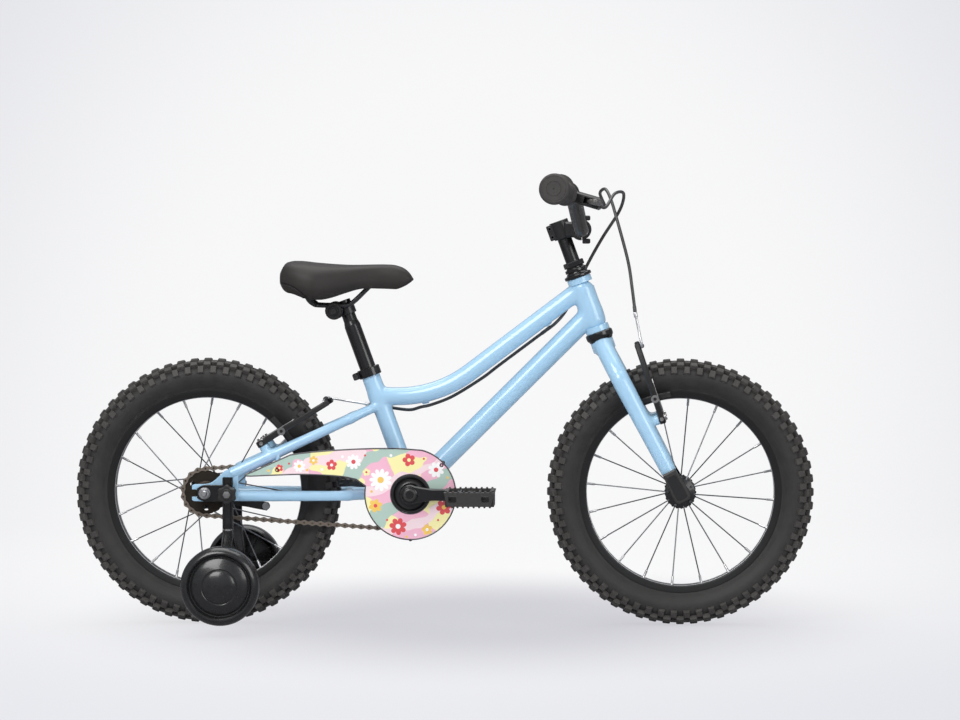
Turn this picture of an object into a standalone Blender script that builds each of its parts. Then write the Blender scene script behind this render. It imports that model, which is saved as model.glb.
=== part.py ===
"""A kids bike with 16-inch wheels, V-brakes, a coaster hub and stabilisers, as separate solids.

Units are metres and +Z is up. The bike points along +X, its drive side is -Y, and the ground is Z = 0.
"""

import math

import bmesh
import bpy
from mathutils import Matrix, Vector

# Clearances
FIT = 0.0003
RUNNING_GAP = 0.0010

# Wheels
TYRE_RADIUS = 0.208
TYRE_WIDTH = 0.057
LUG_HEIGHT = 0.0048
LUG_ROWS = 35
RIM_STEPS = 30
RIM_RADIUS = 0.156
RIM_BED_RADIUS = 0.146
RIM_WIDTH = 0.030
SPOKE_COUNT = 20
FRONT_SPOKE_TURN = math.radians(-4.9)
REAR_SPOKE_TURN = math.radians(-2.5)
SPOKE_RADIUS = 0.0012
REAR_AXLE_X = -0.370
WHEEL_BASE = 0.738
AXLE_RADIUS = 0.0047
FRONT_HUB_WIDTH = 0.094
FRONT_FLANGE_RADIUS = 0.023
REAR_FLANGE_RADIUS = 0.027
REAR_HUB_LEFT = 0.040
REAR_HUB_RIGHT = 0.030
ARM_THICKNESS = 0.0030

# Drivetrain
CHAIN_PITCH = 0.0127
CHAIN_LINKS = 74
RING_TEETH = 29
COG_TEETH = 18
CHAIN_LINE = 0.038
TOOTH_THICKNESS = 0.0028
CHAIN_PLATE = 0.0015
CHAIN_HEIGHT = 0.0080
ROLLER_RADIUS = 0.0035
CRANK_LENGTH = 0.095
CRANK_PLANE = 0.0800
CRANK_THICKNESS = 0.012
SPINDLE_RADIUS = 0.0085
PEDAL_LENGTH = 0.078
PEDAL_WIDTH = 0.088
PEDAL_HEIGHT = 0.026
PEDAL_AXLE_RADIUS = 0.0045

# Frame
SEAT_ANGLE = math.radians(70)
HEAD_ANGLE = math.radians(70)
SEAT_TUBE_LENGTH = 0.2035
SEAT_TUBE_RADIUS = 0.0143
TOP_TUBE_RADIUS = 0.0140
DOWN_TUBE_RADIUS = 0.0159
HEAD_TUBE_RADIUS = 0.0180
HEAD_TUBE_LENGTH = 0.090
HEAD_TUBE_FOOT = Vector((0.2399, 0.0, 0.4573))
STEERER_RADIUS = 0.0127
SHELL_RADIUS = 0.0200
SHELL_WIDTH = 0.066
BEARING_RADIUS = 0.0165
BEARING_STEPS = 14
STAY_RADIUS = 0.0080
SEAT_STAY_RADIUS = 0.0078
DROPOUT_INNER = 0.055
DROPOUT_THICKNESS = 0.005
TOP_TUBE_DROP = 0.0432
TOP_TUBE_BEND = 0.187
TOP_TUBE_SLOPE = math.radians(37)

# Fork
FORK_INNER = 0.050
BLADE_TOP_RADIUS = 0.0143
BLADE_FOOT_RADIUS = 0.0118
CROWN_DROP = 0.0085

# Steering gear
CUP_HEIGHT = 0.014
LOCKNUT_HEIGHT = 0.021
QUILL_RADIUS = 0.0111
STEM_STAND = 0.0655
STEM_HEIGHT = 0.028
STEM_REACH = 0.031
BAR_RADIUS = 0.0111
BAR_HALF_WIDTH = 0.258
BAR_RISE = 0.0635
BAR_SWEEP = 0.0374
LEVER_ROOM = 0.033
LEVER_AHEAD = 0.044
GRIP_LENGTH = 0.100
GRIP_STEPS = 9

# Seat
POST_RADIUS = 0.0127
POST_TOP_RADIUS = 0.0108
POST_LENGTH = 0.240
POST_SHOWN = 0.1137
CLAMP_SETBACK = 0.0130
CLAMP_DROP = 0.0160
RAIL_RADIUS = 0.0034
RAIL_HALF_GAP = 0.022
TILT_BOLT_RADIUS = 0.0040
SADDLE_LENGTH = 0.205
SADDLE_WIDTH = 0.146
SADDLE_RISE = 0.0772
SADDLE_TAIL = 0.0826
PAD_DEPTH = 0.027
BASE_THICKNESS = 0.0030
SKIRT_WALL = 0.0085

# Brakes
BRAKE_TRACK_RADIUS = 0.1525
BRAKE_PIVOT_HALF = 0.044
BRAKE_ARM_LENGTH = 0.121
BRAKE_ARM_DEPTH = 0.0085
STUD_RADIUS = 0.0040
PAD_GAP = 0.0026
PAD_THICKNESS = 0.0095
PAD_LENGTH = 0.052
PAD_HEIGHT = 0.010
FRONT_PAD_ANGLE = math.radians(105.2)
FRONT_ARM_ANGLE = math.radians(108.5)
FRONT_PAD_REACH = 0.032
REAR_PAD_ANGLE = math.radians(39)
REAR_ARM_ANGLE = math.radians(31.6)
REAR_PAD_REACH = 0.036
HOUSING_RADIUS = 0.0025
NOODLE_RADIUS = 0.0022
BOOT_LENGTH = 0.026

# Chain guard
GUARD_RADIUS = 0.071
GUARD_FACE = 0.0705
GUARD_DEPTH = 0.009
GUARD_WALL = 0.0018
GUARD_HOLE = 0.0315
GUARD_TAIL = 0.258
GUARD_TAB_ANGLE = math.radians(43)
GUARD_TAB_REACH = 0.0662
GUARD_TAB_RISE = 0.0369

# Stabilisers
STABILISER_RADIUS = 0.060
STABILISER_AXLE_X = -0.333
STABILISER_AXLE_Z = 0.077
STABILISER_TRACK = 0.197
STABILISER_WIDTH = 0.036
LEG_WIDTH = 0.016
LEG_DEPTH = 0.010
LEG_PLANE = 0.077
BRACKET_THICKNESS = 0.004
KNOB_RADIUS = 0.0155

# Places worked out from the sizes above
AXLE_HEIGHT = TYRE_RADIUS
UP = Vector((0.0, 0.0, 1.0))
LEFT = Vector((0.0, 1.0, 0.0))
REAR_AXLE = Vector((REAR_AXLE_X, 0.0, AXLE_HEIGHT))
FRONT_AXLE = Vector((REAR_AXLE_X + WHEEL_BASE, 0.0, AXLE_HEIGHT))
STEER_UP = Vector((-math.cos(HEAD_ANGLE), 0.0, math.sin(HEAD_ANGLE)))
SEAT_UP = Vector((-math.cos(SEAT_ANGLE), 0.0, math.sin(SEAT_ANGLE)))
HEAD_TUBE_TOP = HEAD_TUBE_FOOT + STEER_UP * HEAD_TUBE_LENGTH


def pitch_radius(teeth):
    return CHAIN_PITCH / (2 * math.sin(math.pi / teeth))


RING_RADIUS = pitch_radius(RING_TEETH)
COG_RADIUS = pitch_radius(COG_TEETH)


def loop_pitches(distance):
    """How many chain pitches a tight loop round both sprockets takes at this axle distance."""
    lean = math.asin((RING_RADIUS - COG_RADIUS) / distance)
    straight = 2 * distance * math.cos(lean) / CHAIN_PITCH
    on_ring = RING_TEETH * (math.pi + 2 * lean) / (2 * math.pi)
    on_cog = COG_TEETH * (math.pi - 2 * lean) / (2 * math.pi)
    return straight + on_ring + on_cog


def chain_stay_length():
    """The axle distance at which the chain's whole number of links is just tight."""
    low = (RING_RADIUS + COG_RADIUS) * 1.05
    high = CHAIN_LINKS * CHAIN_PITCH / 2
    for _ in range(60):
        middle = (low + high) / 2
        if loop_pitches(middle) < CHAIN_LINKS:
            low = middle
        else:
            high = middle
    return (low + high) / 2


BRACKET = REAR_AXLE + Vector((chain_stay_length(), 0.0, 0.0))
SEAT_TUBE_TOP = BRACKET + SEAT_UP * SEAT_TUBE_LENGTH
TOP_TUBE_HEIGHT = SEAT_TUBE_TOP.z - TOP_TUBE_DROP
POST_TOP = SEAT_TUBE_TOP + SEAT_UP * POST_SHOWN
SADDLE_PIVOT = POST_TOP + Vector((-CLAMP_SETBACK, 0.0, -CLAMP_DROP))
SADDLE_TOP = SADDLE_PIVOT.z + SADDLE_RISE
CROWN = HEAD_TUBE_FOOT - STEER_UP * (CUP_HEIGHT + CROWN_DROP)
STEM_FOOT = HEAD_TUBE_TOP + STEER_UP * STEM_STAND
BAR_CENTRE = STEM_FOOT + STEER_UP * (STEM_HEIGHT / 2) + Vector((STEM_REACH, 0.0, 0.0))


LEVER_START = BAR_HALF_WIDTH - GRIP_LENGTH - LEVER_ROOM

# Scene and objects


def clear_scene():
    for obj in list(bpy.data.objects):
        bpy.data.objects.remove(obj, do_unlink=True)


def new_collection(name):
    made = bpy.data.collections.new(name)
    bpy.context.scene.collection.children.link(made)
    return made


clear_scene()
PARTS = new_collection("kids_bike")


def material(name, colour, roughness, metallic=0.0):
    made = bpy.data.materials.new(name)
    made.use_nodes = True
    shader = made.node_tree.nodes["Principled BSDF"]
    shader.inputs["Base Color"].default_value = (*colour, 1.0)
    shader.inputs["Roughness"].default_value = roughness
    shader.inputs["Metallic"].default_value = metallic
    made.diffuse_color = (*colour, 1.0)
    return made


def add_object(name, data):
    obj = bpy.data.objects.new(name, data)
    PARTS.objects.link(obj)
    return obj


def axis_empty(name, place, direction, parent=None):
    """An empty on a joint's axis, with its local Z along that axis."""
    empty = bpy.data.objects.new(name, None)
    PARTS.objects.link(empty)
    turn = direction.to_track_quat("Z", "Y").to_matrix().to_4x4()
    world = Matrix.Translation(place) @ turn
    if parent:
        empty.parent = parent
        bpy.context.view_layer.update()
        empty.matrix_parent_inverse = parent.matrix_world.inverted()
    empty.matrix_basis = world
    bpy.context.view_layer.update()
    return empty


def finish(obj, name, surface, parent=None, smooth=40):
    """Names a piece, gives it its material and hangs it on the empty it moves with."""
    piece = as_mesh(obj)
    piece.data.materials.clear()
    piece.data.materials.append(surface)
    piece.data.shade_smooth()
    piece.data.set_sharp_from_angle(angle=math.radians(smooth))
    piece.name = name
    piece.data.name = name
    if parent:
        piece.parent = parent
        piece.matrix_parent_inverse = parent.matrix_world.inverted()
    return piece


def as_mesh(obj):
    """A plain mesh object with the modifiers or the curve of this one worked out."""
    depsgraph = bpy.context.evaluated_depsgraph_get()
    mesh = bpy.data.meshes.new_from_object(obj.evaluated_get(depsgraph))
    shape = bmesh.new()
    shape.from_mesh(mesh)
    bmesh.ops.remove_doubles(shape, verts=shape.verts, dist=1e-6)
    shape.to_mesh(mesh)
    shape.free()
    made = add_object("work", mesh)
    made.matrix_world = obj.matrix_world
    bpy.data.objects.remove(obj, do_unlink=True)
    bpy.context.view_layer.update()
    return made


def combine(first, others, operation):
    base = as_mesh(first)
    tools = [as_mesh(other) for other in others]
    for tool in tools:
        boolean = base.modifiers.new("boolean", "BOOLEAN")
        boolean.operation = operation
        boolean.solver = "EXACT"
        boolean.object = tool
    made = as_mesh(base)
    for tool in tools:
        bpy.data.objects.remove(tool, do_unlink=True)
    return made


def union(first, *others):
    return combine(first, others, "UNION")


def cut(first, *others):
    return combine(first, others, "DIFFERENCE")


# Basic shapes


def turned(centre, axis, profile, steps, ring=False):
    """A turned solid: (radius, height) points down its outer side; a ring's last point joins its first."""
    mesh = bpy.data.meshes.new("turned")
    edges = [(i, i + 1) for i in range(len(profile) - 1)]
    if ring:
        edges.append((len(profile) - 1, 0))
    mesh.from_pydata([(radius, 0.0, height) for radius, height in profile], edges, [])
    obj = add_object("turned", mesh)
    obj.location = centre
    obj.rotation_euler = axis.to_track_quat("Z", "Y").to_euler()
    screw = obj.modifiers.new("turn", "SCREW")
    screw.steps = steps
    screw.render_steps = steps
    screw.use_merge_vertices = True
    screw.merge_threshold = 1e-6
    return obj


def drum(centre, axis, radius, top, bottom, steps):
    return turned(centre, axis, [(0, top), (radius, top), (radius, bottom), (0, bottom)], steps)


def sleeve(centre, axis, outer, inner, top, bottom, steps):
    profile = [(inner, top), (outer, top), (outer, bottom), (inner, bottom)]
    return turned(centre, axis, profile, steps, ring=True)


def rod(start, end, radius, sides=8, end_radius=None):
    """A straight round bar from one point to another."""
    mesh = bpy.data.meshes.new("rod")
    shape = bmesh.new()
    length = (end - start).length
    bmesh.ops.create_cone(
        shape,
        cap_ends=True,
        segments=sides,
        radius1=radius,
        radius2=end_radius or radius,
        depth=length,
    )
    shape.to_mesh(mesh)
    shape.free()
    obj = add_object("rod", mesh)
    obj.location = (start + end) / 2
    obj.rotation_euler = (end - start).to_track_quat("Z", "Y").to_euler()
    return obj


def block(centre, size, turn=None, bevel=0.0):
    """A box of this size along its own axes, turned by a rotation matrix, with bevelled edges."""
    mesh = bpy.data.meshes.new("block")
    shape = bmesh.new()
    bmesh.ops.create_cube(shape, size=1.0)
    bmesh.ops.scale(shape, vec=size, verts=shape.verts)
    shape.to_mesh(mesh)
    shape.free()
    obj = add_object("block", mesh)
    place = Matrix.Translation(centre)
    obj.matrix_world = place @ turn.to_4x4() if turn else place
    if bevel:
        edge = obj.modifiers.new("edge", "BEVEL")
        edge.width = bevel
        edge.segments = 1
    return obj


def tube(points, radius, resolution=4, swell=None, smooth=0):
    """A bar swept along points; swell scales the radius at each point."""
    curve = bpy.data.curves.new("tube", "CURVE")
    curve.dimensions = "3D"
    curve.bevel_depth = radius
    curve.bevel_resolution = resolution
    curve.use_fill_caps = True
    if smooth:
        points = through(points, smooth)
    spline = curve.splines.new("POLY")
    spline.points.add(len(points) - 1)
    for i, place in enumerate(points):
        spline.points[i].co = (*place, 1.0)
        if swell:
            spline.points[i].radius = swell[i]
    return add_object("tube", curve)


def between(table, at):
    """The value that a table of (place, value) holds at a place, on straight lines between its rows."""
    for (start, first), (end, second) in zip(table, table[1:]):
        if at <= end:
            return first + (second - first) * (at - start) / (end - start)
    return table[-1][1]


def through(points, steps):
    """Points on a smooth curve through the given ones, with this many to each stretch."""
    ends = [points[0] * 2 - points[1]] + list(points) + [points[-1] * 2 - points[-2]]
    made = []
    for before, start, end, after in zip(ends, ends[1:], ends[2:], ends[3:]):
        for step in range(steps):
            t = step / steps
            slope_in = (end - before) / 2
            slope_out = (after - start) / 2
            made.append(
                start * (2 * t**3 - 3 * t**2 + 1)
                + slope_in * (t**3 - 2 * t**2 + t)
                + end * (3 * t**2 - 2 * t**3)
                + slope_out * (t**3 - t**2)
            )
    return made + [points[-1]]


def plate(outlines, thickness, place, across, along):
    """A flat piece; its outlines run in the plane of two directions, and further outlines are holes."""
    curve = bpy.data.curves.new("plate", "CURVE")
    curve.dimensions = "2D"
    curve.fill_mode = "BOTH"
    curve.extrude = thickness / 2
    for outline in outlines:
        spline = curve.splines.new("POLY")
        spline.points.add(len(outline) - 1)
        spline.use_cyclic_u = True
        for i, (x, y) in enumerate(outline):
            spline.points[i].co = (x, y, 0.0, 1.0)
    obj = add_object("plate", curve)
    normal = across.cross(along)
    turn = Matrix((across, along, normal)).transposed()
    obj.matrix_world = Matrix.Translation(place) @ turn.to_4x4()
    return obj


def arc(centre_x, centre_y, radius, start, end, count):
    """Points on an arc, angles in degrees."""
    made = []
    for i in range(count):
        angle = math.radians(start + (end - start) * i / (count - 1))
        made.append((centre_x + radius * math.cos(angle), centre_y + radius * math.sin(angle)))
    return made


def circle(centre_x, centre_y, radius, count):
    return arc(centre_x, centre_y, radius, 0, 360 * (count - 1) / count, count)


def ribbon(middle, widths):
    """The outline of a strip of changing width about a middle line."""
    left = []
    right = []
    for i, (x, y) in enumerate(middle):
        before = Vector(middle[max(i - 1, 0)])
        after = Vector(middle[min(i + 1, len(middle) - 1)])
        run = (after - before).normalized()
        half = widths[i] / 2
        left.append((x - run.y * half, y + run.x * half))
        right.append((x + run.y * half, y - run.x * half))
    return left + right[::-1]


# Materials

BLUE_PAINT = material("blue_paint", (0.40, 0.66, 0.87), 0.25)
BLACK_PAINT = material("black_paint", (0.015, 0.015, 0.016), 0.35)
BLACK_PLASTIC = material("black_plastic", (0.018, 0.018, 0.019), 0.45)
GLOSS_PLASTIC = material("gloss_plastic", (0.014, 0.013, 0.013), 0.15)
BLACK_RUBBER = material("black_rubber", (0.022, 0.022, 0.022), 0.80)
SADDLE_SKIN = material("saddle_skin", (0.028, 0.026, 0.026), 0.55)
BRIGHT_STEEL = material("bright_steel", (0.62, 0.62, 0.62), 0.28, 1.0)
DARK_STEEL = material("dark_steel", (0.20, 0.18, 0.16), 0.40, 1.0)
GUARD_PINK = material("guard_pink", (0.90, 0.66, 0.75), 0.35)


# Joint axes

STEERING = axis_empty("steering_axis", HEAD_TUBE_FOOT, STEER_UP)
FRONT_WHEEL = axis_empty("front_wheel_axis", FRONT_AXLE, LEFT, STEERING)
REAR_WHEEL = axis_empty("rear_wheel_axis", REAR_AXLE, LEFT)
DRIVER = axis_empty("rear_cog_axis", REAR_AXLE, LEFT)
CRANKS = axis_empty("crank_axis", BRACKET, LEFT)
POST = axis_empty("seatpost_axis", SEAT_TUBE_TOP, SEAT_UP)
SADDLE = axis_empty("saddle_axis", SADDLE_PIVOT, LEFT, POST)
SIDES = (("right", -1), ("left", 1))


# Wheels


def tyre(name, axle, parent):
    """A carcass turned in half lug steps, with shoulder and centre lugs pushed out of its tread."""
    half = TYRE_WIDTH / 2
    tread = TYRE_RADIUS - LUG_HEIGHT
    bead = (RIM_RADIUS + FIT) / math.cos(math.pi / LUG_ROWS)
    tread /= math.cos(math.pi / LUG_ROWS / 2)
    side = [
        (bead, RIM_WIDTH / 2 - 0.001),
        (bead + 0.025, half),
        (tread - 0.006, half * 0.87),
        (tread, half * 0.38),
    ]
    profile = side + [(radius, -height) for radius, height in reversed(side)]
    body = as_mesh(turned(axle, LEFT, profile, LUG_ROWS * 2, ring=True))
    shape = bmesh.new()
    shape.from_mesh(body.data)
    step = math.pi / LUG_ROWS

    def row(place):
        return round(math.atan2(place.y, place.x) / step * 2) % (4 * LUG_ROWS)

    lugs = []
    for face in shape.faces:
        middle = face.calc_center_median()
        odd_row = row(middle) % 4 == 3
        shoulder = half * 0.4 < abs(middle.z) < half * 0.8 and middle.xy.length > tread - 0.005
        centre = abs(middle.z) < half * 0.3 and middle.xy.length > bead + 0.02
        if (shoulder and odd_row) or (centre and not odd_row):
            lugs.append(face)
    plain = [
        edge
        for edge in shape.edges
        if row(edge.verts[0].co) == row(edge.verts[1].co)
        and row(edge.verts[0].co) % 4 == 2
        and min(v.co.xy.length for v in edge.verts) < tread - 0.007
    ]
    bmesh.ops.dissolve_edges(shape, edges=plain, use_verts=True)
    raised = bmesh.ops.extrude_discrete_faces(shape, faces=lugs)["faces"]
    for face in raised:
        face.normal_update()
        middle = face.calc_center_median()
        normal = face.normal.copy()
        for vert in face.verts:
            vert.co = middle + (vert.co - middle) * 0.84 + normal * LUG_HEIGHT
    shape.to_mesh(body.data)
    shape.free()
    return finish(body, name, BLACK_RUBBER, parent, 30)


def rim(name, axle, parent):
    half = RIM_WIDTH / 2
    bed = RIM_BED_RADIUS
    profile = [
        (RIM_RADIUS, half),
        (bed + 0.003, half),
        (bed, half * 0.55),
        (bed, -half * 0.55),
        (bed + 0.003, -half),
        (RIM_RADIUS, -half),
    ]
    profile.reverse()
    body = turned(axle, -LEFT, profile, RIM_STEPS, ring=True)
    return finish(body, name, BLACK_PAINT, parent, 30)


def spokes(axle, flange, left_flange, right_flange, lean, start):
    """Spokes from both flanges to the rim; lean turns each pair at the hub, start turns them all."""
    made = []
    for i in range(SPOKE_COUNT):
        side = 1 if i % 2 else -1
        plane = left_flange if side == 1 else -right_flange
        turn = 1 if i % 4 < 2 else -1
        angle = start + 2 * math.pi * i / SPOKE_COUNT
        hub_angle = angle + turn * lean
        head = 0.0016 * turn * side if lean else 0.0
        foot = axle + Vector((math.cos(hub_angle) * flange, plane + head, math.sin(hub_angle) * flange))
        reach = RIM_BED_RADIUS * math.cos(math.pi / RIM_STEPS) - FIT
        end = axle + Vector((math.cos(angle) * reach, side * 0.003, math.sin(angle) * reach))
        made.append(rod(foot, end, SPOKE_RADIUS, 3))
    return made


def front_hub():
    half = FRONT_HUB_WIDTH / 2
    flange = FRONT_FLANGE_RADIUS
    bore = AXLE_RADIUS + FIT
    upper = [(0.013, half), (0.013, 0.036), (flange, 0.033), (flange, 0.030), (0.0125, 0.027)]
    lower = [(radius, -height) for radius, height in reversed(upper)]
    profile = [(bore, half)] + upper + lower + [(bore, -half)]
    hub = turned(FRONT_AXLE, LEFT, profile, 10, ring=True)
    wheel = union(hub, *spokes(FRONT_AXLE, flange - 0.003, 0.0315, 0.0315, 0.0, FRONT_SPOKE_TURN))
    return finish(wheel, "front_hub_and_spokes", DARK_STEEL, FRONT_WHEEL)


def rear_hub():
    flange = REAR_FLANGE_RADIUS
    bore = AXLE_RADIUS + FIT
    left = REAR_HUB_LEFT
    right = REAR_HUB_RIGHT
    profile = [
        (bore, left),
        (0.0200, left),
        (0.0200, left - 0.008),
        (flange, left - 0.010),
        (flange, left - 0.013),
        (0.0190, left - 0.016),
        (0.0190, -right + 0.008),
        (flange, -right + 0.006),
        (flange, -right + 0.003),
        (0.0190, -right),
        (bore, -right),
    ]
    hub = turned(REAR_AXLE, LEFT, profile, 10, ring=True)
    lean = math.radians(62)
    rods = spokes(REAR_AXLE, flange - 0.003, left - 0.0115, right - 0.0045, lean, REAR_SPOKE_TURN)
    wheel = union(hub, *rods)
    return finish(wheel, "rear_hub_and_spokes", DARK_STEEL, REAR_WHEEL)


def front_axle():
    """The axle with a cone nut at each side of the hub and a wheel nut outside each fork end."""
    half = FRONT_HUB_WIDTH / 2 + FIT
    inner = FORK_INNER - FIT
    outer = FORK_INNER + DROPOUT_THICKNESS + FIT
    upper = [
        (0, outer + 0.012),
        (AXLE_RADIUS, outer + 0.012),
        (AXLE_RADIUS, outer + 0.008),
        (0.0085, outer + 0.008),
        (0.0085, outer),
        (AXLE_RADIUS, outer),
        (AXLE_RADIUS, inner),
        (0.0090, inner),
        (0.0090, half),
        (AXLE_RADIUS, half),
    ]
    profile = upper + [(radius, -height) for radius, height in reversed(upper)]
    return finish(turned(FRONT_AXLE, LEFT, profile, 6), "front_axle", BRIGHT_STEEL, STEERING)


# Drivetrain


def chain_lean():
    return math.asin((RING_RADIUS - COG_RADIUS) / chain_stay_length())


def chain_pins():
    """The pin centres in the chain's plane, as (x, z): over the top to the cog and back underneath."""
    lean = chain_lean()
    run = chain_stay_length() * math.cos(lean) / CHAIN_PITCH
    on_cog = COG_TEETH * (math.pi - 2 * lean) / (2 * math.pi)
    top = math.pi / 2 + lean
    pins = []
    for i in range(CHAIN_LINKS):
        if i < run:
            start = on_circle(BRACKET, RING_RADIUS, top)
            end = on_circle(REAR_AXLE, COG_RADIUS, top)
            pins.append(start.lerp(end, i / run))
        elif i < run + on_cog:
            pins.append(on_circle(REAR_AXLE, COG_RADIUS, top + (i - run) * 2 * math.pi / COG_TEETH))
        elif i < 2 * run + on_cog:
            start = on_circle(REAR_AXLE, COG_RADIUS, -top)
            end = on_circle(BRACKET, RING_RADIUS, -top)
            pins.append(start.lerp(end, (i - run - on_cog) / run))
        else:
            turned_by = (i - 2 * run - on_cog) * 2 * math.pi / RING_TEETH
            pins.append(on_circle(BRACKET, RING_RADIUS, -top + turned_by))
    return pins


def on_circle(centre, radius, angle):
    return Vector((centre.x + radius * math.cos(angle), centre.z + radius * math.sin(angle)))


def chain():
    """Two bands of side plates, joined by a roller at every pin."""
    pins = chain_pins()
    outer = []
    inner = []
    for i, pin in enumerate(pins):
        run = pins[(i + 1) % len(pins)] - pins[i - 1]
        normal = Vector((run.y, -run.x)).normalized()
        outer.append(tuple(pin + normal * CHAIN_HEIGHT / 2))
        inner.append(tuple(pin - normal * CHAIN_HEIGHT / 2))
    forward = Vector((1.0, 0.0, 0.0))
    gap = TOOTH_THICKNESS / 2 + FIT
    sides = []
    for side in (-1, 1):
        place = Vector((0.0, -CHAIN_LINE + side * (gap + CHAIN_PLATE / 2), 0.0))
        sides.append(plate([outer, inner], CHAIN_PLATE, place, forward, UP))
    rollers = []
    reach = gap + CHAIN_PLATE / 2
    for pin in pins:
        start = Vector((pin.x, -CHAIN_LINE - reach, pin.y))
        rollers.append(rod(start, start + LEFT * reach * 2, ROLLER_RADIUS, 4))
    band = joined_mesh(sides)
    pinned = joined_mesh(rollers)
    return finish(union(band, pinned), "chain", DARK_STEEL, None, 50)


def joined_mesh(pieces):
    """One object holding several solids that don't touch."""
    whole = bmesh.new()
    for piece in pieces:
        piece = as_mesh(piece)
        mesh = piece.data
        mesh.transform(piece.matrix_world)
        whole.from_mesh(mesh)
        bpy.data.objects.remove(piece, do_unlink=True)
    mesh = bpy.data.meshes.new("joined")
    whole.to_mesh(mesh)
    whole.free()
    return add_object("joined", mesh)


def teeth_outline(teeth, centre, pins):
    """A sprocket's outline, with each gap under one of the chain's pins."""
    radius = pitch_radius(teeth)
    nearest = min(pins, key=lambda pin: abs((pin - centre).length - radius))
    phase = math.atan2(nearest.y - centre.y, nearest.x - centre.x)
    root = radius - ROLLER_RADIUS - FIT
    tip = radius + ROLLER_RADIUS
    outline = []
    for i in range(teeth):
        middle = phase + (i + 0.5) * 2 * math.pi / teeth
        for distance, half in ((root, -0.0040), (tip, -0.0009), (tip, 0.0009), (root, 0.0040)):
            angle = middle + half / distance
            outline.append((distance * math.cos(angle), distance * math.sin(angle)))
    return outline


def chainring():
    """The toothed ring with five round windows, and the black carrier that fills the guard's hole."""
    centre = Vector((BRACKET.x, BRACKET.z))
    outline = teeth_outline(RING_TEETH, centre, chain_pins())
    windows = []
    for i in range(5):
        angle = 2 * math.pi * (i + 0.5) / 5
        windows.append(circle(0.040 * math.cos(angle), 0.040 * math.sin(angle), 0.0085, 6))
    place = BRACKET - LEFT * CHAIN_LINE
    ring = plate([outline] + windows, TOOTH_THICKNESS, place, Vector((1, 0, 0)), UP)
    face = GUARD_FACE + 0.001
    radius = GUARD_HOLE - 0.002
    profile = [
        (0.0, face - 0.006),
        (0.014, face - 0.006),
        (0.017, face - 0.001),
        (radius - 0.004, face),
        (radius, face - 0.003),
        (radius, face - 0.014),
        (0.026, CHAIN_LINE),
        (0.0, CHAIN_LINE),
    ]
    carrier = turned(BRACKET, -LEFT, profile, 12)
    bore = rod(place + LEFT * 0.02, place - LEFT * 0.05, SPINDLE_RADIUS + FIT, 12)
    return finish(cut(union(ring, carrier), bore), "chainring", BLACK_PAINT, CRANKS)


def rear_cog():
    """The cog on the driver sleeve of the coaster hub."""
    centre = Vector((REAR_AXLE.x, REAR_AXLE.z))
    outline = teeth_outline(COG_TEETH, centre, chain_pins())
    place = REAR_AXLE - LEFT * CHAIN_LINE
    cog = plate([outline], TOOTH_THICKNESS, place, Vector((1, 0, 0)), UP)
    inner = REAR_HUB_RIGHT + FIT
    outer = DROPOUT_INNER - 0.006
    driver = turned(
        REAR_AXLE,
        -LEFT,
        [(0, outer), (0.012, outer), (0.016, CHAIN_LINE + 0.003), (0.016, inner), (0, inner)],
        16,
    )
    bore = rod(place + LEFT * 0.03, place - LEFT * 0.03, AXLE_RADIUS + FIT, 12)
    return finish(cut(union(cog, driver), bore), "rear_cog", DARK_STEEL, DRIVER)


def rear_axle():
    """The axle with its locknuts inside the dropouts and wheel nuts outside the stabiliser brackets."""
    outer = DROPOUT_INNER + DROPOUT_THICKNESS + BRACKET_THICKNESS + 2 * FIT
    nut = outer + FIT
    driver_end = DROPOUT_INNER - 0.006 + FIT
    dropout = DROPOUT_INNER - FIT
    arm_end = REAR_HUB_LEFT + ARM_THICKNESS + 2 * FIT
    profile = [
        (0, nut + 0.013),
        (AXLE_RADIUS, nut + 0.013),
        (AXLE_RADIUS, nut + 0.009),
        (0.0090, nut + 0.009),
        (0.0090, nut),
        (AXLE_RADIUS, nut),
        (AXLE_RADIUS, dropout),
        (0.0095, dropout),
        (0.0095, arm_end + FIT),
        (AXLE_RADIUS, arm_end + FIT),
        (AXLE_RADIUS, -driver_end),
        (0.0095, -driver_end),
        (0.0095, -dropout),
        (AXLE_RADIUS, -dropout),
        (AXLE_RADIUS, -nut),
        (0.0090, -nut),
        (0.0090, -nut - 0.009),
        (AXLE_RADIUS, -nut - 0.009),
        (AXLE_RADIUS, -nut - 0.013),
        (0, -nut - 0.013),
    ]
    return finish(turned(REAR_AXLE, LEFT, profile, 6), "rear_axle", BRIGHT_STEEL)


def coaster_arm():
    """The brake arm on the hub's left end, held to the chain stay by a bolted strap."""
    plane = REAR_HUB_LEFT + FIT + ARM_THICKNESS / 2
    reach = Vector((0.089, -0.0290))
    outline = ribbon(
        [(-0.012, 0.004), (0.0, 0.0), (0.030, -0.0135), (0.060, -0.0225), tuple(reach)],
        [0.020, 0.034, 0.022, 0.015, 0.013],
    )
    forward = Vector((1.0, 0.0, 0.0))
    hole = circle(0.0, 0.0, AXLE_RADIUS + FIT, 10)
    arm = plate([outline, hole], ARM_THICKNESS, REAR_AXLE + LEFT * plane, forward, UP)
    bolt_at = REAR_AXLE + LEFT * plane + Vector((reach.x - 0.003, 0.0, reach.y + 0.001))
    bolt = rod(bolt_at - LEFT * 0.005, bolt_at + LEFT * 0.012, 0.0050, 8)
    return finish(union(arm, bolt), "coaster_arm", BLACK_PAINT)


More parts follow.
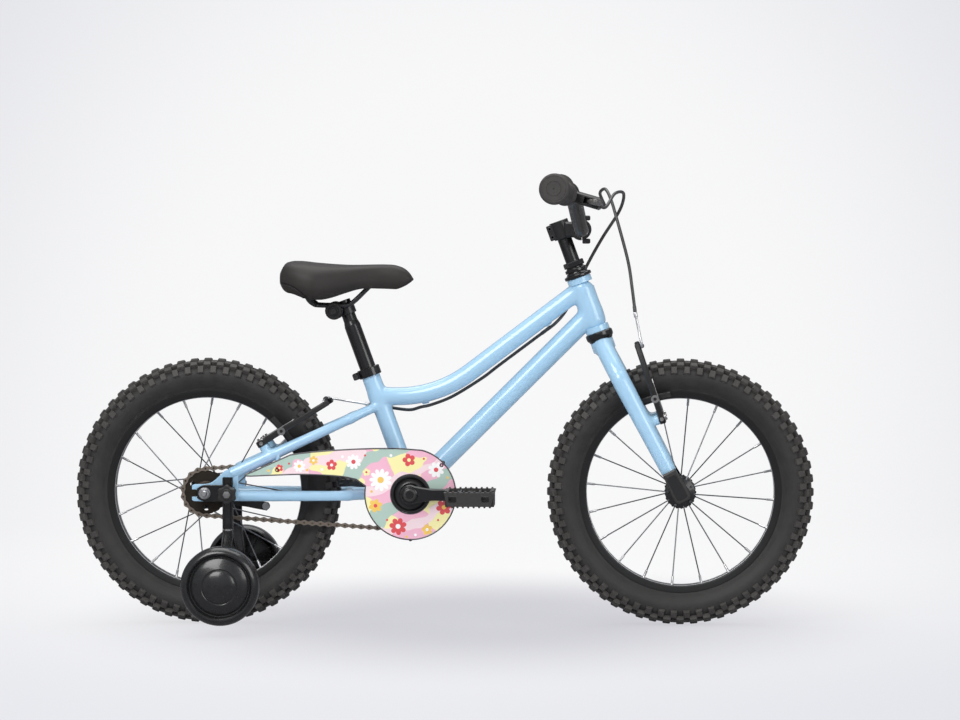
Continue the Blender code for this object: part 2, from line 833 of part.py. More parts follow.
def bottom_bracket():
    """The sealed bearing unit in the frame's shell, with a lipped cup at each end."""
    half = SHELL_WIDTH / 2
    lip = half + 0.0022
    outer = BEARING_RADIUS
    bore = SPINDLE_RADIUS + FIT
    neck = SHELL_RADIUS - 0.001
    upper = [(bore, lip), (neck, lip), (neck, half + FIT), (outer, half + FIT)]
    profile = upper + [(radius, -height) for radius, height in reversed(upper)]
    return finish(turned(BRACKET, LEFT, profile, BEARING_STEPS, ring=True), "bottom_bracket", DARK_STEEL)


def crank_spindle():
    reach = CRANK_PLANE - CRANK_THICKNESS / 2 - FIT
    return finish(
        drum(BRACKET, LEFT, SPINDLE_RADIUS, reach, -reach, 12), "crank_spindle", BRIGHT_STEEL, CRANKS
    )


def crank_arm(name, side):
    """A tapered arm with a round boss at the spindle and the pedal's axle at its end."""
    along = Vector((-side, 0.0, 0.0))
    outward = Vector((0.0, side, 0.0))
    outline = arc(0.0, 0.0, 0.0155, 60, 300, 9)
    outline += arc(CRANK_LENGTH, 0.0, 0.0110, -80, 80, 7)
    up = UP * (1 if side == -1 else -1)
    arm = plate([outline], CRANK_THICKNESS, BRACKET + outward * CRANK_PLANE, along, up)
    boss = rod(
        BRACKET + outward * (CRANK_PLANE - 0.004),
        BRACKET + outward * (CRANK_PLANE + 0.009),
        0.0125,
        12,
        0.0110,
    )
    end = BRACKET + along * CRANK_LENGTH
    inner = CRANK_PLANE
    axle = rod(end + outward * inner, end + outward * (inner + PEDAL_WIDTH * 0.9), PEDAL_AXLE_RADIUS, 8)
    return finish(union(arm, boss, axle), name, BLACK_PAINT, CRANKS)


def pedal(name, side):
    """A cage pedal: a bored centre barrel and a windowed frame with toothed front and rear rails."""
    outward = Vector((0.0, side, 0.0))
    axle = BRACKET + Vector((-side * CRANK_LENGTH, 0.0, 0.0))
    parent = axis_empty(name + "_axis", axle, LEFT, CRANKS)
    start = CRANK_PLANE + CRANK_THICKNESS / 2 + RUNNING_GAP
    middle = axle + outward * (start + PEDAL_WIDTH / 2)
    frame = block(middle, (PEDAL_LENGTH - 0.006, PEDAL_WIDTH, PEDAL_HEIGHT - 0.006))
    windows = []
    for end in (-1, 1):
        shift = Vector((end * (PEDAL_LENGTH / 4 + 0.001), 0.0, 0.0))
        windows.append(
            block(middle + shift, (PEDAL_LENGTH / 2 - 0.020, PEDAL_WIDTH - 0.020, PEDAL_HEIGHT * 2))
        )
    teeth = []
    for end in (-1, 1):
        for i in (-1, 1):
            shift = Vector((end * (PEDAL_LENGTH / 2 - 0.0055), i * PEDAL_WIDTH * 0.30, 0.0))
            teeth.append(block(middle + shift, (0.0105, 0.020, PEDAL_HEIGHT)))
    inside = axle + outward * (start - 0.01)
    hole = (PEDAL_AXLE_RADIUS + FIT) / math.cos(math.pi / 8)
    bore = rod(inside, axle + outward * (start + PEDAL_WIDTH * 0.9), hole, 8)
    body = cut(union(frame, *teeth), *windows, bore)
    return finish(body, name, BLACK_PLASTIC, parent)


def guard_outline(inset):
    """The chain guard's edge about the bracket, drawn in by inset: the round end, then the tail."""
    big = GUARD_RADIUS - inset
    upper = [
        (-0.020, GUARD_RADIUS + 0.0004),
        (-0.070, GUARD_RADIUS - 0.0002),
        (-0.125, GUARD_RADIUS - 0.0032),
        (-0.166, GUARD_RADIUS - 0.0070),
        (-0.186, GUARD_RADIUS - 0.0100),
        (-GUARD_TAIL + 0.012, 0.0340),
    ]
    lower = [
        (-GUARD_TAIL + 0.010, 0.0265),
        (-0.210, 0.0285),
        (-0.165, 0.0298),
        (-0.111, 0.0272),
        (-0.084, 0.0225),
    ]
    outline = [(x, y - inset) for x, y in upper]
    outline.append((-GUARD_TAIL + inset * 1.5, 0.0295))
    outline.append((-GUARD_TAIL + inset * 1.5, 0.0282))
    outline += [(x, y + inset) for x, y in lower]
    return outline + arc(0.0, 0.0, big, 168, 441, 14)


def chainguard():
    """A shallow tray on the drive side: a flat face with a turned-in edge, and tabs to the frame."""
    forward = Vector((1.0, 0.0, 0.0))
    front = -GUARD_FACE
    tray = plate([guard_outline(0.0)], GUARD_DEPTH, BRACKET + LEFT * (front + GUARD_DEPTH / 2), forward, UP)
    depth = GUARD_DEPTH
    pocket = plate(
        [guard_outline(GUARD_WALL)],
        depth,
        BRACKET + LEFT * (front + GUARD_WALL + depth / 2),
        forward,
        UP,
    )
    hole = rod(BRACKET + LEFT * (front - 0.01), BRACKET + LEFT * (front + 0.01), GUARD_HOLE, 24)
    return finish(cut(tray, pocket, hole), "chainguard", GUARD_PINK)


# Frame


def seat_stay_foot(side):
    return REAR_AXLE + Vector((0.041, side * (DROPOUT_INNER - 0.002), 0.030))


def chain_stay(side):
    points = [
        BRACKET + Vector((-0.006, side * 0.0180, -0.004)),
        BRACKET + Vector((-0.055, side * 0.0260, -0.004)),
        BRACKET + Vector((-0.085, side * 0.0330, -0.0045)),
        BRACKET + Vector((-0.120, side * 0.0430, -0.005)),
        REAR_AXLE + Vector((0.105, side * (DROPOUT_INNER - 0.006), -0.005)),
        REAR_AXLE + Vector((0.040, side * (DROPOUT_INNER - 0.003), -0.005)),
    ]
    return tube(points, STAY_RADIUS, 2, [0.94, 0.94, 0.95, 0.98, 1.05, 1.0])


def seat_stay_joint():
    return BRACKET + SEAT_UP * (SEAT_TUBE_LENGTH * 0.708)


def seat_stay_points(side):
    joint = seat_stay_joint()
    foot = seat_stay_foot(side)
    points = [
        foot,
        foot.lerp(joint, 0.22),
        foot.lerp(joint, 0.45),
        foot.lerp(joint, 0.72),
        foot.lerp(joint, 0.97),
    ]
    for place, across in zip(points, (1.0, 0.97, 0.86, 0.62, 0.15)):
        place.y = side * across * (DROPOUT_INNER - 0.002)
    return points


def nearest_on(line, place):
    """The point of a line of points that lies nearest to a place."""
    found = []
    for start, end in zip(line, line[1:]):
        run = end - start
        share = (place - start).dot(run) / run.dot(run)
        found.append(start + run * min(max(share, 0.0), 1.0))
    return min(found, key=lambda spot: (spot - place).length)


def dropout(side):
    """The flat axle plate: it grows out of both stays and ends in a slot that opens to the rear."""
    outline = [
        (0.046, 0.040),
        (0.030, 0.034),
        (0.006, 0.0145),
        (-0.018, 0.0135),
        (-0.020, 0.0115),
        (-0.020, 0.0056),
        (0.004, 0.0056),
        (0.0075, 0.0),
        (0.004, -0.0056),
        (-0.020, -0.0056),
        (-0.020, -0.0105),
        (-0.016, -0.0125),
        (0.010, -0.0130),
        (0.046, -0.0120),
    ]
    plane = side * (DROPOUT_INNER + DROPOUT_THICKNESS / 2)
    return plate([outline], DROPOUT_THICKNESS, REAR_AXLE + LEFT * plane, Vector((1, 0, 0)), UP)


def top_tube_points():
    """Level behind, one wide bend, then straight up to the head tube."""
    head = HEAD_TUBE_TOP - STEER_UP * 0.017
    low = Vector((0.0, 0.0, TOP_TUBE_HEIGHT))
    corner = head.x - (head.z - low.z) / math.tan(TOP_TUBE_SLOPE)
    start = corner - TOP_TUBE_BEND * math.tan(TOP_TUBE_SLOPE / 2)
    seat = BRACKET + SEAT_UP * ((TOP_TUBE_HEIGHT - BRACKET.z) / SEAT_UP.z)
    points = [seat]
    bends = 5
    for i in range(bends + 1):
        angle = TOP_TUBE_SLOPE * i / bends
        rise = TOP_TUBE_BEND * (1 - math.cos(angle))
        points.append(Vector((start + TOP_TUBE_BEND * math.sin(angle), 0.0, low.z + rise)))
    return points + [head]


def brake_frame(axle, pad_angle, arm_angle, pad_reach):
    """The pivot's point, the arm's direction and the stud's direction of one brake, in the mid plane."""
    pad = axle + Vector((math.cos(pad_angle), 0.0, math.sin(pad_angle))) * BRAKE_TRACK_RADIUS
    up = Vector((math.cos(arm_angle), 0.0, math.sin(arm_angle)))
    stud = Vector((math.sin(arm_angle), 0.0, -math.cos(arm_angle)))
    return pad - up * pad_reach, up, stud


FRONT_BRAKE = brake_frame(FRONT_AXLE, FRONT_PAD_ANGLE, FRONT_ARM_ANGLE, FRONT_PAD_REACH)
REAR_BRAKE = brake_frame(REAR_AXLE, REAR_PAD_ANGLE, REAR_ARM_ANGLE, REAR_PAD_REACH)


def brake_boss(brake, side, out, line):
    """A short boss from the tube along line, ending behind the arm, with the arm's thin stud."""
    pivot, _, stud = brake
    place = pivot + LEFT * side * BRAKE_PIVOT_HALF
    behind = place - stud * out * (BRAKE_ARM_DEPTH / 2 + FIT)
    root = nearest_on(line, behind)
    boss = tube([root, behind - stud * out * 0.006, behind], 0.0080, 2, [1.2, 1.0, 1.0])
    before = place + stud * out * (BRAKE_ARM_DEPTH / 2 + 0.001)
    pin = rod(behind - stud * out * 0.004, before, STUD_RADIUS, 8)
    return boss, pin


def cable_guide(place, direction):
    return block(place, (0.011, 0.008, 0.007), direction.to_track_quat("X", "Z").to_matrix())


def frame():
    """The welded frame, bored for the steerer, the seatpost and the bottom bracket."""
    head = turned(
        HEAD_TUBE_FOOT,
        STEER_UP,
        [
            (0, HEAD_TUBE_LENGTH),
            (HEAD_TUBE_RADIUS + 0.001, HEAD_TUBE_LENGTH),
            (HEAD_TUBE_RADIUS + 0.001, HEAD_TUBE_LENGTH - 0.008),
            (HEAD_TUBE_RADIUS, HEAD_TUBE_LENGTH - 0.010),
            (HEAD_TUBE_RADIUS, 0.010),
            (HEAD_TUBE_RADIUS + 0.001, 0.008),
            (HEAD_TUBE_RADIUS + 0.001, 0),
            (0, 0),
        ],
        16,
    )
    seat = drum(BRACKET, SEAT_UP, SEAT_TUBE_RADIUS, SEAT_TUBE_LENGTH, 0.0, 16)
    shell = drum(BRACKET, LEFT, SHELL_RADIUS, SHELL_WIDTH / 2, -SHELL_WIDTH / 2, 16)
    top = tube(top_tube_points(), TOP_TUBE_RADIUS, 3)
    down_end = HEAD_TUBE_FOOT + STEER_UP * 0.031
    down = tube([BRACKET + Vector((0.002, 0, 0.002)), down_end], DOWN_TUBE_RADIUS, 3)
    pieces = [seat, shell, top, down]
    for _, side in SIDES:
        pieces.append(chain_stay(side))
        stay = seat_stay_points(side)
        pieces.append(tube(stay, SEAT_STAY_RADIUS, 2, [1.22, 1.16, 1.06, 0.95, 0.88]))
        pieces.append(dropout(side))
        pieces += brake_boss(REAR_BRAKE, side, -1, stay)
    stay_bridge = BRACKET + Vector((-0.100, 0.0, -0.0045))
    pieces.append(rod(stay_bridge - LEFT * 0.036, stay_bridge + LEFT * 0.036, 0.0065, 8))
    upper = seat_stay_foot(1).lerp(seat_stay_joint(), 0.80)
    pieces.append(
        rod(Vector((upper.x, -0.028, upper.z)), Vector((upper.x, 0.028, upper.z)), 0.0060, 8)
    )
    for place, direction in GUIDES:
        pieces.append(cable_guide(place, direction))
    pieces += guard_tabs()
    whole = union(head, *pieces)
    steerer_bore = rod(
        HEAD_TUBE_FOOT - STEER_UP * 0.03,
        HEAD_TUBE_TOP + STEER_UP * 0.03,
        STEERER_RADIUS + RUNNING_GAP,
        16,
    )
    post_bore = rod(
        BRACKET + SEAT_UP * 0.024, SEAT_TUBE_TOP + SEAT_UP * 0.03, POST_RADIUS + FIT, 16
    )
    bearing = drum(BRACKET, LEFT, BEARING_RADIUS + FIT, SHELL_WIDTH, -SHELL_WIDTH, BEARING_STEPS)
    for bore in (steerer_bore, post_bore, bearing):
        whole = cut(whole, bore)
    return finish(whole, "frame", BLUE_PAINT)


def guard_tabs():
    """What carries the chain guard: a tab that hangs from the seat stay, and one on the down tube."""
    inside = -GUARD_FACE + GUARD_WALL + FIT
    stay = seat_stay_points(-1)
    top = stay[0].lerp(stay[2], 0.70)
    rear = Vector((top.x, -DROPOUT_INNER - 0.001, BRACKET.z + GUARD_TAB_RISE))
    hanger = rod(top, rear - UP * 0.004, 0.0042, 6)
    first = rod(rear + LEFT * 0.004, Vector((rear.x, inside, rear.z)), 0.0050, 8)
    front = BRACKET + Vector((math.cos(GUARD_TAB_ANGLE), 0.0, math.sin(GUARD_TAB_ANGLE))) * GUARD_TAB_REACH
    second = rod(Vector((front.x, -0.008, front.z)), Vector((front.x, inside, front.z)), 0.0021, 6)
    return [hanger, first, second]


# Fork and steering


def blade_points(side):
    """A blade leaves the crown sideways, bends down past the tyre and runs straight to the axle."""
    points = []
    run = FRONT_AXLE - CROWN
    for share, across in ((0.0, 0.010), (0.09, 0.026), (0.19, 0.041), (0.31, 0.048), (0.93, 0.0535)):
        place = CROWN + run * share
        points.append(Vector((place.x, side * across, place.z)))
    return points


def fork():
    length = HEAD_TUBE_LENGTH + CUP_HEIGHT + CROWN_DROP + 0.008 + LOCKNUT_HEIGHT
    steerer = drum(CROWN, STEER_UP, STEERER_RADIUS, length, 0.0, 16)
    race = drum(
        CROWN, STEER_UP, HEAD_TUBE_RADIUS, CROWN_DROP - FIT, -0.008, 16
    )
    pieces = [race]
    down = (FRONT_AXLE - CROWN).normalized()
    across = Vector((-down.z, 0.0, down.x))
    for _, side in SIDES:
        foot = BLADE_FOOT_RADIUS / BLADE_TOP_RADIUS
        pieces.append(tube(blade_points(side), BLADE_TOP_RADIUS, 3, [1.0, 1.0, 1.0, 1.0, foot]))
        outline = [
            (0.030, 0.009),
            (-0.008, 0.011),
            (-0.013, 0.006),
            (-0.013, -0.006),
            (-0.008, -0.011),
            (0.030, -0.009),
        ]
        hole = circle(0.0, 0.0, AXLE_RADIUS + FIT, 10)
        plane = FORK_INNER + DROPOUT_THICKNESS / 2
        pieces.append(
            plate([outline, hole], DROPOUT_THICKNESS, FRONT_AXLE + LEFT * side * plane, -down, across)
        )
        pieces += brake_boss(FRONT_BRAKE, side, 1, blade_points(side))
    whole = union(steerer, *pieces)
    bore = rod(CROWN + STEER_UP * 0.02, CROWN + STEER_UP * 0.20, QUILL_RADIUS + FIT, 16)
    return finish(cut(whole, bore), "fork", BLUE_PAINT, STEERING)


def headset():
    bore = STEERER_RADIUS + 1.5 * RUNNING_GAP
    edge = HEAD_TUBE_RADIUS + 0.0035
    lower = [
        (bore, -FIT),
        (edge - 0.001, -FIT),
        (edge, -0.003),
        (edge, -CUP_HEIGHT + 0.005),
        (edge - 0.003, -CUP_HEIGHT),
        (bore, -CUP_HEIGHT),
    ]
    finish(turned(HEAD_TUBE_FOOT, STEER_UP, lower, 12, ring=True), "headset_lower_cup", BLACK_PAINT)
    upper = [
        (bore, 0.010),
        (edge - 0.006, 0.010),
        (edge, 0.005),
        (edge, 0.002),
        (edge - 0.001, FIT),
        (bore, FIT),
    ]
    finish(turned(HEAD_TUBE_TOP, STEER_UP, upper, 12, ring=True), "headset_upper_cup", BLACK_PAINT)
    start = 0.010 + FIT
    thread = STEERER_RADIUS + RUNNING_GAP
    nut = turned(
        HEAD_TUBE_TOP,
        STEER_UP,
        [
            (thread, start + LOCKNUT_HEIGHT - 0.004),
            (0.0155, start + LOCKNUT_HEIGHT - 0.004),
            (0.0163, start + LOCKNUT_HEIGHT - 0.006),
            (0.0163, start + LOCKNUT_HEIGHT - 0.011),
            (0.0148, start + 0.007),
            (0.0170, start + 0.005),
            (0.0170, start),
            (thread, start),
        ],
        12,
        ring=True,
    )
    finish(nut, "headset_locknut", BLACK_PAINT, STEERING)


def quill():
    """The shaft in the steerer that carries the stem, with its clamp bolt's head on top."""
    top = STEM_STAND + STEM_HEIGHT - 0.003
    profile = [(0, top), (QUILL_RADIUS, top), (QUILL_RADIUS, -0.060), (0, -0.060)]
    return finish(turned(HEAD_TUBE_TOP, STEER_UP, profile, 16), "quill", BLACK_PAINT, STEERING)


def stem():
    """A clamp on the quill, split behind between two ears, and a half shell for the bar in front."""
    outer = QUILL_RADIUS + 0.0040
    body = drum(STEM_FOOT, STEER_UP, outer, STEM_HEIGHT, 0.0, 14)
    middle = STEM_FOOT + STEER_UP * STEM_HEIGHT / 2
    ears = block(
        middle - Vector((outer - 0.002, 0.0, 0.0)),
        (0.012, 0.020, STEM_HEIGHT - 0.004),
        STEER_UP.to_track_quat("Z", "Y").to_matrix(),
    )
    reach = BAR_CENTRE - middle
    neck = block(middle + reach * 0.45, (STEM_REACH * 0.9, 0.034, STEM_HEIGHT - 0.004))
    shell = drum(BAR_CENTRE, LEFT, BAR_RADIUS + 0.0055, 0.021, -0.021, 12)
    front = block(BAR_CENTRE + Vector((0.0255, 0.0, 0.0)), (0.050, 0.060, 0.060))
    bar_hole = rod(BAR_CENTRE - LEFT * 0.04, BAR_CENTRE + LEFT * 0.04, BAR_RADIUS + 2 * FIT, 12)
    post_hole = rod(STEM_FOOT - STEER_UP * 0.02, STEM_FOOT + STEER_UP * 0.08, QUILL_RADIUS + FIT, 16)
    slit = block(middle - Vector((outer + 0.004, 0.0, 0.0)), (0.030, 0.0020, 0.080))
    return finish(
        cut(union(body, ears, neck, shell), front, bar_hole, post_hole, slit),
        "stem",
        BLACK_PAINT,
        STEERING,
    )


def stem_faceplate():
    shell = drum(BAR_CENTRE, LEFT, BAR_RADIUS + 0.0050, 0.020, -0.020, 12)
    lugs = block(BAR_CENTRE + Vector((0.008, 0.0, 0.0)), (0.012, 0.034, 0.044))
    back = block(BAR_CENTRE - Vector((0.0285, 0.0, 0.0)), (0.060, 0.060, 0.060))
    bar_hole = rod(BAR_CENTRE - LEFT * 0.04, BAR_CENTRE + LEFT * 0.04, BAR_RADIUS + 2 * FIT, 12)
    return finish(cut(union(shell, lugs), back, bar_hole), "stem_faceplate", BLACK_PAINT, STEERING)


GRIP_END = BAR_CENTRE + Vector((-BAR_SWEEP, BAR_HALF_WIDTH, BAR_RISE))
GRIP_START = BAR_CENTRE + Vector((-BAR_SWEEP * 0.47, LEVER_START, BAR_RISE * 0.84))
GRIP_RUN = (GRIP_END - GRIP_START).normalized()


def bar_points():
    """The bar's right half, from the middle out: flat, up and back through the rise, then the grip."""
    rise = BAR_RISE
    sweep = BAR_SWEEP
    return [
        BAR_CENTRE,
        BAR_CENTRE + Vector((0.0, 0.036, 0.0)),
        BAR_CENTRE + Vector((-0.001, 0.050, rise * 0.06)),
        BAR_CENTRE + Vector((-sweep * 0.27, LEVER_START - 0.031, rise * 0.69)),
        BAR_CENTRE + Vector((-sweep * 0.36, LEVER_START - 0.017, rise * 0.80)),
        GRIP_START,
        GRIP_END,
    ]


def mirrored(place, side):
    return Vector((place.x, place.y * side, place.z))


def handlebar():
    half = bar_points()
    points = [mirrored(place, -1) for place in reversed(half)] + half[1:]
    return finish(tube(points, BAR_RADIUS, 3), "handlebar", BLACK_PAINT, STEERING)


def grip(name, side):
    """A ribbed rubber sleeve with a wide round stop at its outer end, closed over the bar's end."""
    run = mirrored(GRIP_RUN, side)
    end = mirrored(GRIP_END, side)
    bore = (BAR_RADIUS + FIT) / math.cos(math.pi / GRIP_STEPS)
    profile = [(0, 0.004), (0.018, 0.004), (0.024, 0.0), (0.024, -0.005), (0.0165, -0.008)]
    for start in (-0.020, -0.055):
        profile += [(0.0165, start), (0.0150, start - 0.004), (0.0165, start - 0.008)]
    profile += [
        (0.0185, -GRIP_LENGTH + 0.004),
        (0.0185, -GRIP_LENGTH),
        (bore, -GRIP_LENGTH),
        (bore, FIT),
        (0, FIT),
    ]
    return finish(turned(end, run, profile, GRIP_STEPS), name, BLACK_RUBBER, STEERING)


def lever_place(side):
    """The lever's middle on the bar, and its own axes: outward along the bar, forward, and up."""
    outward = mirrored(GRIP_RUN, side)
    ahead = Vector((1.0, 0.0, -0.30))
    ahead = (ahead - outward * ahead.dot(outward)).normalized()
    middle = mirrored(GRIP_START, side) + outward * 0.014
    return middle, outward, ahead


def lever_pivot(side):
    middle, outward, ahead = lever_place(side)
    return middle + outward * 0.004 + ahead * (LEVER_AHEAD - 0.006)


def lever_bracket(name, side):
    """A clamp ring on the bar with an arm forward to the blade's pivot and the cable's barrel."""
    middle, outward, ahead = lever_place(side)
    upward = outward.cross(ahead).normalized()
    ring = drum(middle, outward, BAR_RADIUS + 0.0045, 0.007, -0.007, 12)
    turn = Matrix((outward, ahead, upward)).transposed()
    reach = middle + ahead * (LEVER_AHEAD / 2 + 0.010)
    arm = block(reach - outward * 0.001, (0.026, LEVER_AHEAD, 0.0175), turn)
    slot = block(middle + ahead * (LEVER_AHEAD + 0.001) + outward * 0.006, (0.030, 0.034, 0.0090), turn)
    start = middle + ahead * LEVER_AHEAD - outward * 0.012
    barrel = rod(start, start - outward * 0.016, 0.0045, 8)
    hole = rod(middle - outward * 0.03, middle + outward * 0.03, BAR_RADIUS + FIT, 16)
    return finish(
        cut(union(ring, arm, barrel), slot, hole), name, BLACK_PLASTIC, STEERING
    )


def lever_blade(name, side):
    """A curved blade from its pivot out along the grip, ending in a ball."""
    middle, outward, ahead = lever_place(side)
    pivot = lever_pivot(side)
    upward = outward.cross(ahead).normalized()
    parent = axis_empty(name + "_axis", pivot, -upward, STEERING)
    outline = ribbon(
        [(-0.007, -0.002), (0.004, 0.002), (0.020, 0.014), (0.045, 0.021), (0.070, 0.020)],
        [0.009, 0.011, 0.009, 0.0085, 0.008],
    )
    blade = plate([outline], 0.0080, pivot, outward, ahead)
    tip = pivot + outward * 0.074 + ahead * 0.0195
    ball = drum(tip, upward, 0.0058, 0.0048, -0.0048, 10)
    return finish(union(blade, ball), name, BLACK_PAINT, parent)


def fork_cover(name, side):
    """The black cap round the fork's end, hollow for the wheel nut."""
    outward = LEFT * side
    inner = FORK_INNER + DROPOUT_THICKNESS + FIT
    blade = (CROWN - FRONT_AXLE).normalized()
    across = Vector((-blade.z, 0.0, blade.x))
    outline = [
        (0.040, 0.0108),
        (0.004, 0.0128),
        (-0.0080, 0.0124),
        (-0.0118, 0.0085),
        (-0.0118, -0.0085),
        (-0.0080, -0.0124),
        (0.004, -0.0128),
        (0.040, -0.0108),
    ]
    body = plate([outline], 0.017, FRONT_AXLE + outward * (inner + 0.0085), blade, across)
    pocket = rod(
        FRONT_AXLE + outward * (inner - 0.01), FRONT_AXLE + outward * (inner + 0.0135), 0.0105, 12
    )
    blade_end = blade_points(side)
    notch = tube(
        [blade_end[-2], blade_end[-1] + (blade_end[-1] - blade_end[-2]).normalized() * 0.002],
        BLADE_TOP_RADIUS + FIT,
        4,
        [1.0, (BLADE_FOOT_RADIUS + FIT) / BLADE_TOP_RADIUS],
    )
    return finish(cut(body, pocket, notch), name, BLACK_PLASTIC, STEERING)


# Brakes


def brake_arm(name, brake, side, out, parent):
    """A bowed arm that clears the tyre, bored at its foot for the stud."""
    pivot, up, stud = brake
    place = pivot + LEFT * side * BRAKE_PIVOT_HALF
    outward = LEFT * side
    length = BRAKE_ARM_LENGTH
    outline = ribbon(
        [
            (-0.0005, -0.008),
            (0.0, 0.0),
            (0.0035, length * 0.28),
            (0.0055, length * 0.52),
            (0.0020, length * 0.76),
            (-0.0060, length),
        ],
        [0.010, 0.017, 0.0130, 0.0110, 0.0100, 0.0110],
    )
    hole = circle(0.0, 0.0, STUD_RADIUS + FIT, 8)
    arm = plate([outline, hole], BRAKE_ARM_DEPTH, place, outward, up)
    hinge = axis_empty(name + "_axis", place, stud, parent)
    return finish(arm, name, BLACK_PAINT, hinge)


def brake_pad(name, brake, side, reach, axle):
    """A block that follows the rim, with a post out to its arm."""
    pivot, up, _ = brake
    outward = LEFT * side
    spot = pivot + up * reach
    radial = (spot - axle).normalized()
    face = RIM_WIDTH / 2 + PAD_GAP
    turn = Matrix((radial.cross(LEFT), LEFT, radial)).transposed()
    pad = block(spot + outward * (face + PAD_THICKNESS / 2), (PAD_LENGTH, PAD_THICKNESS, PAD_HEIGHT), turn)
    arm_face = BRAKE_PIVOT_HALF - 0.0038 - FIT
    post = rod(spot + outward * (face + PAD_THICKNESS - 0.002), spot + outward * arm_face, 0.0035, 8)
    hinge = bpy.data.objects[name.replace("pad", "brake_arm") + "_axis"]
    return finish(union(pad, post), name, BLACK_RUBBER, hinge)


# Cables

SLOPE = Vector((math.cos(TOP_TUBE_SLOPE), 0.0, math.sin(TOP_TUBE_SLOPE)))
GUIDE_DROP = TOP_TUBE_RADIUS - 0.0017
LEVEL_GUIDE_DROP = 0.0137615
SLOPE_GUIDE = HEAD_TUBE_TOP - STEER_UP * 0.017 - SLOPE * 0.0763 + SLOPE.cross(LEFT) * -GUIDE_DROP
LEVEL_GUIDE = Vector((BRACKET.x + 0.0200, 0.0, 0.0))
LEVEL_GUIDE.z = between([(p.x, p.z) for p in top_tube_points()], LEVEL_GUIDE.x) - LEVEL_GUIDE_DROP
GUIDES = (
    (SLOPE_GUIDE + LEFT * 0.0070, SLOPE),
    (LEVEL_GUIDE + LEFT * 0.0080, Vector((0.97, 0.0, 0.23))),
)


def through_guide(guide):
    """Two points of the cable under a guide, a little ahead of it and a little behind."""
    place, direction = guide
    along = direction.normalized()
    below = along.cross(LEFT) * 0.0068
    if below.z > 0:
        below.negate()
    return [place + below + along * 0.009, place + below - along * 0.009]


def lever_barrel_end(side):
    middle, outward, ahead = lever_place(side)
    return middle + ahead * LEVER_AHEAD - outward * (0.028 + FIT), outward, ahead


def noodle_points(side, brake, out, end):
    """The pipe crosses its arm's head sideways, turns outside it and runs on to the housing's end."""
    pivot, up, stud = brake
    face = stud * out * (BRAKE_ARM_DEPTH / 2 + NOODLE_RADIUS + FIT)
    along = BRAKE_ARM_LENGTH - 0.006
    head = pivot + LEFT * side * (BRAKE_PIVOT_HALF - 0.006) + up * along + face
    lead = (end - head).normalized()
    outward = LEFT * side
    return [
        head - outward * 0.012,
        head + outward * 0.005,
        head + outward * 0.0105 + lead * 0.0025,
        head + outward * 0.0130 + lead * 0.0085,
        (head + outward * 0.0110 + end) / 2,
        end,
    ]


def housing_end(points):
    """Where the housing meets the pipe, just clear of it."""
    return points[-1] + (points[-1] - points[-2]).normalized() * 2 * FIT


NOODLE_MEETING = CROWN + Vector((0.0495, -0.0450, 0.0528))
REAR_MEETING = SEAT_TUBE_TOP + Vector((0.0001, 0.0360, -0.0577))
FRONT_NOODLE = noodle_points(-1, FRONT_BRAKE, 1, NOODLE_MEETING)
REAR_NOODLE = noodle_points(1, REAR_BRAKE, -1, REAR_MEETING)


def noodle(name, side, points, arm):
    """The bent pipe on one brake arm, its rubber boot, and the wire that passes the other arm's head."""
    inward = LEFT * -side
    pipe = tube(points, NOODLE_RADIUS, 1, smooth=2)
    inner = points[0]
    boot = rod(inner - inward * 0.003, inner + inward * BOOT_LENGTH, 0.0034, 6)
    wire = rod(inner, inner + inward * (BRAKE_PIVOT_HALF + 0.032), 0.0009, 4)
    hinge = bpy.data.objects[arm + "_axis"]
    return finish(union(pipe, boot, wire), name, BRIGHT_STEEL, hinge)


def rear_cable_housing():
    """From the right lever round the head tube's left side, under the top tube and back to the brake."""
    start, outward, ahead = lever_barrel_end(-1)
    points = [
        start,
        start - outward * 0.010,
        start - outward * 0.032 + ahead * 0.008,
        BAR_CENTRE + Vector((0.0525, -0.048, 0.0560)),
        BAR_CENTRE + Vector((0.0660, -0.016, 0.0560)),
        BAR_CENTRE + Vector((0.0600, 0.012, 0.0300)),
        BAR_CENTRE + Vector((0.0325, 0.028, -0.0140)),
        HEAD_TUBE_TOP + Vector((0.0127, 0.034, 0.0181)),
        HEAD_TUBE_TOP + Vector((-0.0091, 0.030, -0.0299)),
        HEAD_TUBE_TOP + Vector((-0.0211, 0.018, -0.0539)),
        *through_guide(GUIDES[0]),
        SLOPE_GUIDE + Vector((-0.0744, 0.0105, -0.0642)),
        SLOPE_GUIDE + Vector((-0.1034, 0.0105, -0.0862)),
        LEVEL_GUIDE + Vector((0.0430, 0.0110, 0.0085)),
        *through_guide(GUIDES[1]),
        LEVEL_GUIDE + Vector((-0.0260, 0.0160, -0.0135)),
        SEAT_TUBE_TOP + Vector((0.0316, 0.0280, -0.0622)),
        housing_end(REAR_NOODLE),
    ]
    return finish(tube(points, HOUSING_RADIUS, 2), "rear_cable_housing", BLACK_RUBBER)


def front_cable_housing():
    """From the left lever over in front of the bar and down to the front brake's pipe."""
    start, outward, ahead = lever_barrel_end(1)
    points = [
        start,
        start - outward * 0.010,
        start - outward * 0.032 + ahead * 0.006,
        BAR_CENTRE + Vector((0.0290, 0.062, 0.0560)),
        BAR_CENTRE + Vector((0.0370, 0.038, 0.0630)),
        BAR_CENTRE + Vector((0.0450, 0.018, 0.0500)),
        BAR_CENTRE + Vector((0.0540, 0.000, 0.0220)),
        BAR_CENTRE + Vector((0.0727, -0.028, -0.0471)),
        NOODLE_MEETING + Vector((-0.0045, 0.005, 0.0360)),
        housing_end(FRONT_NOODLE),
    ]
    housing = tube(points, HOUSING_RADIUS, 2)
    return finish(housing, "front_cable_housing", BLACK_RUBBER, STEERING)


# Seat


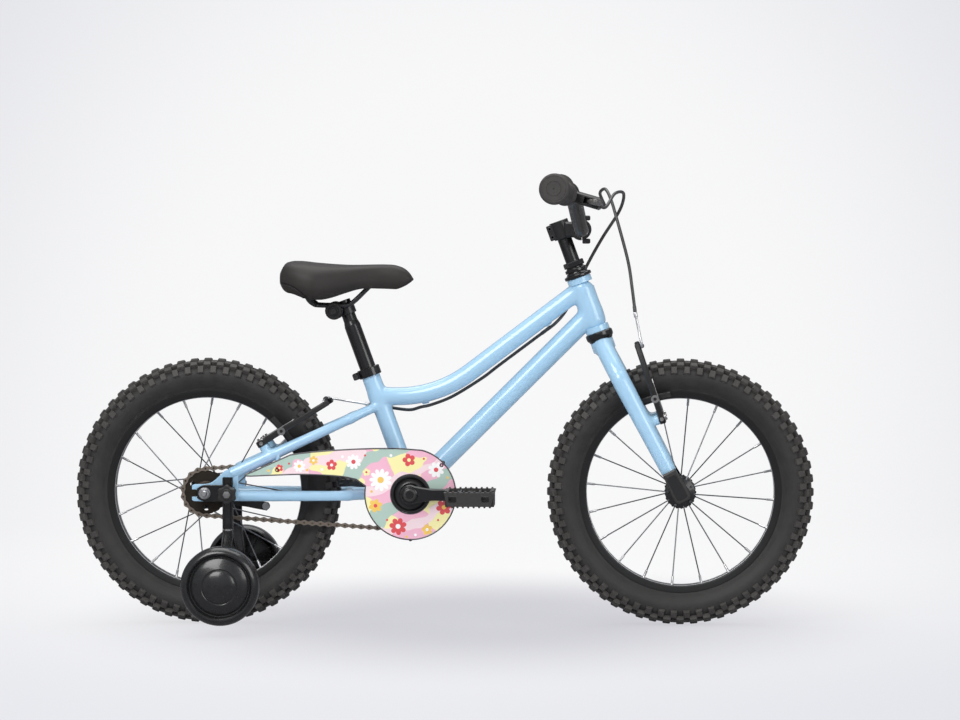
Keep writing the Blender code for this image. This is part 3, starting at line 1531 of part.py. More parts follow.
def seat_collar():
    """A split ring on the seat tube's top with an ear and bolt behind."""
    inner = SEAT_TUBE_RADIUS + FIT
    outer = inner + 0.0033
    body = drum(SEAT_TUBE_TOP, SEAT_UP, outer, 0.0015, -0.0125, 12)
    back = Vector((-SEAT_UP.z, 0.0, SEAT_UP.x))
    turn = Matrix((back, LEFT, SEAT_UP)).transposed()
    middle = SEAT_TUBE_TOP - SEAT_UP * 0.0055
    ears = block(middle + back * (outer + 0.003), (0.012, 0.018, 0.011), turn, 0.0015)
    slit = block(middle + back * (outer + 0.004), (0.020, 0.002, 0.030), turn)
    lip = rod(SEAT_TUBE_TOP - SEAT_UP * 0.03, SEAT_TUBE_TOP + SEAT_UP * FIT, inner, 16)
    post = rod(SEAT_TUBE_TOP - SEAT_UP * 0.03, SEAT_TUBE_TOP + SEAT_UP * 0.03, POST_RADIUS + FIT, 16)
    return finish(cut(union(body, ears), slit, lip, post), "seat_collar", BLACK_PAINT)


def seatpost():
    neck = POST_SHOWN - 0.035
    profile = [
        (0, POST_SHOWN),
        (POST_TOP_RADIUS, POST_SHOWN),
        (POST_TOP_RADIUS, neck),
        (POST_RADIUS, neck - 0.006),
        (POST_RADIUS, POST_SHOWN - POST_LENGTH),
        (POST_RADIUS - 0.002, POST_SHOWN - POST_LENGTH),
        (POST_RADIUS - 0.002, neck - 0.030),
        (0, neck - 0.030),
    ]
    return finish(turned(SEAT_TUBE_TOP, SEAT_UP, profile, 16), "seatpost", BLACK_PAINT, POST)


def saddle_clamp():
    """The band on the post's top and the round barrel behind it that the saddle tilts on."""
    top = POST_TOP - SEAT_UP * 0.014
    band = drum(top, SEAT_UP, POST_TOP_RADIUS + 0.0030, 0.009, -0.009, 12)
    barrel = drum(SADDLE_PIVOT, LEFT, 0.0125, 0.0150, -0.0150, 12)
    hole = rod(top - SEAT_UP * 0.03, top + SEAT_UP * 0.03, POST_TOP_RADIUS + FIT, 16)
    neck = block((top + SADDLE_PIVOT) / 2 - Vector((0.003, 0.0, 0.0)), (0.016, 0.020, 0.016))
    pin_hole = (TILT_BOLT_RADIUS + FIT) / math.cos(math.pi / 6)
    bore = rod(SADDLE_PIVOT - LEFT * 0.03, SADDLE_PIVOT + LEFT * 0.03, pin_hole, 6)
    return finish(cut(union(band, neck, barrel), hole, bore), "saddle_clamp", BLACK_PAINT, POST)


def rail_points(side):
    gap = RAIL_HALF_GAP * side
    ceiling = SADDLE_TOP - PAD_DEPTH - BASE_THICKNESS - RAIL_RADIUS - 2 * FIT
    rise = ceiling - SADDLE_PIVOT.z
    return [
        SADDLE_PIVOT + Vector((-0.0430, gap * 1.70, 0.0280)),
        SADDLE_PIVOT + Vector((-0.0390, gap * 1.60, 0.0180)),
        SADDLE_PIVOT + Vector((-0.0320, gap * 1.30, 0.0110)),
        SADDLE_PIVOT + Vector((-0.0230, gap, 0.0085)),
        SADDLE_PIVOT + Vector((0.0140, gap, 0.0085)),
        SADDLE_PIVOT + Vector((0.0285, gap * 0.85, 0.0130)),
        SADDLE_PIVOT + Vector((0.0600, gap * 0.45, rise - 0.0008)),
        SADDLE_PIVOT + Vector((0.0700, gap * 0.28, rise - 0.0008)),
        SADDLE_PIVOT + Vector((0.0730, 0.0, rise - 0.0008)),
    ]


def saddle_rails():
    """One steel wire bent round under the nose, with the two cheeks and the bolt that hold it."""
    left = rail_points(1)
    right = [mirrored(place, -1) for place in reversed(left)]
    wire = tube(left + right[1:], RAIL_RADIUS, 1)
    cheeks = []
    for _, side in SIDES:
        start = SADDLE_PIVOT + LEFT * side * (0.0150 + FIT)
        cheeks.append(rod(start, start + LEFT * side * 0.0120, 0.0140, 10))
    bolt = rod(SADDLE_PIVOT - LEFT * 0.034, SADDLE_PIVOT + LEFT * 0.034, TILT_BOLT_RADIUS, 6)
    return finish(union(wire, *cheeks, bolt), "saddle_rails", DARK_STEEL, SADDLE)


SADDLE_CROWN = [
    (0.0, 0.0150),
    (0.03, 0.0045),
    (0.07, 0.0006),
    (0.12, 0.0),
    (0.27, 0.0028),
    (0.38, 0.0046),
    (0.52, 0.0060),
    (0.78, 0.0052),
    (0.88, 0.0072),
    (0.95, 0.0140),
    (0.98, 0.0205),
    (1.0, 0.0270),
]
SADDLE_FOOT = [
    (0.0, 0.0355),
    (0.03, 0.0440),
    (0.11, 0.0503),
    (0.22, 0.0580),
    (0.32, 0.0590),
    (0.38, 0.0568),
    (0.50, 0.0490),
    (0.60, 0.0432),
    (0.76, 0.0427),
    (0.88, 0.0435),
    (0.95, 0.0375),
    (1.0, 0.0300),
]


def saddle_half_width(share):
    """Half the saddle's width at a share of its length from the tail."""
    rear = SADDLE_WIDTH / 2
    if share < 0.24:
        return rear * (0.66 + 0.34 * math.sin(math.pi / 2 * share / 0.24) ** 0.8)
    fall = min((share - 0.24) / 0.56, 1.0)
    nose = max(share - 0.88, 0.0) / 0.12
    return rear * (1.0 - 0.69 * math.sin(math.pi / 2 * fall) ** 1.6) * (1.0 - 0.35 * nose**2)


def saddle_height(share):
    """How far the saddle's crown and the foot of its skirt lie below its highest point."""
    return SADDLE_TOP - between(SADDLE_CROWN, share), SADDLE_TOP - between(SADDLE_FOOT, share)


def saddle_section(share):
    """One cross section, as (y, z): over the top from foot to foot, then back through the hollow."""
    half = saddle_half_width(share)
    crown, foot = saddle_height(share)
    tall = crown - foot
    outer = [
        (half * 0.90, foot),
        (half, foot + tall * 0.34),
        (half * 0.96, foot + tall * 0.66),
        (half * 0.78, foot + tall * 0.90),
        (half * 0.40, foot + tall * 0.99),
    ]
    wall = SKIRT_WALL
    ceiling = SADDLE_TOP - PAD_DEPTH
    if share < 0.07 or share > 0.90:
        ceiling = foot + 0.0015
    inner = [(half * 0.90 - wall, foot), (half * 0.94 - wall, ceiling)]
    over = outer + [(0.0, crown)] + [(-y, z) for y, z in reversed(outer)]
    return over + [(-y, z) for y, z in inner] + [(y, z) for y, z in reversed(inner)]


def saddle_pad():
    """The padded top and its skirt, lofted from tail to nose and hollow underneath."""
    shares = [0.0, 0.03, 0.065, 0.075, 0.16, 0.27, 0.38, 0.50, 0.62, 0.76, 0.88, 0.95, 0.98, 1.0]
    rear = SADDLE_PIVOT.x - SADDLE_TAIL
    shape = bmesh.new()
    rings = []
    for share in shares:
        x = rear + SADDLE_LENGTH * share
        rings.append([shape.verts.new((x, y, z)) for y, z in saddle_section(share)])
    count = len(rings[0])
    for first, second in zip(rings, rings[1:]):
        for j in range(count):
            k = (j + 1) % count
            shape.faces.new((first[j], first[k], second[k], second[j]))
    shape.faces.new(rings[0][::-1])
    shape.faces.new(rings[-1])
    bmesh.ops.recalc_face_normals(shape, faces=shape.faces)
    mesh = bpy.data.meshes.new("saddle_pad")
    shape.to_mesh(mesh)
    shape.free()
    return finish(add_object("saddle", mesh), "saddle_pad", SADDLE_SKIN, SADDLE, 60)


def saddle_base():
    """The moulded plate inside the pad, with two rear sockets for the ends of the rails."""
    top = SADDLE_TOP - PAD_DEPTH - FIT
    outline = []
    for i in range(7):
        share = 0.090 + 0.73 * i / 6
        y = saddle_half_width(share) * 0.90 - SKIRT_WALL - 0.002
        outline.append((SADDLE_LENGTH * share - SADDLE_TAIL, y))
    outline += [(x, -y) for x, y in reversed(outline)]
    place = Vector((SADDLE_PIVOT.x, 0.0, top - BASE_THICKNESS / 2))
    base = plate([outline], BASE_THICKNESS, place, Vector((1, 0, 0)), LEFT)
    sockets = []
    bores = []
    for _, side in SIDES:
        end, knee = rail_points(side)[:2]
        run = (end - knee).normalized()
        sockets.append(rod(end - run * 0.006, end + run * 0.026, 0.0080, 8))
        bores.append(rod(end - run * 0.012, end + run * FIT, RAIL_RADIUS + FIT, 8))
    above = block(place + UP * (BASE_THICKNESS / 2 + 0.02), (0.30, 0.20, 0.04))
    whole = cut(union(base, *sockets), above, *bores)
    return finish(whole, "saddle_base", BLACK_PLASTIC, SADDLE)


# Stabilisers


def stabiliser_bracket(name, side):
    """A plate on the axle and the bent channel leg that it clamps, ending in the wheel's bolt."""
    outward = LEFT * side
    plane = DROPOUT_INNER + DROPOUT_THICKNESS + FIT
    ahead = STABILISER_AXLE_X - REAR_AXLE.x
    middle = [(-0.012, 0.0), (0.0, 0.0), (ahead, 0.0), (ahead + 0.010, 0.0)]
    outline = ribbon(middle, [0.016, 0.026, 0.026, 0.018])
    hole = circle(0.0, 0.0, AXLE_RADIUS + FIT, 10)
    place = REAR_AXLE + outward * (plane + BRACKET_THICKNESS / 2)
    base = plate([outline, hole], BRACKET_THICKNESS, place, Vector((1, 0, 0)), UP)
    x = STABILISER_AXLE_X
    leg_line = [
        (LEG_PLANE - 0.004, AXLE_HEIGHT + 0.026),
        (LEG_PLANE - 0.004, AXLE_HEIGHT - 0.045),
        (LEG_PLANE + 0.004, AXLE_HEIGHT - 0.066),
        (STABILISER_TRACK - 0.047, STABILISER_AXLE_Z + 0.018),
        (STABILISER_TRACK - 0.030, STABILISER_AXLE_Z + 0.009),
        (STABILISER_TRACK - 0.026, STABILISER_AXLE_Z - 0.010),
    ]
    leg_widths = [0.010, 0.010, 0.0105, 0.0105, 0.0085, 0.0060]
    leg = plate([ribbon(leg_line, leg_widths)], LEG_WIDTH, Vector((x, 0.0, 0.0)), outward, UP)
    wheel_face = STABILISER_TRACK - STABILISER_WIDTH / 2
    start = Vector((x, side * (STABILISER_TRACK - 0.028), STABILISER_AXLE_Z))
    bolt = rod(start, start + outward * 0.040, AXLE_RADIUS, 8)
    spacer = rod(start, Vector((x, side * (wheel_face + 0.0055), STABILISER_AXLE_Z)), 0.0080, 8)
    tie = rod(
        Vector((x, side * (plane + 0.001), AXLE_HEIGHT)),
        Vector((x, side * LEG_PLANE, AXLE_HEIGHT)),
        0.0060,
        8,
    )
    return finish(union(base, tie, leg, bolt, spacer), name, BLACK_PAINT)


def stabiliser_knob(name, side):
    """The six-lobed hand screw that holds the leg at its height."""
    outline = []
    for i in range(12):
        radius = KNOB_RADIUS if i % 2 else KNOB_RADIUS - 0.0025
        angle = 2 * math.pi * i / 12
        outline.append((radius * math.cos(angle), radius * math.sin(angle)))
    face = LEG_PLANE + 0.001 + FIT
    place = Vector((STABILISER_AXLE_X, side * (face + 0.0075), AXLE_HEIGHT))
    body = plate([outline], 0.013, place + LEFT * side * 0.001, Vector((1, 0, 0)), UP)
    cap = rod(place, place + LEFT * side * 0.011, 0.0085, 10)
    foot = rod(place - LEFT * side * 0.0075, place, 0.0080, 8)
    return finish(union(body, cap, foot), name, BLACK_PLASTIC)


def stabiliser_wheel(name, side):
    """A moulded wheel: domed and stepped outside, hollow behind, on a plain bore."""
    centre = Vector((STABILISER_AXLE_X, side * STABILISER_TRACK, STABILISER_AXLE_Z))
    half = STABILISER_WIDTH / 2
    bore = AXLE_RADIUS + FIT
    radius = STABILISER_RADIUS
    profile = [
        (0.0, half + 0.004),
        (0.0255, half - 0.001),
        (0.0450, half - 0.008),
        (radius - 0.008, half - 0.002),
        (radius, half - 0.009),
        (radius, -half + 0.006),
        (radius - 0.006, -half),
        (radius - 0.014, 0.006),
        (0.0120, 0.004),
        (0.0120, -half + 0.006),
        (bore, -half + 0.006),
        (bore, half - 0.004),
        (0.0, half - 0.004),
    ]
    parent = axis_empty(name + "_axis", centre, LEFT)
    return finish(turned(centre, LEFT * side, profile, 15), name, GLOSS_PLASTIC, parent)


# Assembly


def build():
    for name, axle, parent in (("front", FRONT_AXLE, FRONT_WHEEL), ("rear", REAR_AXLE, REAR_WHEEL)):
        tyre(name + "_tyre", axle, parent)
        rim(name + "_rim", axle, parent)
    front_hub()
    rear_hub()
    front_axle()
    rear_axle()
    chain()
    chainring()
    rear_cog()
    coaster_arm()
    bottom_bracket()
    crank_spindle()
    chainguard()
    frame()
    fork()
    headset()
    quill()
    stem()
    stem_faceplate()
    handlebar()
    for name, side in SIDES:
        crank_arm("crank_arm_" + name, side)
        pedal("pedal_" + name, side)
        grip("grip_" + name, side)
        lever_bracket("lever_bracket_" + name, side)
        lever_blade("lever_blade_" + name, side)
        fork_cover("fork_cover_" + name, side)
        brake_arm("front_brake_arm_" + name, FRONT_BRAKE, side, 1, STEERING)
        brake_arm("rear_brake_arm_" + name, REAR_BRAKE, side, -1, None)
        brake_pad("front_pad_" + name, FRONT_BRAKE, side, FRONT_PAD_REACH, FRONT_AXLE)
        brake_pad("rear_pad_" + name, REAR_BRAKE, side, REAR_PAD_REACH, REAR_AXLE)
        stabiliser_bracket("stabiliser_bracket_" + name, side)
        stabiliser_knob("stabiliser_knob_" + name, side)
        stabiliser_wheel("stabiliser_wheel_" + name, side)
    noodle("front_noodle", -1, FRONT_NOODLE, "front_brake_arm_right")
    noodle("rear_noodle", 1, REAR_NOODLE, "rear_brake_arm_left")
    rear_cable_housing()
    front_cable_housing()
    seat_collar()
    seatpost()
    saddle_clamp()
    saddle_rails()
    saddle_base()
    saddle_pad()


build()
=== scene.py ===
"""The looks of a kids bike: painted steel on knobby 16-inch tyres, with stabilisers.

Units are metres. The bike points along +X, its drive side is -Y, and the ground is Z = 0.
"""

import math

import bmesh
import bpy
import numpy as np
from mathutils import Matrix, Vector


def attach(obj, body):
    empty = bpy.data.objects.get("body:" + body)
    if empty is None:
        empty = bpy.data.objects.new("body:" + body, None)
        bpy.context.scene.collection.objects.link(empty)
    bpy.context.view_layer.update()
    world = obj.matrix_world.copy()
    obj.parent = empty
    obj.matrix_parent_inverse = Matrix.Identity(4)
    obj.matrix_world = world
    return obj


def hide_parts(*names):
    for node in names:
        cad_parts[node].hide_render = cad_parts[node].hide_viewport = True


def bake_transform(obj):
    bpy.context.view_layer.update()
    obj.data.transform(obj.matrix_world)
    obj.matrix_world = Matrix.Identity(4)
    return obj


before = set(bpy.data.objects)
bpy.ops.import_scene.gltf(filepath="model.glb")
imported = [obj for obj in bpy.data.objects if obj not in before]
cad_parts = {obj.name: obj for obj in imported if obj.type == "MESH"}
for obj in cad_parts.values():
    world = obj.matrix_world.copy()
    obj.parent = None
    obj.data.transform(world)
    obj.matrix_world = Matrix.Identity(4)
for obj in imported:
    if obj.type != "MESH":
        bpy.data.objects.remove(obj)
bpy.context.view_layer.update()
scene = bpy.context.scene
scene.view_settings.view_transform = "Standard"

# The picture: a camera with a long lens, a little ahead of the drive side and above the bike, and
# a pale sweep of paper under and behind it, lit by three large soft boxes. The paper's glow carries
# painted light: it is brightest behind the bike and greyer toward its edges, it has a painted shadow
# pool under the bike, and it shows a dim painted grey where it is seen in reflections.

lens = bpy.data.cameras.new("camera")
lens.lens = 149.13
lens.sensor_width = 36.0
camera = bpy.data.objects.new("camera", lens)
camera.location = (0.278, -6.200, 0.690)
aim = Vector((0.0553, 0, 0.4129)) - camera.location
camera.rotation_euler = aim.to_track_quat("-Z", "Y").to_euler()
scene.collection.objects.link(camera)
scene.camera = camera


def rgb(red, green, blue):
    """A screen colour, 0 to 255, as the shader's own linear colour."""
    screen = [value / 255 for value in (red, green, blue)]
    return [v / 12.92 if v <= 0.04045 else ((v + 0.055) / 1.055) ** 2.4 for v in screen] + [1.0]


class Shade:
    """A socket of a finish. Plain sums on it add Math nodes to that finish."""

    def __init__(self, finish, socket):
        self.finish = finish
        self.socket = socket

    def math(self, operation, *values):
        return self.finish.node("Math", {"operation": operation}, dict(enumerate(values)))

    def __add__(self, other):
        return self.math("ADD", self, other)

    def __radd__(self, other):
        return self.math("ADD", other, self)

    def __sub__(self, other):
        return self.math("SUBTRACT", self, other)

    def __rsub__(self, other):
        return self.math("SUBTRACT", other, self)

    def __mul__(self, other):
        return self.math("MULTIPLY", self, other)

    def __rmul__(self, other):
        return self.math("MULTIPLY", other, self)

    def __truediv__(self, other):
        return self.math("DIVIDE", self, other)

    def __pow__(self, other):
        return self.math("POWER", self, other)

    def sine(self):
        return self.math("SINE", self)

    def over(self, low, high):
        """0 where this is low, 1 where it is high, and a soft rise between them."""
        return self.finish.node(
            "MapRange",
            {"interpolation_type": "SMOOTHSTEP"},
            {"Value": self, "From Min": low, "From Max": high},
        )


class Finish:
    """A Principled material, whose sockets take plain values or shades."""

    def __init__(self, name, sockets):
        self.material = bpy.data.materials.new(name)
        self.material.use_nodes = True
        self.tree = self.material.node_tree
        self.shader = self.tree.nodes["Principled BSDF"]
        self.at = self.node("TexCoord", {}, {}, "Object")
        self.feed(self.shader, sockets)

    def feed(self, node, sockets):
        for key, value in sockets.items():
            if isinstance(value, Shade):
                self.tree.links.new(value.socket, node.inputs[key])
            else:
                node.inputs[key].default_value = value

    def node(self, kind, settings, sockets, output=0):
        made = self.tree.nodes.new("ShaderNode" + kind)
        for key, value in settings.items():
            setattr(made, key, value)
        self.feed(made, sockets)
        return Shade(self, made.outputs[output])

    def surface(self, **sockets):
        self.feed(self.shader, {key.replace("_", " "): value for key, value in sockets.items()})

    def axis(self, which):
        return self.node("SeparateXYZ", {}, {0: self.at}, which)

    def noise(self, scale, detail=3.0, at=None):
        return self.node("TexNoise", {}, {"Vector": at or self.at, "Scale": scale, "Detail": detail})

    def mix(self, factor, first, second):
        return self.node("Mix", {"data_type": "RGBA"}, {0: factor, 6: first, 7: second}, 2)

    def bump(self, height, depth, strength=1.0):
        return self.node("Bump", {}, {"Height": height, "Distance": depth, "Strength": strength})


def paper_sweep():
    """A strip of paper: flat on the ground, one wide bend, then straight up behind."""
    line = [(-14.0, 0.0), (1.6, 0.0)]
    for i in range(1, 13):
        angle = math.radians(90) * i / 12
        line.append((1.6 + 1.2 * math.sin(angle), 1.2 - 1.2 * math.cos(angle)))
    line.append((2.8, 6.0))
    points = [(x, y, z - 0.0004) for y, z in line for x in (-20.0, 20.0)]
    faces = [(2 * i, 2 * i + 1, 2 * i + 3, 2 * i + 2) for i in range(len(line) - 1)]
    mesh = bpy.data.meshes.new("paper")
    mesh.from_pydata(points, [], faces)
    mesh.shade_smooth()
    return bpy.data.objects.new("paper", mesh)


paper = paper_sweep()
scene.collection.objects.link(paper)
paper_finish = Finish("paper", {"Roughness": 0.9, "Base Color": rgb(226, 226, 230)})
# Painted light on the paper: its glow is brightest behind the bike and greys toward the edges.
side = paper_finish.axis(0) + 0.046
depth = paper_finish.axis(1)
low = paper_finish.axis(2) - 0.31 - depth.over(1.6, -1.4) * 1.05
away = (side * side + low * low) ** 0.5
glow = paper_finish.mix(away.over(0.55, 1.75), rgb(251, 251, 251), rgb(224, 225, 231))
# A painted shadow pool: the paper's glow greys in a soft patch under the bike.
painted_shadow_x = (paper_finish.axis(0) - 0.06) * 1.6
painted_shadow_y = (depth - 0.05) * 1.3
painted_shadow = (painted_shadow_x * painted_shadow_x + painted_shadow_y * painted_shadow_y) ** 0.5
glow = paper_finish.mix(painted_shadow.over(1.15, 0.30), glow, rgb(208, 208, 214))
seen = paper_finish.node("LightPath", {}, {}, "Is Camera Ray")
mirrored_ray = paper_finish.node("LightPath", {}, {}, "Is Glossy Ray")
through_ray = paper_finish.node("LightPath", {}, {}, "Is Transmission Ray")
# Painted reflection: seen in glossy reflections, the paper shows a dim grey instead of its white.
glow = paper_finish.mix(mirrored_ray, glow, rgb(124, 124, 128))
light = paper_finish.node("Emission", {}, {"Color": glow, "Strength": 1.0})
share = (seen + mirrored_ray + through_ray) * 0.88
matt = Shade(paper_finish, paper_finish.shader.outputs[0])
lit = paper_finish.node("MixShader", {}, {0: share, 1: matt, 2: light})
behind = paper_finish.node("NewGeometry", {}, {}, "Backfacing")
clear = paper_finish.node("BsdfTransparent", {}, {})
whole = paper_finish.node("MixShader", {}, {0: behind, 1: lit, 2: clear})
paper_finish.tree.links.new(whole.socket, paper_finish.tree.nodes["Material Output"].inputs["Surface"])
paper.data.materials.append(paper_finish.material)

world = bpy.data.worlds.new("room")
scene.world = world
world.use_nodes = True
world.node_tree.nodes["Background"].inputs["Color"].default_value = (0.93, 0.95, 1.0, 1.0)
world.node_tree.nodes["Background"].inputs["Strength"].default_value = 0.42

for name, place, aim, size, power in (
    ("key", (-1.3, -2.6, 2.4), (0.0, 0.0, 0.3), 1.8, 62.0),
    ("fill", (2.4, -2.4, 1.4), (0.0, 0.0, 0.3), 1.6, 26.0),
    ("top", (0.0, 0.4, 2.6), (0.0, 0.0, 0.3), 2.4, 44.0),
):
    box = bpy.data.lights.new(name, "AREA")
    box.size = size
    box.energy = power
    holder = bpy.data.objects.new(name, box)
    holder.location = place
    holder.rotation_euler = (Vector(aim) - Vector(place)).to_track_quat("-Z", "Y").to_euler()
    scene.collection.objects.link(holder)

# Tyres: black rubber, moulded with a smooth sidewall and, across the tread, blocks in pairs that
# step from the middle to the shoulder. The carcass and the blocks are two pieces for one solid. The
# blocks' rubber is coloured lighter than the carcass's as a painted highlight, and the carcass is
# painted darker toward the tread as painted shade between the blocks.

UP = Vector((0, 0, 1))
LEFT = Vector((0, 1, 0))
front_axle = Vector((0.368, 0, 0.208))
rear_axle = Vector((-0.370, 0, 0.208))


def axes_about(axis):
    """Two unit vectors square to an axis and to each other."""
    axis = Vector(axis).normalized()
    first = axis.cross(UP if abs(axis.z) < 0.9 else LEFT).normalized()
    return np.array(first), np.array(axis.cross(first)), np.array(axis)


def curve(points, parts):
    """Points along a smooth curve that passes through the given ones."""
    given = np.array([tuple(p) for p in points], float)
    padded = np.vstack([2 * given[0] - given[1], given, 2 * given[-1] - given[-2]])
    found = []
    for a, b, c, d in zip(padded, padded[1:], padded[2:], padded[3:]):
        for t in np.arange(parts) / parts:
            rise = (c - a) + (2 * a - 5 * b + 4 * c - d) * t + (3 * b - a - 3 * c + d) * t * t
            found.append(b + 0.5 * t * rise)
    return np.array(found + [given[-1]])


def quads(rows, columns, round_rows=False):
    """The faces of a grid of points whose rows close on themselves."""
    faces = []
    for i in range(rows if round_rows else rows - 1):
        for j in range(columns):
            k = (j + 1) % columns
            n = (i + 1) % rows
            faces.append((i * columns + j, i * columns + k, n * columns + k, n * columns + j))
    return faces


def turned(centre, axis, profile, steps, ring=False):
    """A profile of (radius, distance along the axis) turned about that axis."""
    across, upward, along = axes_about(axis)
    angles = np.arange(steps) * 2 * math.pi / steps
    circle = np.cos(angles)[:, None] * across + np.sin(angles)[:, None] * upward
    points = [np.array(centre) + radius * circle + distance * along for radius, distance in profile]
    return np.vstack(points), quads(len(profile), steps, ring)


def both(profile):
    """A half profile, from one side's edge to the middle plane, and its mirror."""
    return list(profile) + [(r, -y) for r, y in list(profile)[::-1] if y]


def gathered(forms):
    """Many closed forms as one: their points, no loose edges, and their faces."""
    points = []
    faces = []
    for form_points, form_faces in forms:
        start = len(points)
        points += [tuple(p) for p in form_points]
        faces += [tuple(i + start for i in face) for face in form_faces]
    return points, [], faces


def closed_mesh(name, forms):
    """One mesh of closed forms, its doubled points joined and its faces turned outward."""
    mesh = bpy.data.meshes.new(name)
    mesh.from_pydata(*gathered(forms))
    shape = bmesh.new()
    shape.from_mesh(mesh)
    bmesh.ops.remove_doubles(shape, verts=shape.verts, dist=2e-6)
    bmesh.ops.recalc_face_normals(shape, faces=shape.faces)
    shape.to_mesh(mesh)
    shape.free()
    return mesh


def piece(name, forms, finish, crisp=32.0):
    """One object from closed forms, smooth except at edges sharper than crisp degrees."""
    mesh = closed_mesh(name, forms)
    mesh.shade_smooth()
    mesh.set_sharp_from_angle(angle=math.radians(crisp))
    obj = bpy.data.objects.new(name, mesh)
    scene.collection.objects.link(obj)
    obj.data.materials.append(finish.material)
    return obj


def fasten(made, body, node):
    """Hang a piece on the body that carries it, in place of the solid that it dresses."""
    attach(made, body)
    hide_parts(node)


def lug(spot, around, across, out, length, width, height):
    """A tread block: straight foot, then drawn in to its top, with chamfered edges."""
    points = []
    for share, rise in ((1.06, -0.0015), (1.0, height * 0.55), (0.94, height * 0.86), (0.80, height)):
        for i, j in ((-1, -1), (1, -1), (1, 1), (-1, 1)):
            side = around * (i * length / 2 * share) + across * (j * width / 2 * share)
            points.append(spot + side + out * rise)
    return points, quads(4, 4) + [(3, 2, 1, 0), (12, 13, 14, 15)]


def tyre(name, axle):
    """A tyre's carcass and its tread blocks, which stand square to the carcass's curve."""
    sidewall = [
        (0.1572, 0.0118), (0.1578, 0.0152), (0.1606, 0.0168), (0.1665, 0.0210), (0.1745, 0.0250),
        (0.1820, 0.0258), (0.1880, 0.0246), (0.1930, 0.0216), (0.1972, 0.0170), (0.1996, 0.0108),
        (0.2006, 0.0045),
    ]
    half = curve(sidewall, 3)
    profile = both([tuple(p) for p in half])
    forms = []
    rows = 60
    kinds = (
        (0.0045, 0.0, 0.0122, 0.0094, 0.0068),
        (0.0125, 0.5, 0.0100, 0.0068, 0.0046),
        (0.0185, 0.0, 0.0118, 0.0086, 0.0066),
        (0.0238, 0.5, 0.0098, 0.0118, 0.0036),
    )
    reach = half[:, 0]
    for width_at, phase, length, width, height in kinds:
        i = int(np.argmin(np.where(reach > 0.1835, abs(half[:, 1] - width_at), 9.0)))
        run = half[min(i + 1, len(half) - 1)] - half[i - 1]
        run /= np.linalg.norm(run)
        for row in range(rows):
            angle = 2 * math.pi * (row + phase) / rows
            radial = np.array((math.sin(angle), 0.0, -math.cos(angle)))
            around = np.array((math.cos(angle), 0.0, math.sin(angle)))
            for side in (-1, 1):
                spot = np.array(axle) + radial * half[i, 0] + np.array((0.0, side * half[i, 1], 0.0))
                across = radial * run[0] + np.array((0.0, side * run[1], 0.0))
                out = radial * -run[1] + np.array((0.0, side * run[0], 0.0))
                forms.append(lug(spot, around, across, out, length, width, height))
    made = []
    # Painted light: the lug tones are lighter than the carcass's as a painted highlight on the blocks, and
    # the carcass's dust fades out toward the tread, leaving it darker between the blocks as painted shade.
    for part, part_forms, plain, dusty_tone_with_painted_light in (
        ("_carcass", [turned(axle, LEFT, profile, 120, ring=True)], rgb(36, 34, 33), rgb(56, 54, 52)),
        ("_lugs", forms, rgb(46, 44, 42), rgb(78, 75, 72)),
    ):
        rubber = Finish(name + part, {"Specular IOR Level": 0.45})
        out_x = rubber.axis(0) - axle.x
        out_z = rubber.axis(2) - axle.z
        radius = (out_x * out_x + out_z * out_z) ** 0.5
        dust = rubber.noise(55.0, 5.0)
        grain = rubber.noise(900.0, 2.0)
        ribs = (radius * 5200.0).sine() * radius.over(0.1580, 0.1590) * (1 - radius.over(0.1640, 0.1655))
        dust_mask_with_carcass_gap_shade = dust * (1 - radius.over(0.1860, 0.1960)) if part == "_carcass" else dust
        rubber.surface(
            Base_Color=rubber.mix(dust_mask_with_carcass_gap_shade, plain, dusty_tone_with_painted_light),
            Roughness=0.48 + dust * 0.22,
            Normal=rubber.bump(ribs * 0.4 + grain, 0.0004, 0.5),
        )
        made.append(piece(name + part, part_forms, rubber, 28.0))
    return made


for end, axle in (("front", front_axle), ("rear", rear_axle)):
    for made in tyre(end + "_tyre", axle):
        fasten(made, end + "_wheel", end + "_tyre")

# Rims, spokes and hubs: black painted double-wall rims, stainless spokes with silver nipples, and
# hubs with black shells. The front spokes run straight out; the rear ones cross, with the coaster hub.
# A thin bright ring at each rim's inner edge is a painted highlight.


def tube(points, radius, steps=12):
    """A round bar along a line of points, with closed ends; radius is one value or one per point."""
    line = np.array([tuple(p) for p in points], float)
    radii = np.broadcast_to(np.array(radius, float), len(line))
    runs = np.gradient(line, axis=0)
    runs /= np.linalg.norm(runs, axis=1)[:, None]
    side = axes_about(runs[0])[0]
    angles = np.arange(steps) * 2 * math.pi / steps
    rows = []
    for spot, run, size in zip(line, runs, radii):
        side = side - run * side.dot(run)
        side /= np.linalg.norm(side)
        up = np.cross(run, side)
        circle = np.cos(angles)[:, None] * side + np.sin(angles)[:, None] * up
        rows.append(spot + circle * size)
    last = (len(line) - 1) * steps
    faces = quads(len(line), steps)
    faces += [tuple(range(steps))[::-1], tuple(range(last, last + steps))]
    return np.vstack(rows), faces


def drum(inner, outer, first, last, chamfer=0.0, along=0.0):
    """The profile of a round bar or a bush between two levels; along is a chamfer's other leg."""
    shy = outer - chamfer
    along = along or chamfer
    corners = [(shy, first), (outer, first + along), (outer, last - along), (shy, last)]
    return [(inner, first), *(corners if chamfer else corners[1:3]), (inner, last)]


def bolt_head(centre, axis, radius, height, steps=6, socket=0.5):
    """A bolt's head or a nut, with chamfered corners and a hollow in its top."""
    inner = radius * socket
    profile = [
        (0.0, 0.0),
        (radius, 0.0),
        (radius, height * 0.72),
        (radius * 0.9, height),
        (inner, height),
        (inner * 0.92, height * 0.45),
        (0.0, height * 0.40),
    ]
    return turned(centre, axis, profile, steps)


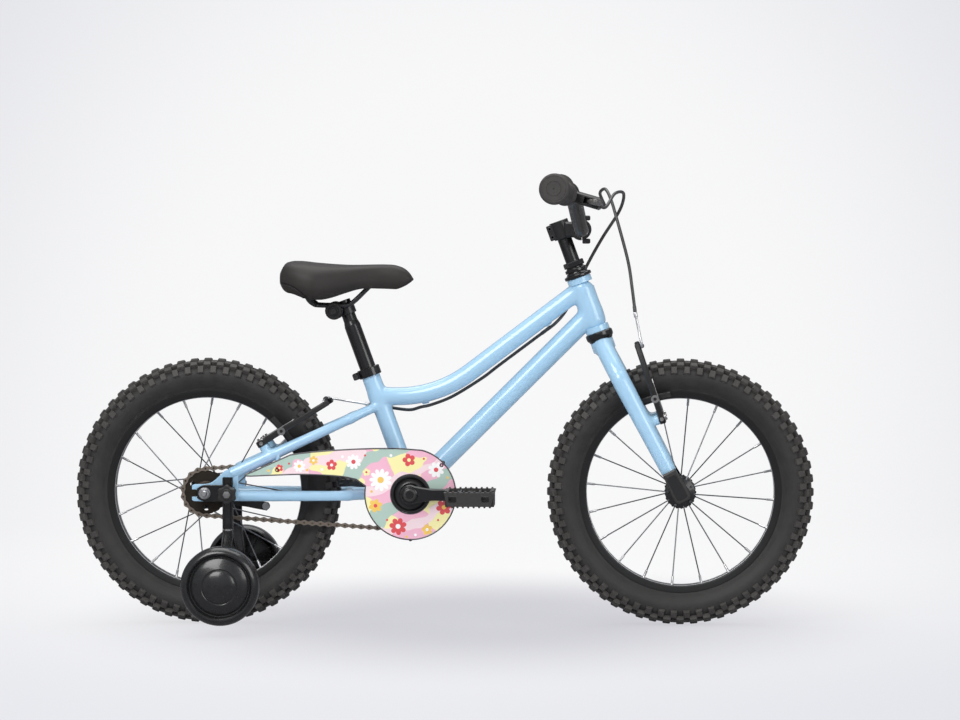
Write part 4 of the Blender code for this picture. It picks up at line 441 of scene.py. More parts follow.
def painted(name, colour, gloss=0.3, speckle=0.04):
    """A painted or moulded surface: one colour with slight unevenness in colour, sheen and level."""
    finish = Finish(name, {"Coat Weight": 0.35, "Coat Roughness": 0.12})
    cloud = finish.noise(38.0, 4.0)
    peel = finish.noise(520.0, 2.0)
    darker = [c * 0.82 for c in colour[:3]] + [1.0]
    finish.surface(
        Base_Color=finish.mix(cloud.over(0.35, 0.75) * speckle * 8, colour, darker),
        Roughness=gloss + cloud * 0.12,
        Normal=finish.bump(peel, 0.0002, 0.25),
    )
    return finish


def plated(name, colour, rough=0.22):
    """Bare or plated steel: brushed a little, and duller in patches."""
    finish = Finish(name, {"Metallic": 1.0})
    cloud = finish.noise(60.0, 5.0)
    fine = finish.noise(1400.0, 2.0)
    dull = [c * 0.62 for c in colour[:3]] + [1.0]
    finish.surface(
        Base_Color=finish.mix(cloud.over(0.45, 0.8), colour, dull),
        Roughness=rough + cloud * 0.18,
        Normal=finish.bump(fine, 0.0001, 0.3),
    )
    return finish


def polar(axle, radius, angle, y):
    """The point at a radius and angle round an axle, in the plane at y."""
    return np.array((axle.x + radius * math.cos(angle), y, axle.z + radius * math.sin(angle)))


spoke_count = 20


def wheel(end, axle, flange, planes, lean, start):
    """The rim, spokes and nipples of one wheel; planes are the left and right flange's distances."""
    half = [
        (0.1520, 0.0), (0.1532, 0.0088), (0.1578, 0.0112), (0.1588, 0.0130), (0.1582, 0.0147),
        (0.1562, 0.0150), (0.1552, 0.0147), (0.1488, 0.0147), (0.1478, 0.0143), (0.1464, 0.0118),
        (0.1460, 0.0075), (0.1462, 0.0),
    ]
    rim = [turned(axle, LEFT, both(half[::-1]), 120, ring=True)]
    valve_angle = math.radians(118 if end == "front" else 29)
    valve = polar(axle, 0.1470, valve_angle, 0.0)
    inward = polar(axle, 0.1290, valve_angle, 0.0)
    rim.append(tube([valve, valve * 0.45 + inward * 0.55], 0.0027, 12))
    rim.append(tube([valve * 0.5 + inward * 0.5, inward], 0.0038, 12))
    wires = []
    nipples = []
    for i in range(spoke_count):
        side = 1 if i % 2 else -1
        turn = 1 if i % 4 < 2 else -1
        angle = start + 2 * math.pi * i / spoke_count
        hub_angle = angle + turn * lean
        plane = planes[0] if side > 0 else -planes[1]
        head = polar(axle, flange, hub_angle, plane - turn * side * 0.0030)
        elbow = polar(axle, flange, hub_angle, plane + turn * side * 0.0016)
        bent = polar(axle, flange, hub_angle, plane + turn * side * 0.0022)
        outer = polar(axle, 0.1470, angle, side * 0.0030)
        run = (outer - bent) / np.linalg.norm(outer - bent)
        wires.append(tube([head, elbow, bent + run * 0.0012, bent + run * 0.0040, outer], 0.0010, 8))
        knob = [(0.0, -0.0012), (0.0019, -0.0008), (0.0019, 0.0008), (0.0, 0.0012)]
        wires.append(turned(head, LEFT, knob, 8))
        nipple = [(0.0, -0.0140), (0.0013, -0.0138), (0.0019, -0.0125), (0.0019, -0.0022), (0.0027, -0.0012)]
        nipples.append(turned(outer, Vector(run), nipple + [(0.0027, 0.0006), (0.0, 0.0008)], 10))
    return rim, wires, nipples


rim_paint = painted("rim_paint", rgb(13, 13, 13), 0.30)
spoke_steel = plated("spoke_steel", rgb(128, 130, 134), 0.34)
nipple_brass = plated("nipple_brass", rgb(222, 222, 222), 0.24)
hub_black = painted("hub_black", rgb(27, 27, 28), 0.30)

front_shell = [
    (0.0062, 0.0478), (0.0118, 0.0478), (0.0130, 0.0465), (0.0130, 0.0420), (0.0118, 0.0410),
    (0.0118, 0.0398), (0.0130, 0.0388), (0.0130, 0.0362), (0.0150, 0.0345), (0.0226, 0.0334),
    (0.0236, 0.0326), (0.0236, 0.0302), (0.0226, 0.0295), (0.0160, 0.0285), (0.0128, 0.0255),
    (0.0120, 0.0),
]
coaster_shell = [
    (0.0062, 0.0402), (0.0196, 0.0402), (0.0200, 0.0396), (0.0200, 0.0325), (0.0215, 0.0312),
    (0.0266, 0.0302), (0.0270, 0.0296), (0.0270, 0.0272), (0.0262, 0.0266), (0.0205, 0.0245),
    (0.0190, 0.0225), (0.0186, 0.0100), (0.0190, 0.0080), (0.0186, 0.0060), (0.0186, -0.0210),
    (0.0200, -0.0232), (0.0262, -0.0240), (0.0270, -0.0246), (0.0270, -0.0268), (0.0262, -0.0275),
    (0.0200, -0.0290), (0.0190, -0.0298), (0.0062, -0.0298),
]
hubs = {
    "front": (front_axle, 0.0200, (0.0315, 0.0315), 0.0, math.radians(-4.9), both(front_shell)),
    "rear": (rear_axle, 0.0240, (0.0285, 0.0255), math.radians(62), math.radians(-2.5), coaster_shell),
}
for end, (axle, flange, planes, lean, start, shell) in hubs.items():
    rim, wires, nipples = wheel(end, axle, flange, planes, lean, start)
    teeth = [turned(axle, LEFT, shell, 48, ring=True)]
    edge = 0.0226 if end == "front" else 0.0260
    for i in range(spoke_count):
        for plane in (planes[0], -planes[1]):
            spot = polar(axle, edge, start + 2 * math.pi * (i + 0.5) / spoke_count, plane)
            teeth.append(turned(spot, LEFT, drum(0, 0.0022, -0.0014, 0.0014), 10))
    made = piece(end + "_rim_ring", rim, rim_paint, 30.0)
    fasten(made, end + "_wheel", end + "_rim")
    hub = piece(end + "_hub_shell", teeth, hub_black, 34.0)
    spokes = piece(end + "_spokes", wires, spoke_steel, 40.0)
    # Painted highlight: a thin bright ring at each rim's inner edge, made in the nipples' bright steel.
    for level in (-0.0112, 0.0112):
        half_highlight_ring = [(0.1458, -0.0006), (0.1471, -0.0009), (0.1471, 0.0009), (0.1458, 0.0006)]
        lip = [(radius, level + y) for radius, y in half_highlight_ring]
        nipples.append(turned(axle, LEFT, lip, 120, ring=True))
    ends = piece(end + "_nipples", nipples, nipple_brass, 40.0)
    for made, slot in ((hub, "black_paint"), (spokes, "dark_steel"), (ends, "bright_steel")):
        fasten(made, end + "_wheel", end + "_hub_and_spokes")

# Frame: steel tubes with welded joints and one coat of pale blue gloss paint. The joints are small
# fillets of weld; dropouts, brake bosses, cable guides and the guard's tabs are welded on.


def inset(outline, by):
    """A closed outline moved inward by a distance, corner by corner."""
    points = np.array(outline, float)
    area = np.sum(points[:, 0] * np.roll(points[:, 1], -1) - np.roll(points[:, 0], -1) * points[:, 1])
    before = points - np.roll(points, 1, axis=0)
    after = np.roll(points, -1, axis=0) - points
    before /= np.linalg.norm(before, axis=1)[:, None]
    after /= np.linalg.norm(after, axis=1)[:, None]
    turn = math.copysign(1.0, area)
    first = np.stack([-before[:, 1], before[:, 0]], 1) * turn
    second = np.stack([-after[:, 1], after[:, 0]], 1) * turn
    corner = first + second
    corner /= np.maximum(np.sum(corner * first, axis=1), 0.35)[:, None]
    return points + corner * by


AHEAD = (1, 0, 0)
RIGHT = (0, -1, 0)


def plate(outline, at, across, along, thickness, edge=0.0006):
    """A flat plate from its outline, with chamfered edges; along is its thickness direction."""
    across = Vector(across).normalized()
    along = Vector(along).normalized()
    up = np.array(along.cross(across))
    across = np.array(across)
    thin = np.array(along)
    rows = []
    half = thickness / 2
    for level, by in ((-half, edge), (-half + edge, 0.0), (half - edge, 0.0), (half, edge)):
        shape = inset(outline, by) if by else np.array(outline, float)
        rows.append(np.array(at) + shape[:, :1] * across + shape[:, 1:] * up + thin * level)
    count = len(outline)
    faces = quads(4, count) + [tuple(range(count))[::-1], tuple(range(3 * count, 4 * count))]
    return np.vstack(rows), faces


def oblong(length, width, corner, parts=4):
    """A rectangle's outline with round corners, about its centre."""
    points = []
    for x, y, start in ((1, 1, 0), (-1, 1, 90), (-1, -1, 180), (1, -1, 270)):
        for i in range(parts + 1):
            angle = math.radians(start + 90 * i / parts)
            near_x = x * (length / 2 - corner) + corner * math.cos(angle)
            points.append((near_x, y * (width / 2 - corner) + corner * math.sin(angle)))
    return points


def strands(tubes):
    """Each tube as its segments: starts, runs, radii and their change."""
    found = []
    for points, radius in tubes:
        line = np.array([tuple(p) for p in points], float)
        radii = np.broadcast_to(np.array(radius, float), len(line))
        found.append((line[:-1], line[1:] - line[:-1], radii[:-1], radii[1:] - radii[:-1]))
    return found


def skin_distance(places, segments, fillet):
    """How far each place lies outside the tubes, with their joints filled in softly."""
    total = np.zeros(len(places))
    for starts, runs, radii, growth in segments:
        nearest = np.full(len(places), 9.0)
        for a, run, radius, more in zip(starts, runs, radii, growth):
            away = places - a
            share = np.clip(away @ run / (run @ run), 0, 1)
            gap = np.linalg.norm(away - share[:, None] * run, axis=1) - (radius + more * share)
            nearest = np.minimum(nearest, gap)
        total += np.exp(-np.clip(nearest, -0.05, 0.08) / fillet)
    return -fillet * np.log(total)


def welded(name, tubes, cell=0.0022, fillet=0.0022):
    """One skin over many tubes: a fine grid of faces, drawn onto the tubes and their weld fillets."""
    rough = bpy.data.meshes.new(name)
    rough.from_pydata(*gathered([tube(line, radius, 12) for line, radius in tubes]))
    draft = bpy.data.objects.new(name, rough)
    scene.collection.objects.link(draft)
    remesh = draft.modifiers.new("grid", "REMESH")
    remesh.mode = "VOXEL"
    remesh.voxel_size = cell
    ready = draft.evaluated_get(bpy.context.evaluated_depsgraph_get()).to_mesh()
    flat = np.empty(len(ready.vertices) * 3)
    ready.vertices.foreach_get("co", flat)
    found = flat.reshape(-1, 3)
    faces = [tuple(face.vertices) for face in ready.polygons]
    bpy.data.objects.remove(draft)
    segments = strands(tubes)
    nudge = 0.0002
    for _ in range(4):
        here = skin_distance(found, segments, fillet)
        aside = [skin_distance(found + axis * nudge, segments, fillet) for axis in np.eye(3)]
        slope = np.stack([(there - here) / nudge for there in aside], axis=1)
        found = found - slope * (here / np.maximum(np.sum(slope * slope, axis=1), 0.2))[:, None]
    return found, faces


head_angle = math.radians(70)
steer_up = Vector((-math.cos(head_angle), 0, math.sin(head_angle)))
seat_up = steer_up
bracket = Vector((-0.0501, 0, 0.208))
head_foot = Vector((0.2399, 0, 0.4573))
head_top = head_foot + steer_up * 0.090
seat_top = Vector((-0.1197, 0, 0.3992))
seat_joint = bracket + seat_up * 0.14408
top_joint = head_top - steer_up * 0.017
top_low = seat_top.z - 0.0432
top_slope = math.radians(37)
stay_foot = rear_axle + Vector((0.041, 0, 0.030))

frame_blue = Finish("frame_paint", {"Coat Weight": 1.0, "Coat Roughness": 0.04, "Coat IOR": 1.5})
haze = frame_blue.noise(30.0, 3.0)
flake = frame_blue.noise(900.0, 2.0)
frame_blue.surface(
    Base_Color=frame_blue.mix(haze.over(0.35, 0.7) * 0.25, rgb(168, 209, 236), rgb(155, 199, 229)),
    Roughness=0.26 + haze * 0.10,
    Normal=frame_blue.bump(flake, 0.0001, 0.15),
)


def top_tube():
    """Level behind, one wide bend, then straight up to the head tube."""
    bend = 0.187
    corner = top_joint.x - (top_joint.z - top_low) / math.tan(top_slope)
    start = corner - bend * math.tan(top_slope / 2)
    points = [bracket + seat_up * ((top_low - bracket.z) / seat_up.z)]
    for i in range(25):
        angle = top_slope * i / 24
        points.append(Vector((start + bend * math.sin(angle), 0.0, top_low + bend * (1 - math.cos(angle)))))
    return points + [top_joint]


def stays(side):
    """One side's chain stay and seat stay, from the front joints to the dropout."""
    chain_stay = curve([
        bracket + Vector((-0.006, side * 0.0180, -0.004)),
        bracket + Vector((-0.055, side * 0.0260, -0.004)),
        bracket + Vector((-0.085, side * 0.0330, -0.0045)),
        bracket + Vector((-0.120, side * 0.0430, -0.005)),
        rear_axle + Vector((0.105, side * 0.0490, -0.005)),
        rear_axle + Vector((0.040, side * 0.0520, -0.005)),
    ], 6)
    line = []
    for share, across in ((0.0, 1.0), (0.22, 0.97), (0.45, 0.86), (0.72, 0.62), (0.97, 0.15)):
        place = stay_foot.lerp(seat_joint, share)
        line.append(Vector((place.x, side * 0.053 * across, place.z)))
    return chain_stay, curve(line, 6)


frame_tubes = [
    ([head_foot + steer_up * 0.019, head_top - steer_up * 0.019], 0.0180),
    ([bracket + seat_up * 0.004, seat_top - seat_up * 0.0150], 0.0143),
    ([bracket + LEFT * 0.0125, bracket - LEFT * 0.0125], 0.0200),
    (top_tube(), 0.0140),
    ([bracket + Vector((0.002, 0, 0.002)), head_foot + steer_up * 0.031], 0.0159),
]
stay_lines = {}
for side in (1, -1):
    low_stay, high_stay = stays(side)
    stay_lines[side] = (low_stay, high_stay)
    low_sizes = np.interp(np.linspace(0, 5, len(low_stay)), range(6), [0.94, 0.94, 0.95, 0.98, 1.05, 1.0])
    high_sizes = np.interp(np.linspace(0, 4, len(high_stay)), range(5), [1.22, 1.16, 1.06, 0.95, 0.88])
    frame_tubes.append((low_stay, 0.0080 * low_sizes))
    frame_tubes.append((high_stay, 0.0078 * high_sizes))
    behind = bracket + Vector((-0.100, 0.0, -0.0045))
    frame_tubes.append(([behind, behind + LEFT * side * 0.036], 0.0064))
    above = stay_foot.lerp(seat_joint, 0.80)
    frame_tubes.append(([above, above + LEFT * side * 0.028], 0.0058))


def brake_lines(pivot, degrees):
    """A brake's pivot in the middle plane, its arms' direction and its studs'."""
    up = Vector((math.cos(math.radians(degrees)), 0, math.sin(math.radians(degrees))))
    return Vector(pivot), up, Vector((up.z, 0, -up.x))


stud_spread = 0.044
boss_setback = 0.00455
front_brake = brake_lines((0.338170, 0, 0.324819), 108.5)
rear_brake = brake_lines((-0.282147, 0, 0.285108), 31.6)


def boss_tube(brake, side, out, line):
    """The short tube that carries a brake arm's stud, from the tube it is welded to."""
    pivot, _, stud = brake
    behind = pivot + LEFT * side * stud_spread - stud * out * boss_setback
    spots = np.array([tuple(p) for p in line])
    root = Vector(spots[np.argmin(np.linalg.norm(spots - np.array(behind), axis=1))])
    return [root, behind - stud * out * 0.0075], 0.0078


for side in (1, -1):
    frame_tubes.append(boss_tube(rear_brake, side, -1, stay_lines[side][1]))

skin = welded("frame_skin", frame_tubes)
made = piece("frame_tubes", [skin], frame_blue, 60.0)
fasten(made, "frame", "frame")


def boss_end(brake, side, out):
    """The turned end of a brake boss, with a chamfered ledge at its tip."""
    pivot, _, stud = brake
    behind = pivot + LEFT * side * stud_spread - stud * out * boss_setback
    profile = [(0.0, -0.0100), (0.0080, -0.0100), (0.0080, -0.0012), (0.0072, 0.0), (0.0, 0.0)]
    return turned(behind, stud * out, profile, 24)


fittings = []
for level in (head_foot, head_top - steer_up * 0.0095):
    fittings.append(turned(level, steer_up, drum(0, 0.0190, 0.0, 0.0095, 0.0006), 64))
seat_sleeve = [(0.0, -0.016), (0.0142, -0.016), (0.0143, -0.0006), (0.0137, 0.0), (0.0, 0.0)]
fittings.append(turned(seat_top, seat_up, seat_sleeve, 48))
shell_end = [(0.0185, 0.0330), (0.0196, 0.0330), (0.0201, 0.0324), (0.0201, 0.0240), (0.0196, 0.0232)]
for outward in (LEFT, -LEFT):
    fittings.append(turned(bracket, outward, shell_end + [(0.0185, 0.0232)], 64, ring=True))
dropout_shape = [
    (0.052, 0.041), (0.046, 0.0405), (0.030, 0.0340), (0.017, 0.0215), (0.009, 0.0158),
    (0.002, 0.0142), (-0.016, 0.0137), (-0.0192, 0.0125), (-0.020, 0.0112), (-0.020, 0.0056),
    (0.0030, 0.0056), (0.0058, 0.0044), (0.0074, 0.0018), (0.0074, -0.0018), (0.0058, -0.0044),
    (0.0030, -0.0056), (-0.020, -0.0056), (-0.020, -0.0102), (-0.0188, -0.0118), (-0.016, -0.0126),
    (0.010, -0.0131), (0.030, -0.0134), (0.052, -0.0115),
]
for side in (1, -1):
    fittings.append(plate(dropout_shape, rear_axle + LEFT * side * 0.0575, AHEAD, RIGHT, 0.0050))
    fittings.append(boss_end(rear_brake, side, -1))
slope = Vector((math.cos(top_slope), 0.0, math.sin(top_slope)))
slope_guide = top_joint - slope * 0.0763 - slope.cross(LEFT) * 0.0123
level_guide = Vector((bracket.x + 0.0200, 0.0, top_low - 0.0085))
guide_places = ((slope_guide + LEFT * 0.0070, slope), (level_guide + LEFT * 0.0080, Vector((0.97, 0, 0.23))))
for spot, run in guide_places:
    fittings.append(plate(oblong(0.0110, 0.0070, 0.0018), spot, run, LEFT, 0.0078, 0.0008))
rear_tab = Vector((-0.2566, -0.056, 0.2449))
hanger = [(rear_tab.x, -0.0535, 0.2712), (rear_tab.x, -0.0548, 0.2580), rear_tab - UP * 0.004]
fittings.append(tube(curve(hanger, 4), 0.0041, 12))
fittings.append(tube([rear_tab + LEFT * 0.004, rear_tab - LEFT * 0.0126], 0.0049, 16))
front_tab = bracket + Vector((math.cos(math.radians(43)), 0, math.sin(math.radians(43)))) * 0.0662
fittings.append(tube([front_tab - LEFT * out for out in (0.008, 0.030, 0.0684)], 0.0021, 12))
made = piece("frame_fittings", fittings, frame_blue, 32.0)
fasten(made, "frame", "frame")

# Fork: two tapered steel blades bent out from the crown and down past the tyre, painted like the
# frame, with flat ends at the axle. The steerer shows only as a dark thread above the headset.

crown = head_foot - steer_up * 0.0225
blade_run = front_axle - crown
blade_down = blade_run.normalized()


def blade(side):
    """One blade's line, from the crown out past the tyre and down to the axle."""
    line = []
    for share, across in ((0.0, 0.010), (0.09, 0.026), (0.19, 0.041), (0.31, 0.048), (0.93, 0.0535)):
        place = crown + blade_run * share
        line.append(Vector((place.x, side * across, place.z)))
    return curve(line, 8)


fork_tubes = [([crown - steer_up * 0.002, crown + steer_up * 0.004], 0.0168)]
blades = {}
for side in (1, -1):
    line = blade(side)
    blades[side] = line
    sizes = np.interp(np.linspace(0, 4, len(line)), range(5), [0.0143, 0.0143, 0.0143, 0.0143, 0.0118])
    fork_tubes.append((line[:-1], sizes[:-1]))
    fork_tubes.append(boss_tube(front_brake, side, 1, line))
made = piece("fork_blades", [welded("fork_skin", fork_tubes)], frame_blue, 60.0)
fasten(made, "steering", "fork")

race = [(0, -0.0080), (0.0170, -0.0080), (0.0180, -0.0070), (0.0180, 0.0075), (0.0174, 0.0084), (0, 0.0084)]
ends = [turned(crown, steer_up, race, 64)]
end_shape = [
    (0.034, 0.0085), (0.010, 0.0098), (-0.004, 0.0108), (-0.0095, 0.0095), (-0.0128, 0.0060),
    (-0.0130, -0.0060), (-0.0095, -0.0095), (-0.004, -0.0108), (0.010, -0.0098), (0.034, -0.0085),
]
for side in (1, -1):
    ends.append(plate(end_shape, front_axle + LEFT * side * 0.0525, -blade_down, LEFT, 0.0050))
    ends.append(boss_end(front_brake, side, 1))
made = piece("fork_ends", ends, frame_blue, 32.0)
fasten(made, "steering", "fork")

thread_steel = plated("thread_steel", rgb(74, 74, 76), 0.32)
thread_foot = 0.092
thread_pitch = 0.0007
thread = [(0.0, 0.020)]
for i in range(64):
    level = thread_foot + i * thread_pitch
    thread += [(0.0123, level), (0.0127, level + thread_pitch / 2)]
thread.append((0.0, thread_foot + 64 * thread_pitch))
made = piece("steerer_thread", [turned(crown, steer_up, thread, 32)], thread_steel, 40.0)
fasten(made, "steering", "fork")

# Chain, chainring and cog: 74 half-inch links of brown steel plates on pins and rollers, a 29-tooth
# ring with its black carrier, and the 18-tooth cog on the coaster hub's driver.


def carved(body, *cutters):
    """A form with other forms cut out of it."""
    made = []
    for form in (body,) + cutters:
        made.append(bpy.data.objects.new("draft", closed_mesh("draft", [form])))
        scene.collection.objects.link(made[-1])
    for cutter in made[1:]:
        step = made[0].modifiers.new("cut", "BOOLEAN")
        step.object = cutter
        step.solver = "EXACT"
    ready = made[0].evaluated_get(bpy.context.evaluated_depsgraph_get()).to_mesh()
    points = [tuple(v.co) for v in ready.vertices]
    faces = [tuple(face.vertices) for face in ready.polygons]
    for obj in made:
        bpy.data.objects.remove(obj)
    return points, faces


pitch = 0.0127
link_count = 74
ring_teeth = 29
cog_teeth = 18
ring_radius = pitch / (2 * math.sin(math.pi / ring_teeth))
cog_radius = pitch / (2 * math.sin(math.pi / cog_teeth))
stay_length = bracket.x - rear_axle.x
ring_centre = np.array((bracket.x, bracket.z))
cog_centre = np.array((rear_axle.x, rear_axle.z))


def on_circle(centre, radius, angle):
    """The (x, z) at a radius and angle round a centre."""
    return centre + radius * np.array((math.cos(angle), math.sin(angle)))


def chain_pins():
    """The pins' (x, z): over the top to the cog, round it, back underneath and round the ring."""
    lean = math.asin((ring_radius - cog_radius) / stay_length)
    run = stay_length * math.cos(lean) / pitch
    on_cog = cog_teeth * (math.pi - 2 * lean) / (2 * math.pi)
    top = math.pi / 2 + lean
    pins = []
    for i in range(link_count):
        if i < run:
            first = on_circle(ring_centre, ring_radius, top)
            pins.append(first + (on_circle(cog_centre, cog_radius, top) - first) * i / run)
        elif i < run + on_cog:
            pins.append(on_circle(cog_centre, cog_radius, top + (i - run) * 2 * math.pi / cog_teeth))
        elif i < 2 * run + on_cog:
            first = on_circle(cog_centre, cog_radius, -top)
            share = (i - run - on_cog) / run
            pins.append(first + (on_circle(ring_centre, ring_radius, -top) - first) * share)
        else:
            angle = (i - 2 * run - on_cog) * 2 * math.pi / ring_teeth
            pins.append(on_circle(ring_centre, ring_radius, angle - top))
    return pins


pins = chain_pins()
chain_y = -0.038
chain_steel = plated("chain_steel", rgb(158, 146, 134), 0.36)
cog_steel = plated("cog_steel", rgb(66, 60, 54), 0.42)
link_radius = 0.0041
links = []
for i, pin in enumerate(pins):
    run = pins[(i + 1) % link_count] - pin
    length = np.linalg.norm(run)
    run /= length
    shape = []
    for centre, start, waist in ((0.0, 90, -0.0019), (length, -90, 0.0019)):
        for k in range(7):
            angle = math.radians(start + 30 * k)
            shape.append((centre + link_radius * math.cos(angle), link_radius * math.sin(angle)))
        shape.append((length / 2, waist))
    level, thick = (0.0021, 0.0008) if i % 2 else (0.00285, 0.0007)
    for side in (-1, 1):
        spot = (pin[0], chain_y + side * level, pin[1])
        links.append(plate(shape, spot, (run[0], 0, run[1]), RIGHT, thick, 0.00014))
    spot = (pin[0], chain_y, pin[1])
    links.append(turned(spot, LEFT, drum(0, 0.0021, -0.0016, 0.0016), 12))
    links.append(turned(spot, LEFT, drum(0, 0.0018, -0.0032, 0.0032, 0.0004, 0.0003), 10))
made = piece("chain_links", links, chain_steel, 34.0)
fasten(made, "frame", "chain")


def sprocket(teeth, centre, radius):
    """A sprocket's outline: a gap under each chain pin, and teeth low enough to turn inside them."""
    nearest = min(pins, key=lambda pin: abs(np.linalg.norm(pin - centre) - radius))
    phase = math.atan2(nearest[1] - centre[1], nearest[0] - centre[0])
    seat = 0.0037
    lowered = 0.0025
    outline = []
    for i in range(teeth):
        gap = phase + i * 2 * math.pi / teeth
        for turn in np.radians((-60, -30, 0, 30, 60)):
            out = radius - max(seat * math.cos(turn), lowered)
            outline.append(on_circle(np.zeros(2), out, gap + seat * math.sin(turn) / radius))
        for half in (-0.0009, 0.0009):
            tooth = gap + math.pi / teeth + half / radius
            outline.append(on_circle(np.zeros(2), radius - lowered, tooth))
    return sorted([tuple(p) for p in outline], key=lambda p: math.atan2(p[1], p[0]))


def disc_cut(centre, out, angle, radius):
    """A round cutter right through a sprocket."""
    spot = (centre[0] + out * math.cos(angle), 0.0, centre[1] + out * math.sin(angle))
    return turned(spot, LEFT, drum(0, radius, -0.12, 0.12), 28)


chain_plane = LEFT * chain_y
ring_outline = sprocket(ring_teeth, ring_centre, ring_radius)
ring_disc = plate(ring_outline, bracket + chain_plane, AHEAD, RIGHT, 0.0027, 0.0003)
ring_bolts = 5
windows = []
for i in range(ring_bolts):
    angle = 2 * math.pi * (i + 0.5) / ring_bolts
    windows.append(disc_cut(ring_centre, 0.040, angle, 0.0088))
ring_black = painted("ring_black", rgb(24, 24, 25), 0.34)
carrier = [
    (0.0090, 0.0660), (0.0140, 0.0660), (0.0158, 0.0672), (0.0170, 0.0676), (0.0188, 0.0668),
    (0.0215, 0.0664), (0.0238, 0.0672), (0.0252, 0.0700), (0.0264, 0.0713), (0.0284, 0.0715),
    (0.0294, 0.0707), (0.0295, 0.0600), (0.0268, 0.0420), (0.0262, 0.0392), (0.0262, 0.0368),
    (0.0090, 0.0368),
]
ring_forms = [carved(ring_disc, *windows), turned(bracket, -LEFT, carrier, 72, ring=True)]
for i in range(ring_bolts):
    angle = 2 * math.pi * i / ring_bolts
    spot = bracket + Vector((0.0205 * math.cos(angle), -0.0362, 0.0205 * math.sin(angle)))
    ring_forms.append(bolt_head(spot, LEFT, 0.0038, 0.0022))
made = piece("chainring_wheel", ring_forms, ring_black, 34.0)
fasten(made, "cranks", "chainring")

driver = [
    (0.0052, 0.0304), (0.0160, 0.0304), (0.0160, 0.0362), (0.0176, 0.0368), (0.0176, 0.0396),
    (0.0158, 0.0404), (0.0158, 0.0420), (0.0122, 0.0450), (0.0120, 0.0488), (0.0112, 0.0490),
    (0.0052, 0.0490),
]
cog_outline = sprocket(cog_teeth, cog_centre, cog_radius)
cog_disc = plate(cog_outline, rear_axle + chain_plane, AHEAD, RIGHT, 0.0026, 0.0004)
slots = [disc_cut(cog_centre, 0.0245, angle, 0.0042) for angle in (0.5, 2.6, 4.7)]
cog_forms = [carved(cog_disc, *slots), turned(rear_axle, -LEFT, driver, 48, ring=True)]
made = piece("cog_wheel", cog_forms, cog_steel)
fasten(made, "rear_cog", "rear_cog")

# Cranks and pedals: forged steel arms painted gloss black on a steel spindle, and moulded cage
# pedals that spin on pins screwed into the arms.

spindle_steel = plated("spindle_steel", rgb(196, 196, 198), 0.28)
spindle = [(0, -0.0737), (0.0078, -0.0737), (0.0085, -0.0730), (0.0085, -0.040), (0.0080, -0.038)]
spindle = both(spindle + [(0.0080, 0.0)])
made = piece("spindle", [turned(bracket, LEFT, spindle, 36)], spindle_steel)
fasten(made, "cranks", "crank_spindle")

cup_steel = plated("cup_steel", rgb(120, 118, 116), 0.34)
cup = [
    (0.0090, 0.0330), (0.0090, 0.0346), (0.0110, 0.0351), (0.0160, 0.0352), (0.0184, 0.0349),
    (0.0189, 0.0343), (0.0189, 0.0334), (0.0150, 0.0330),
]
cups = [turned(bracket, LEFT, cup, 48, ring=True), turned(bracket, -LEFT, cup, 48, ring=True)]
made = piece("bracket_cups", cups, cup_steel)
fasten(made, "frame", "bottom_bracket")

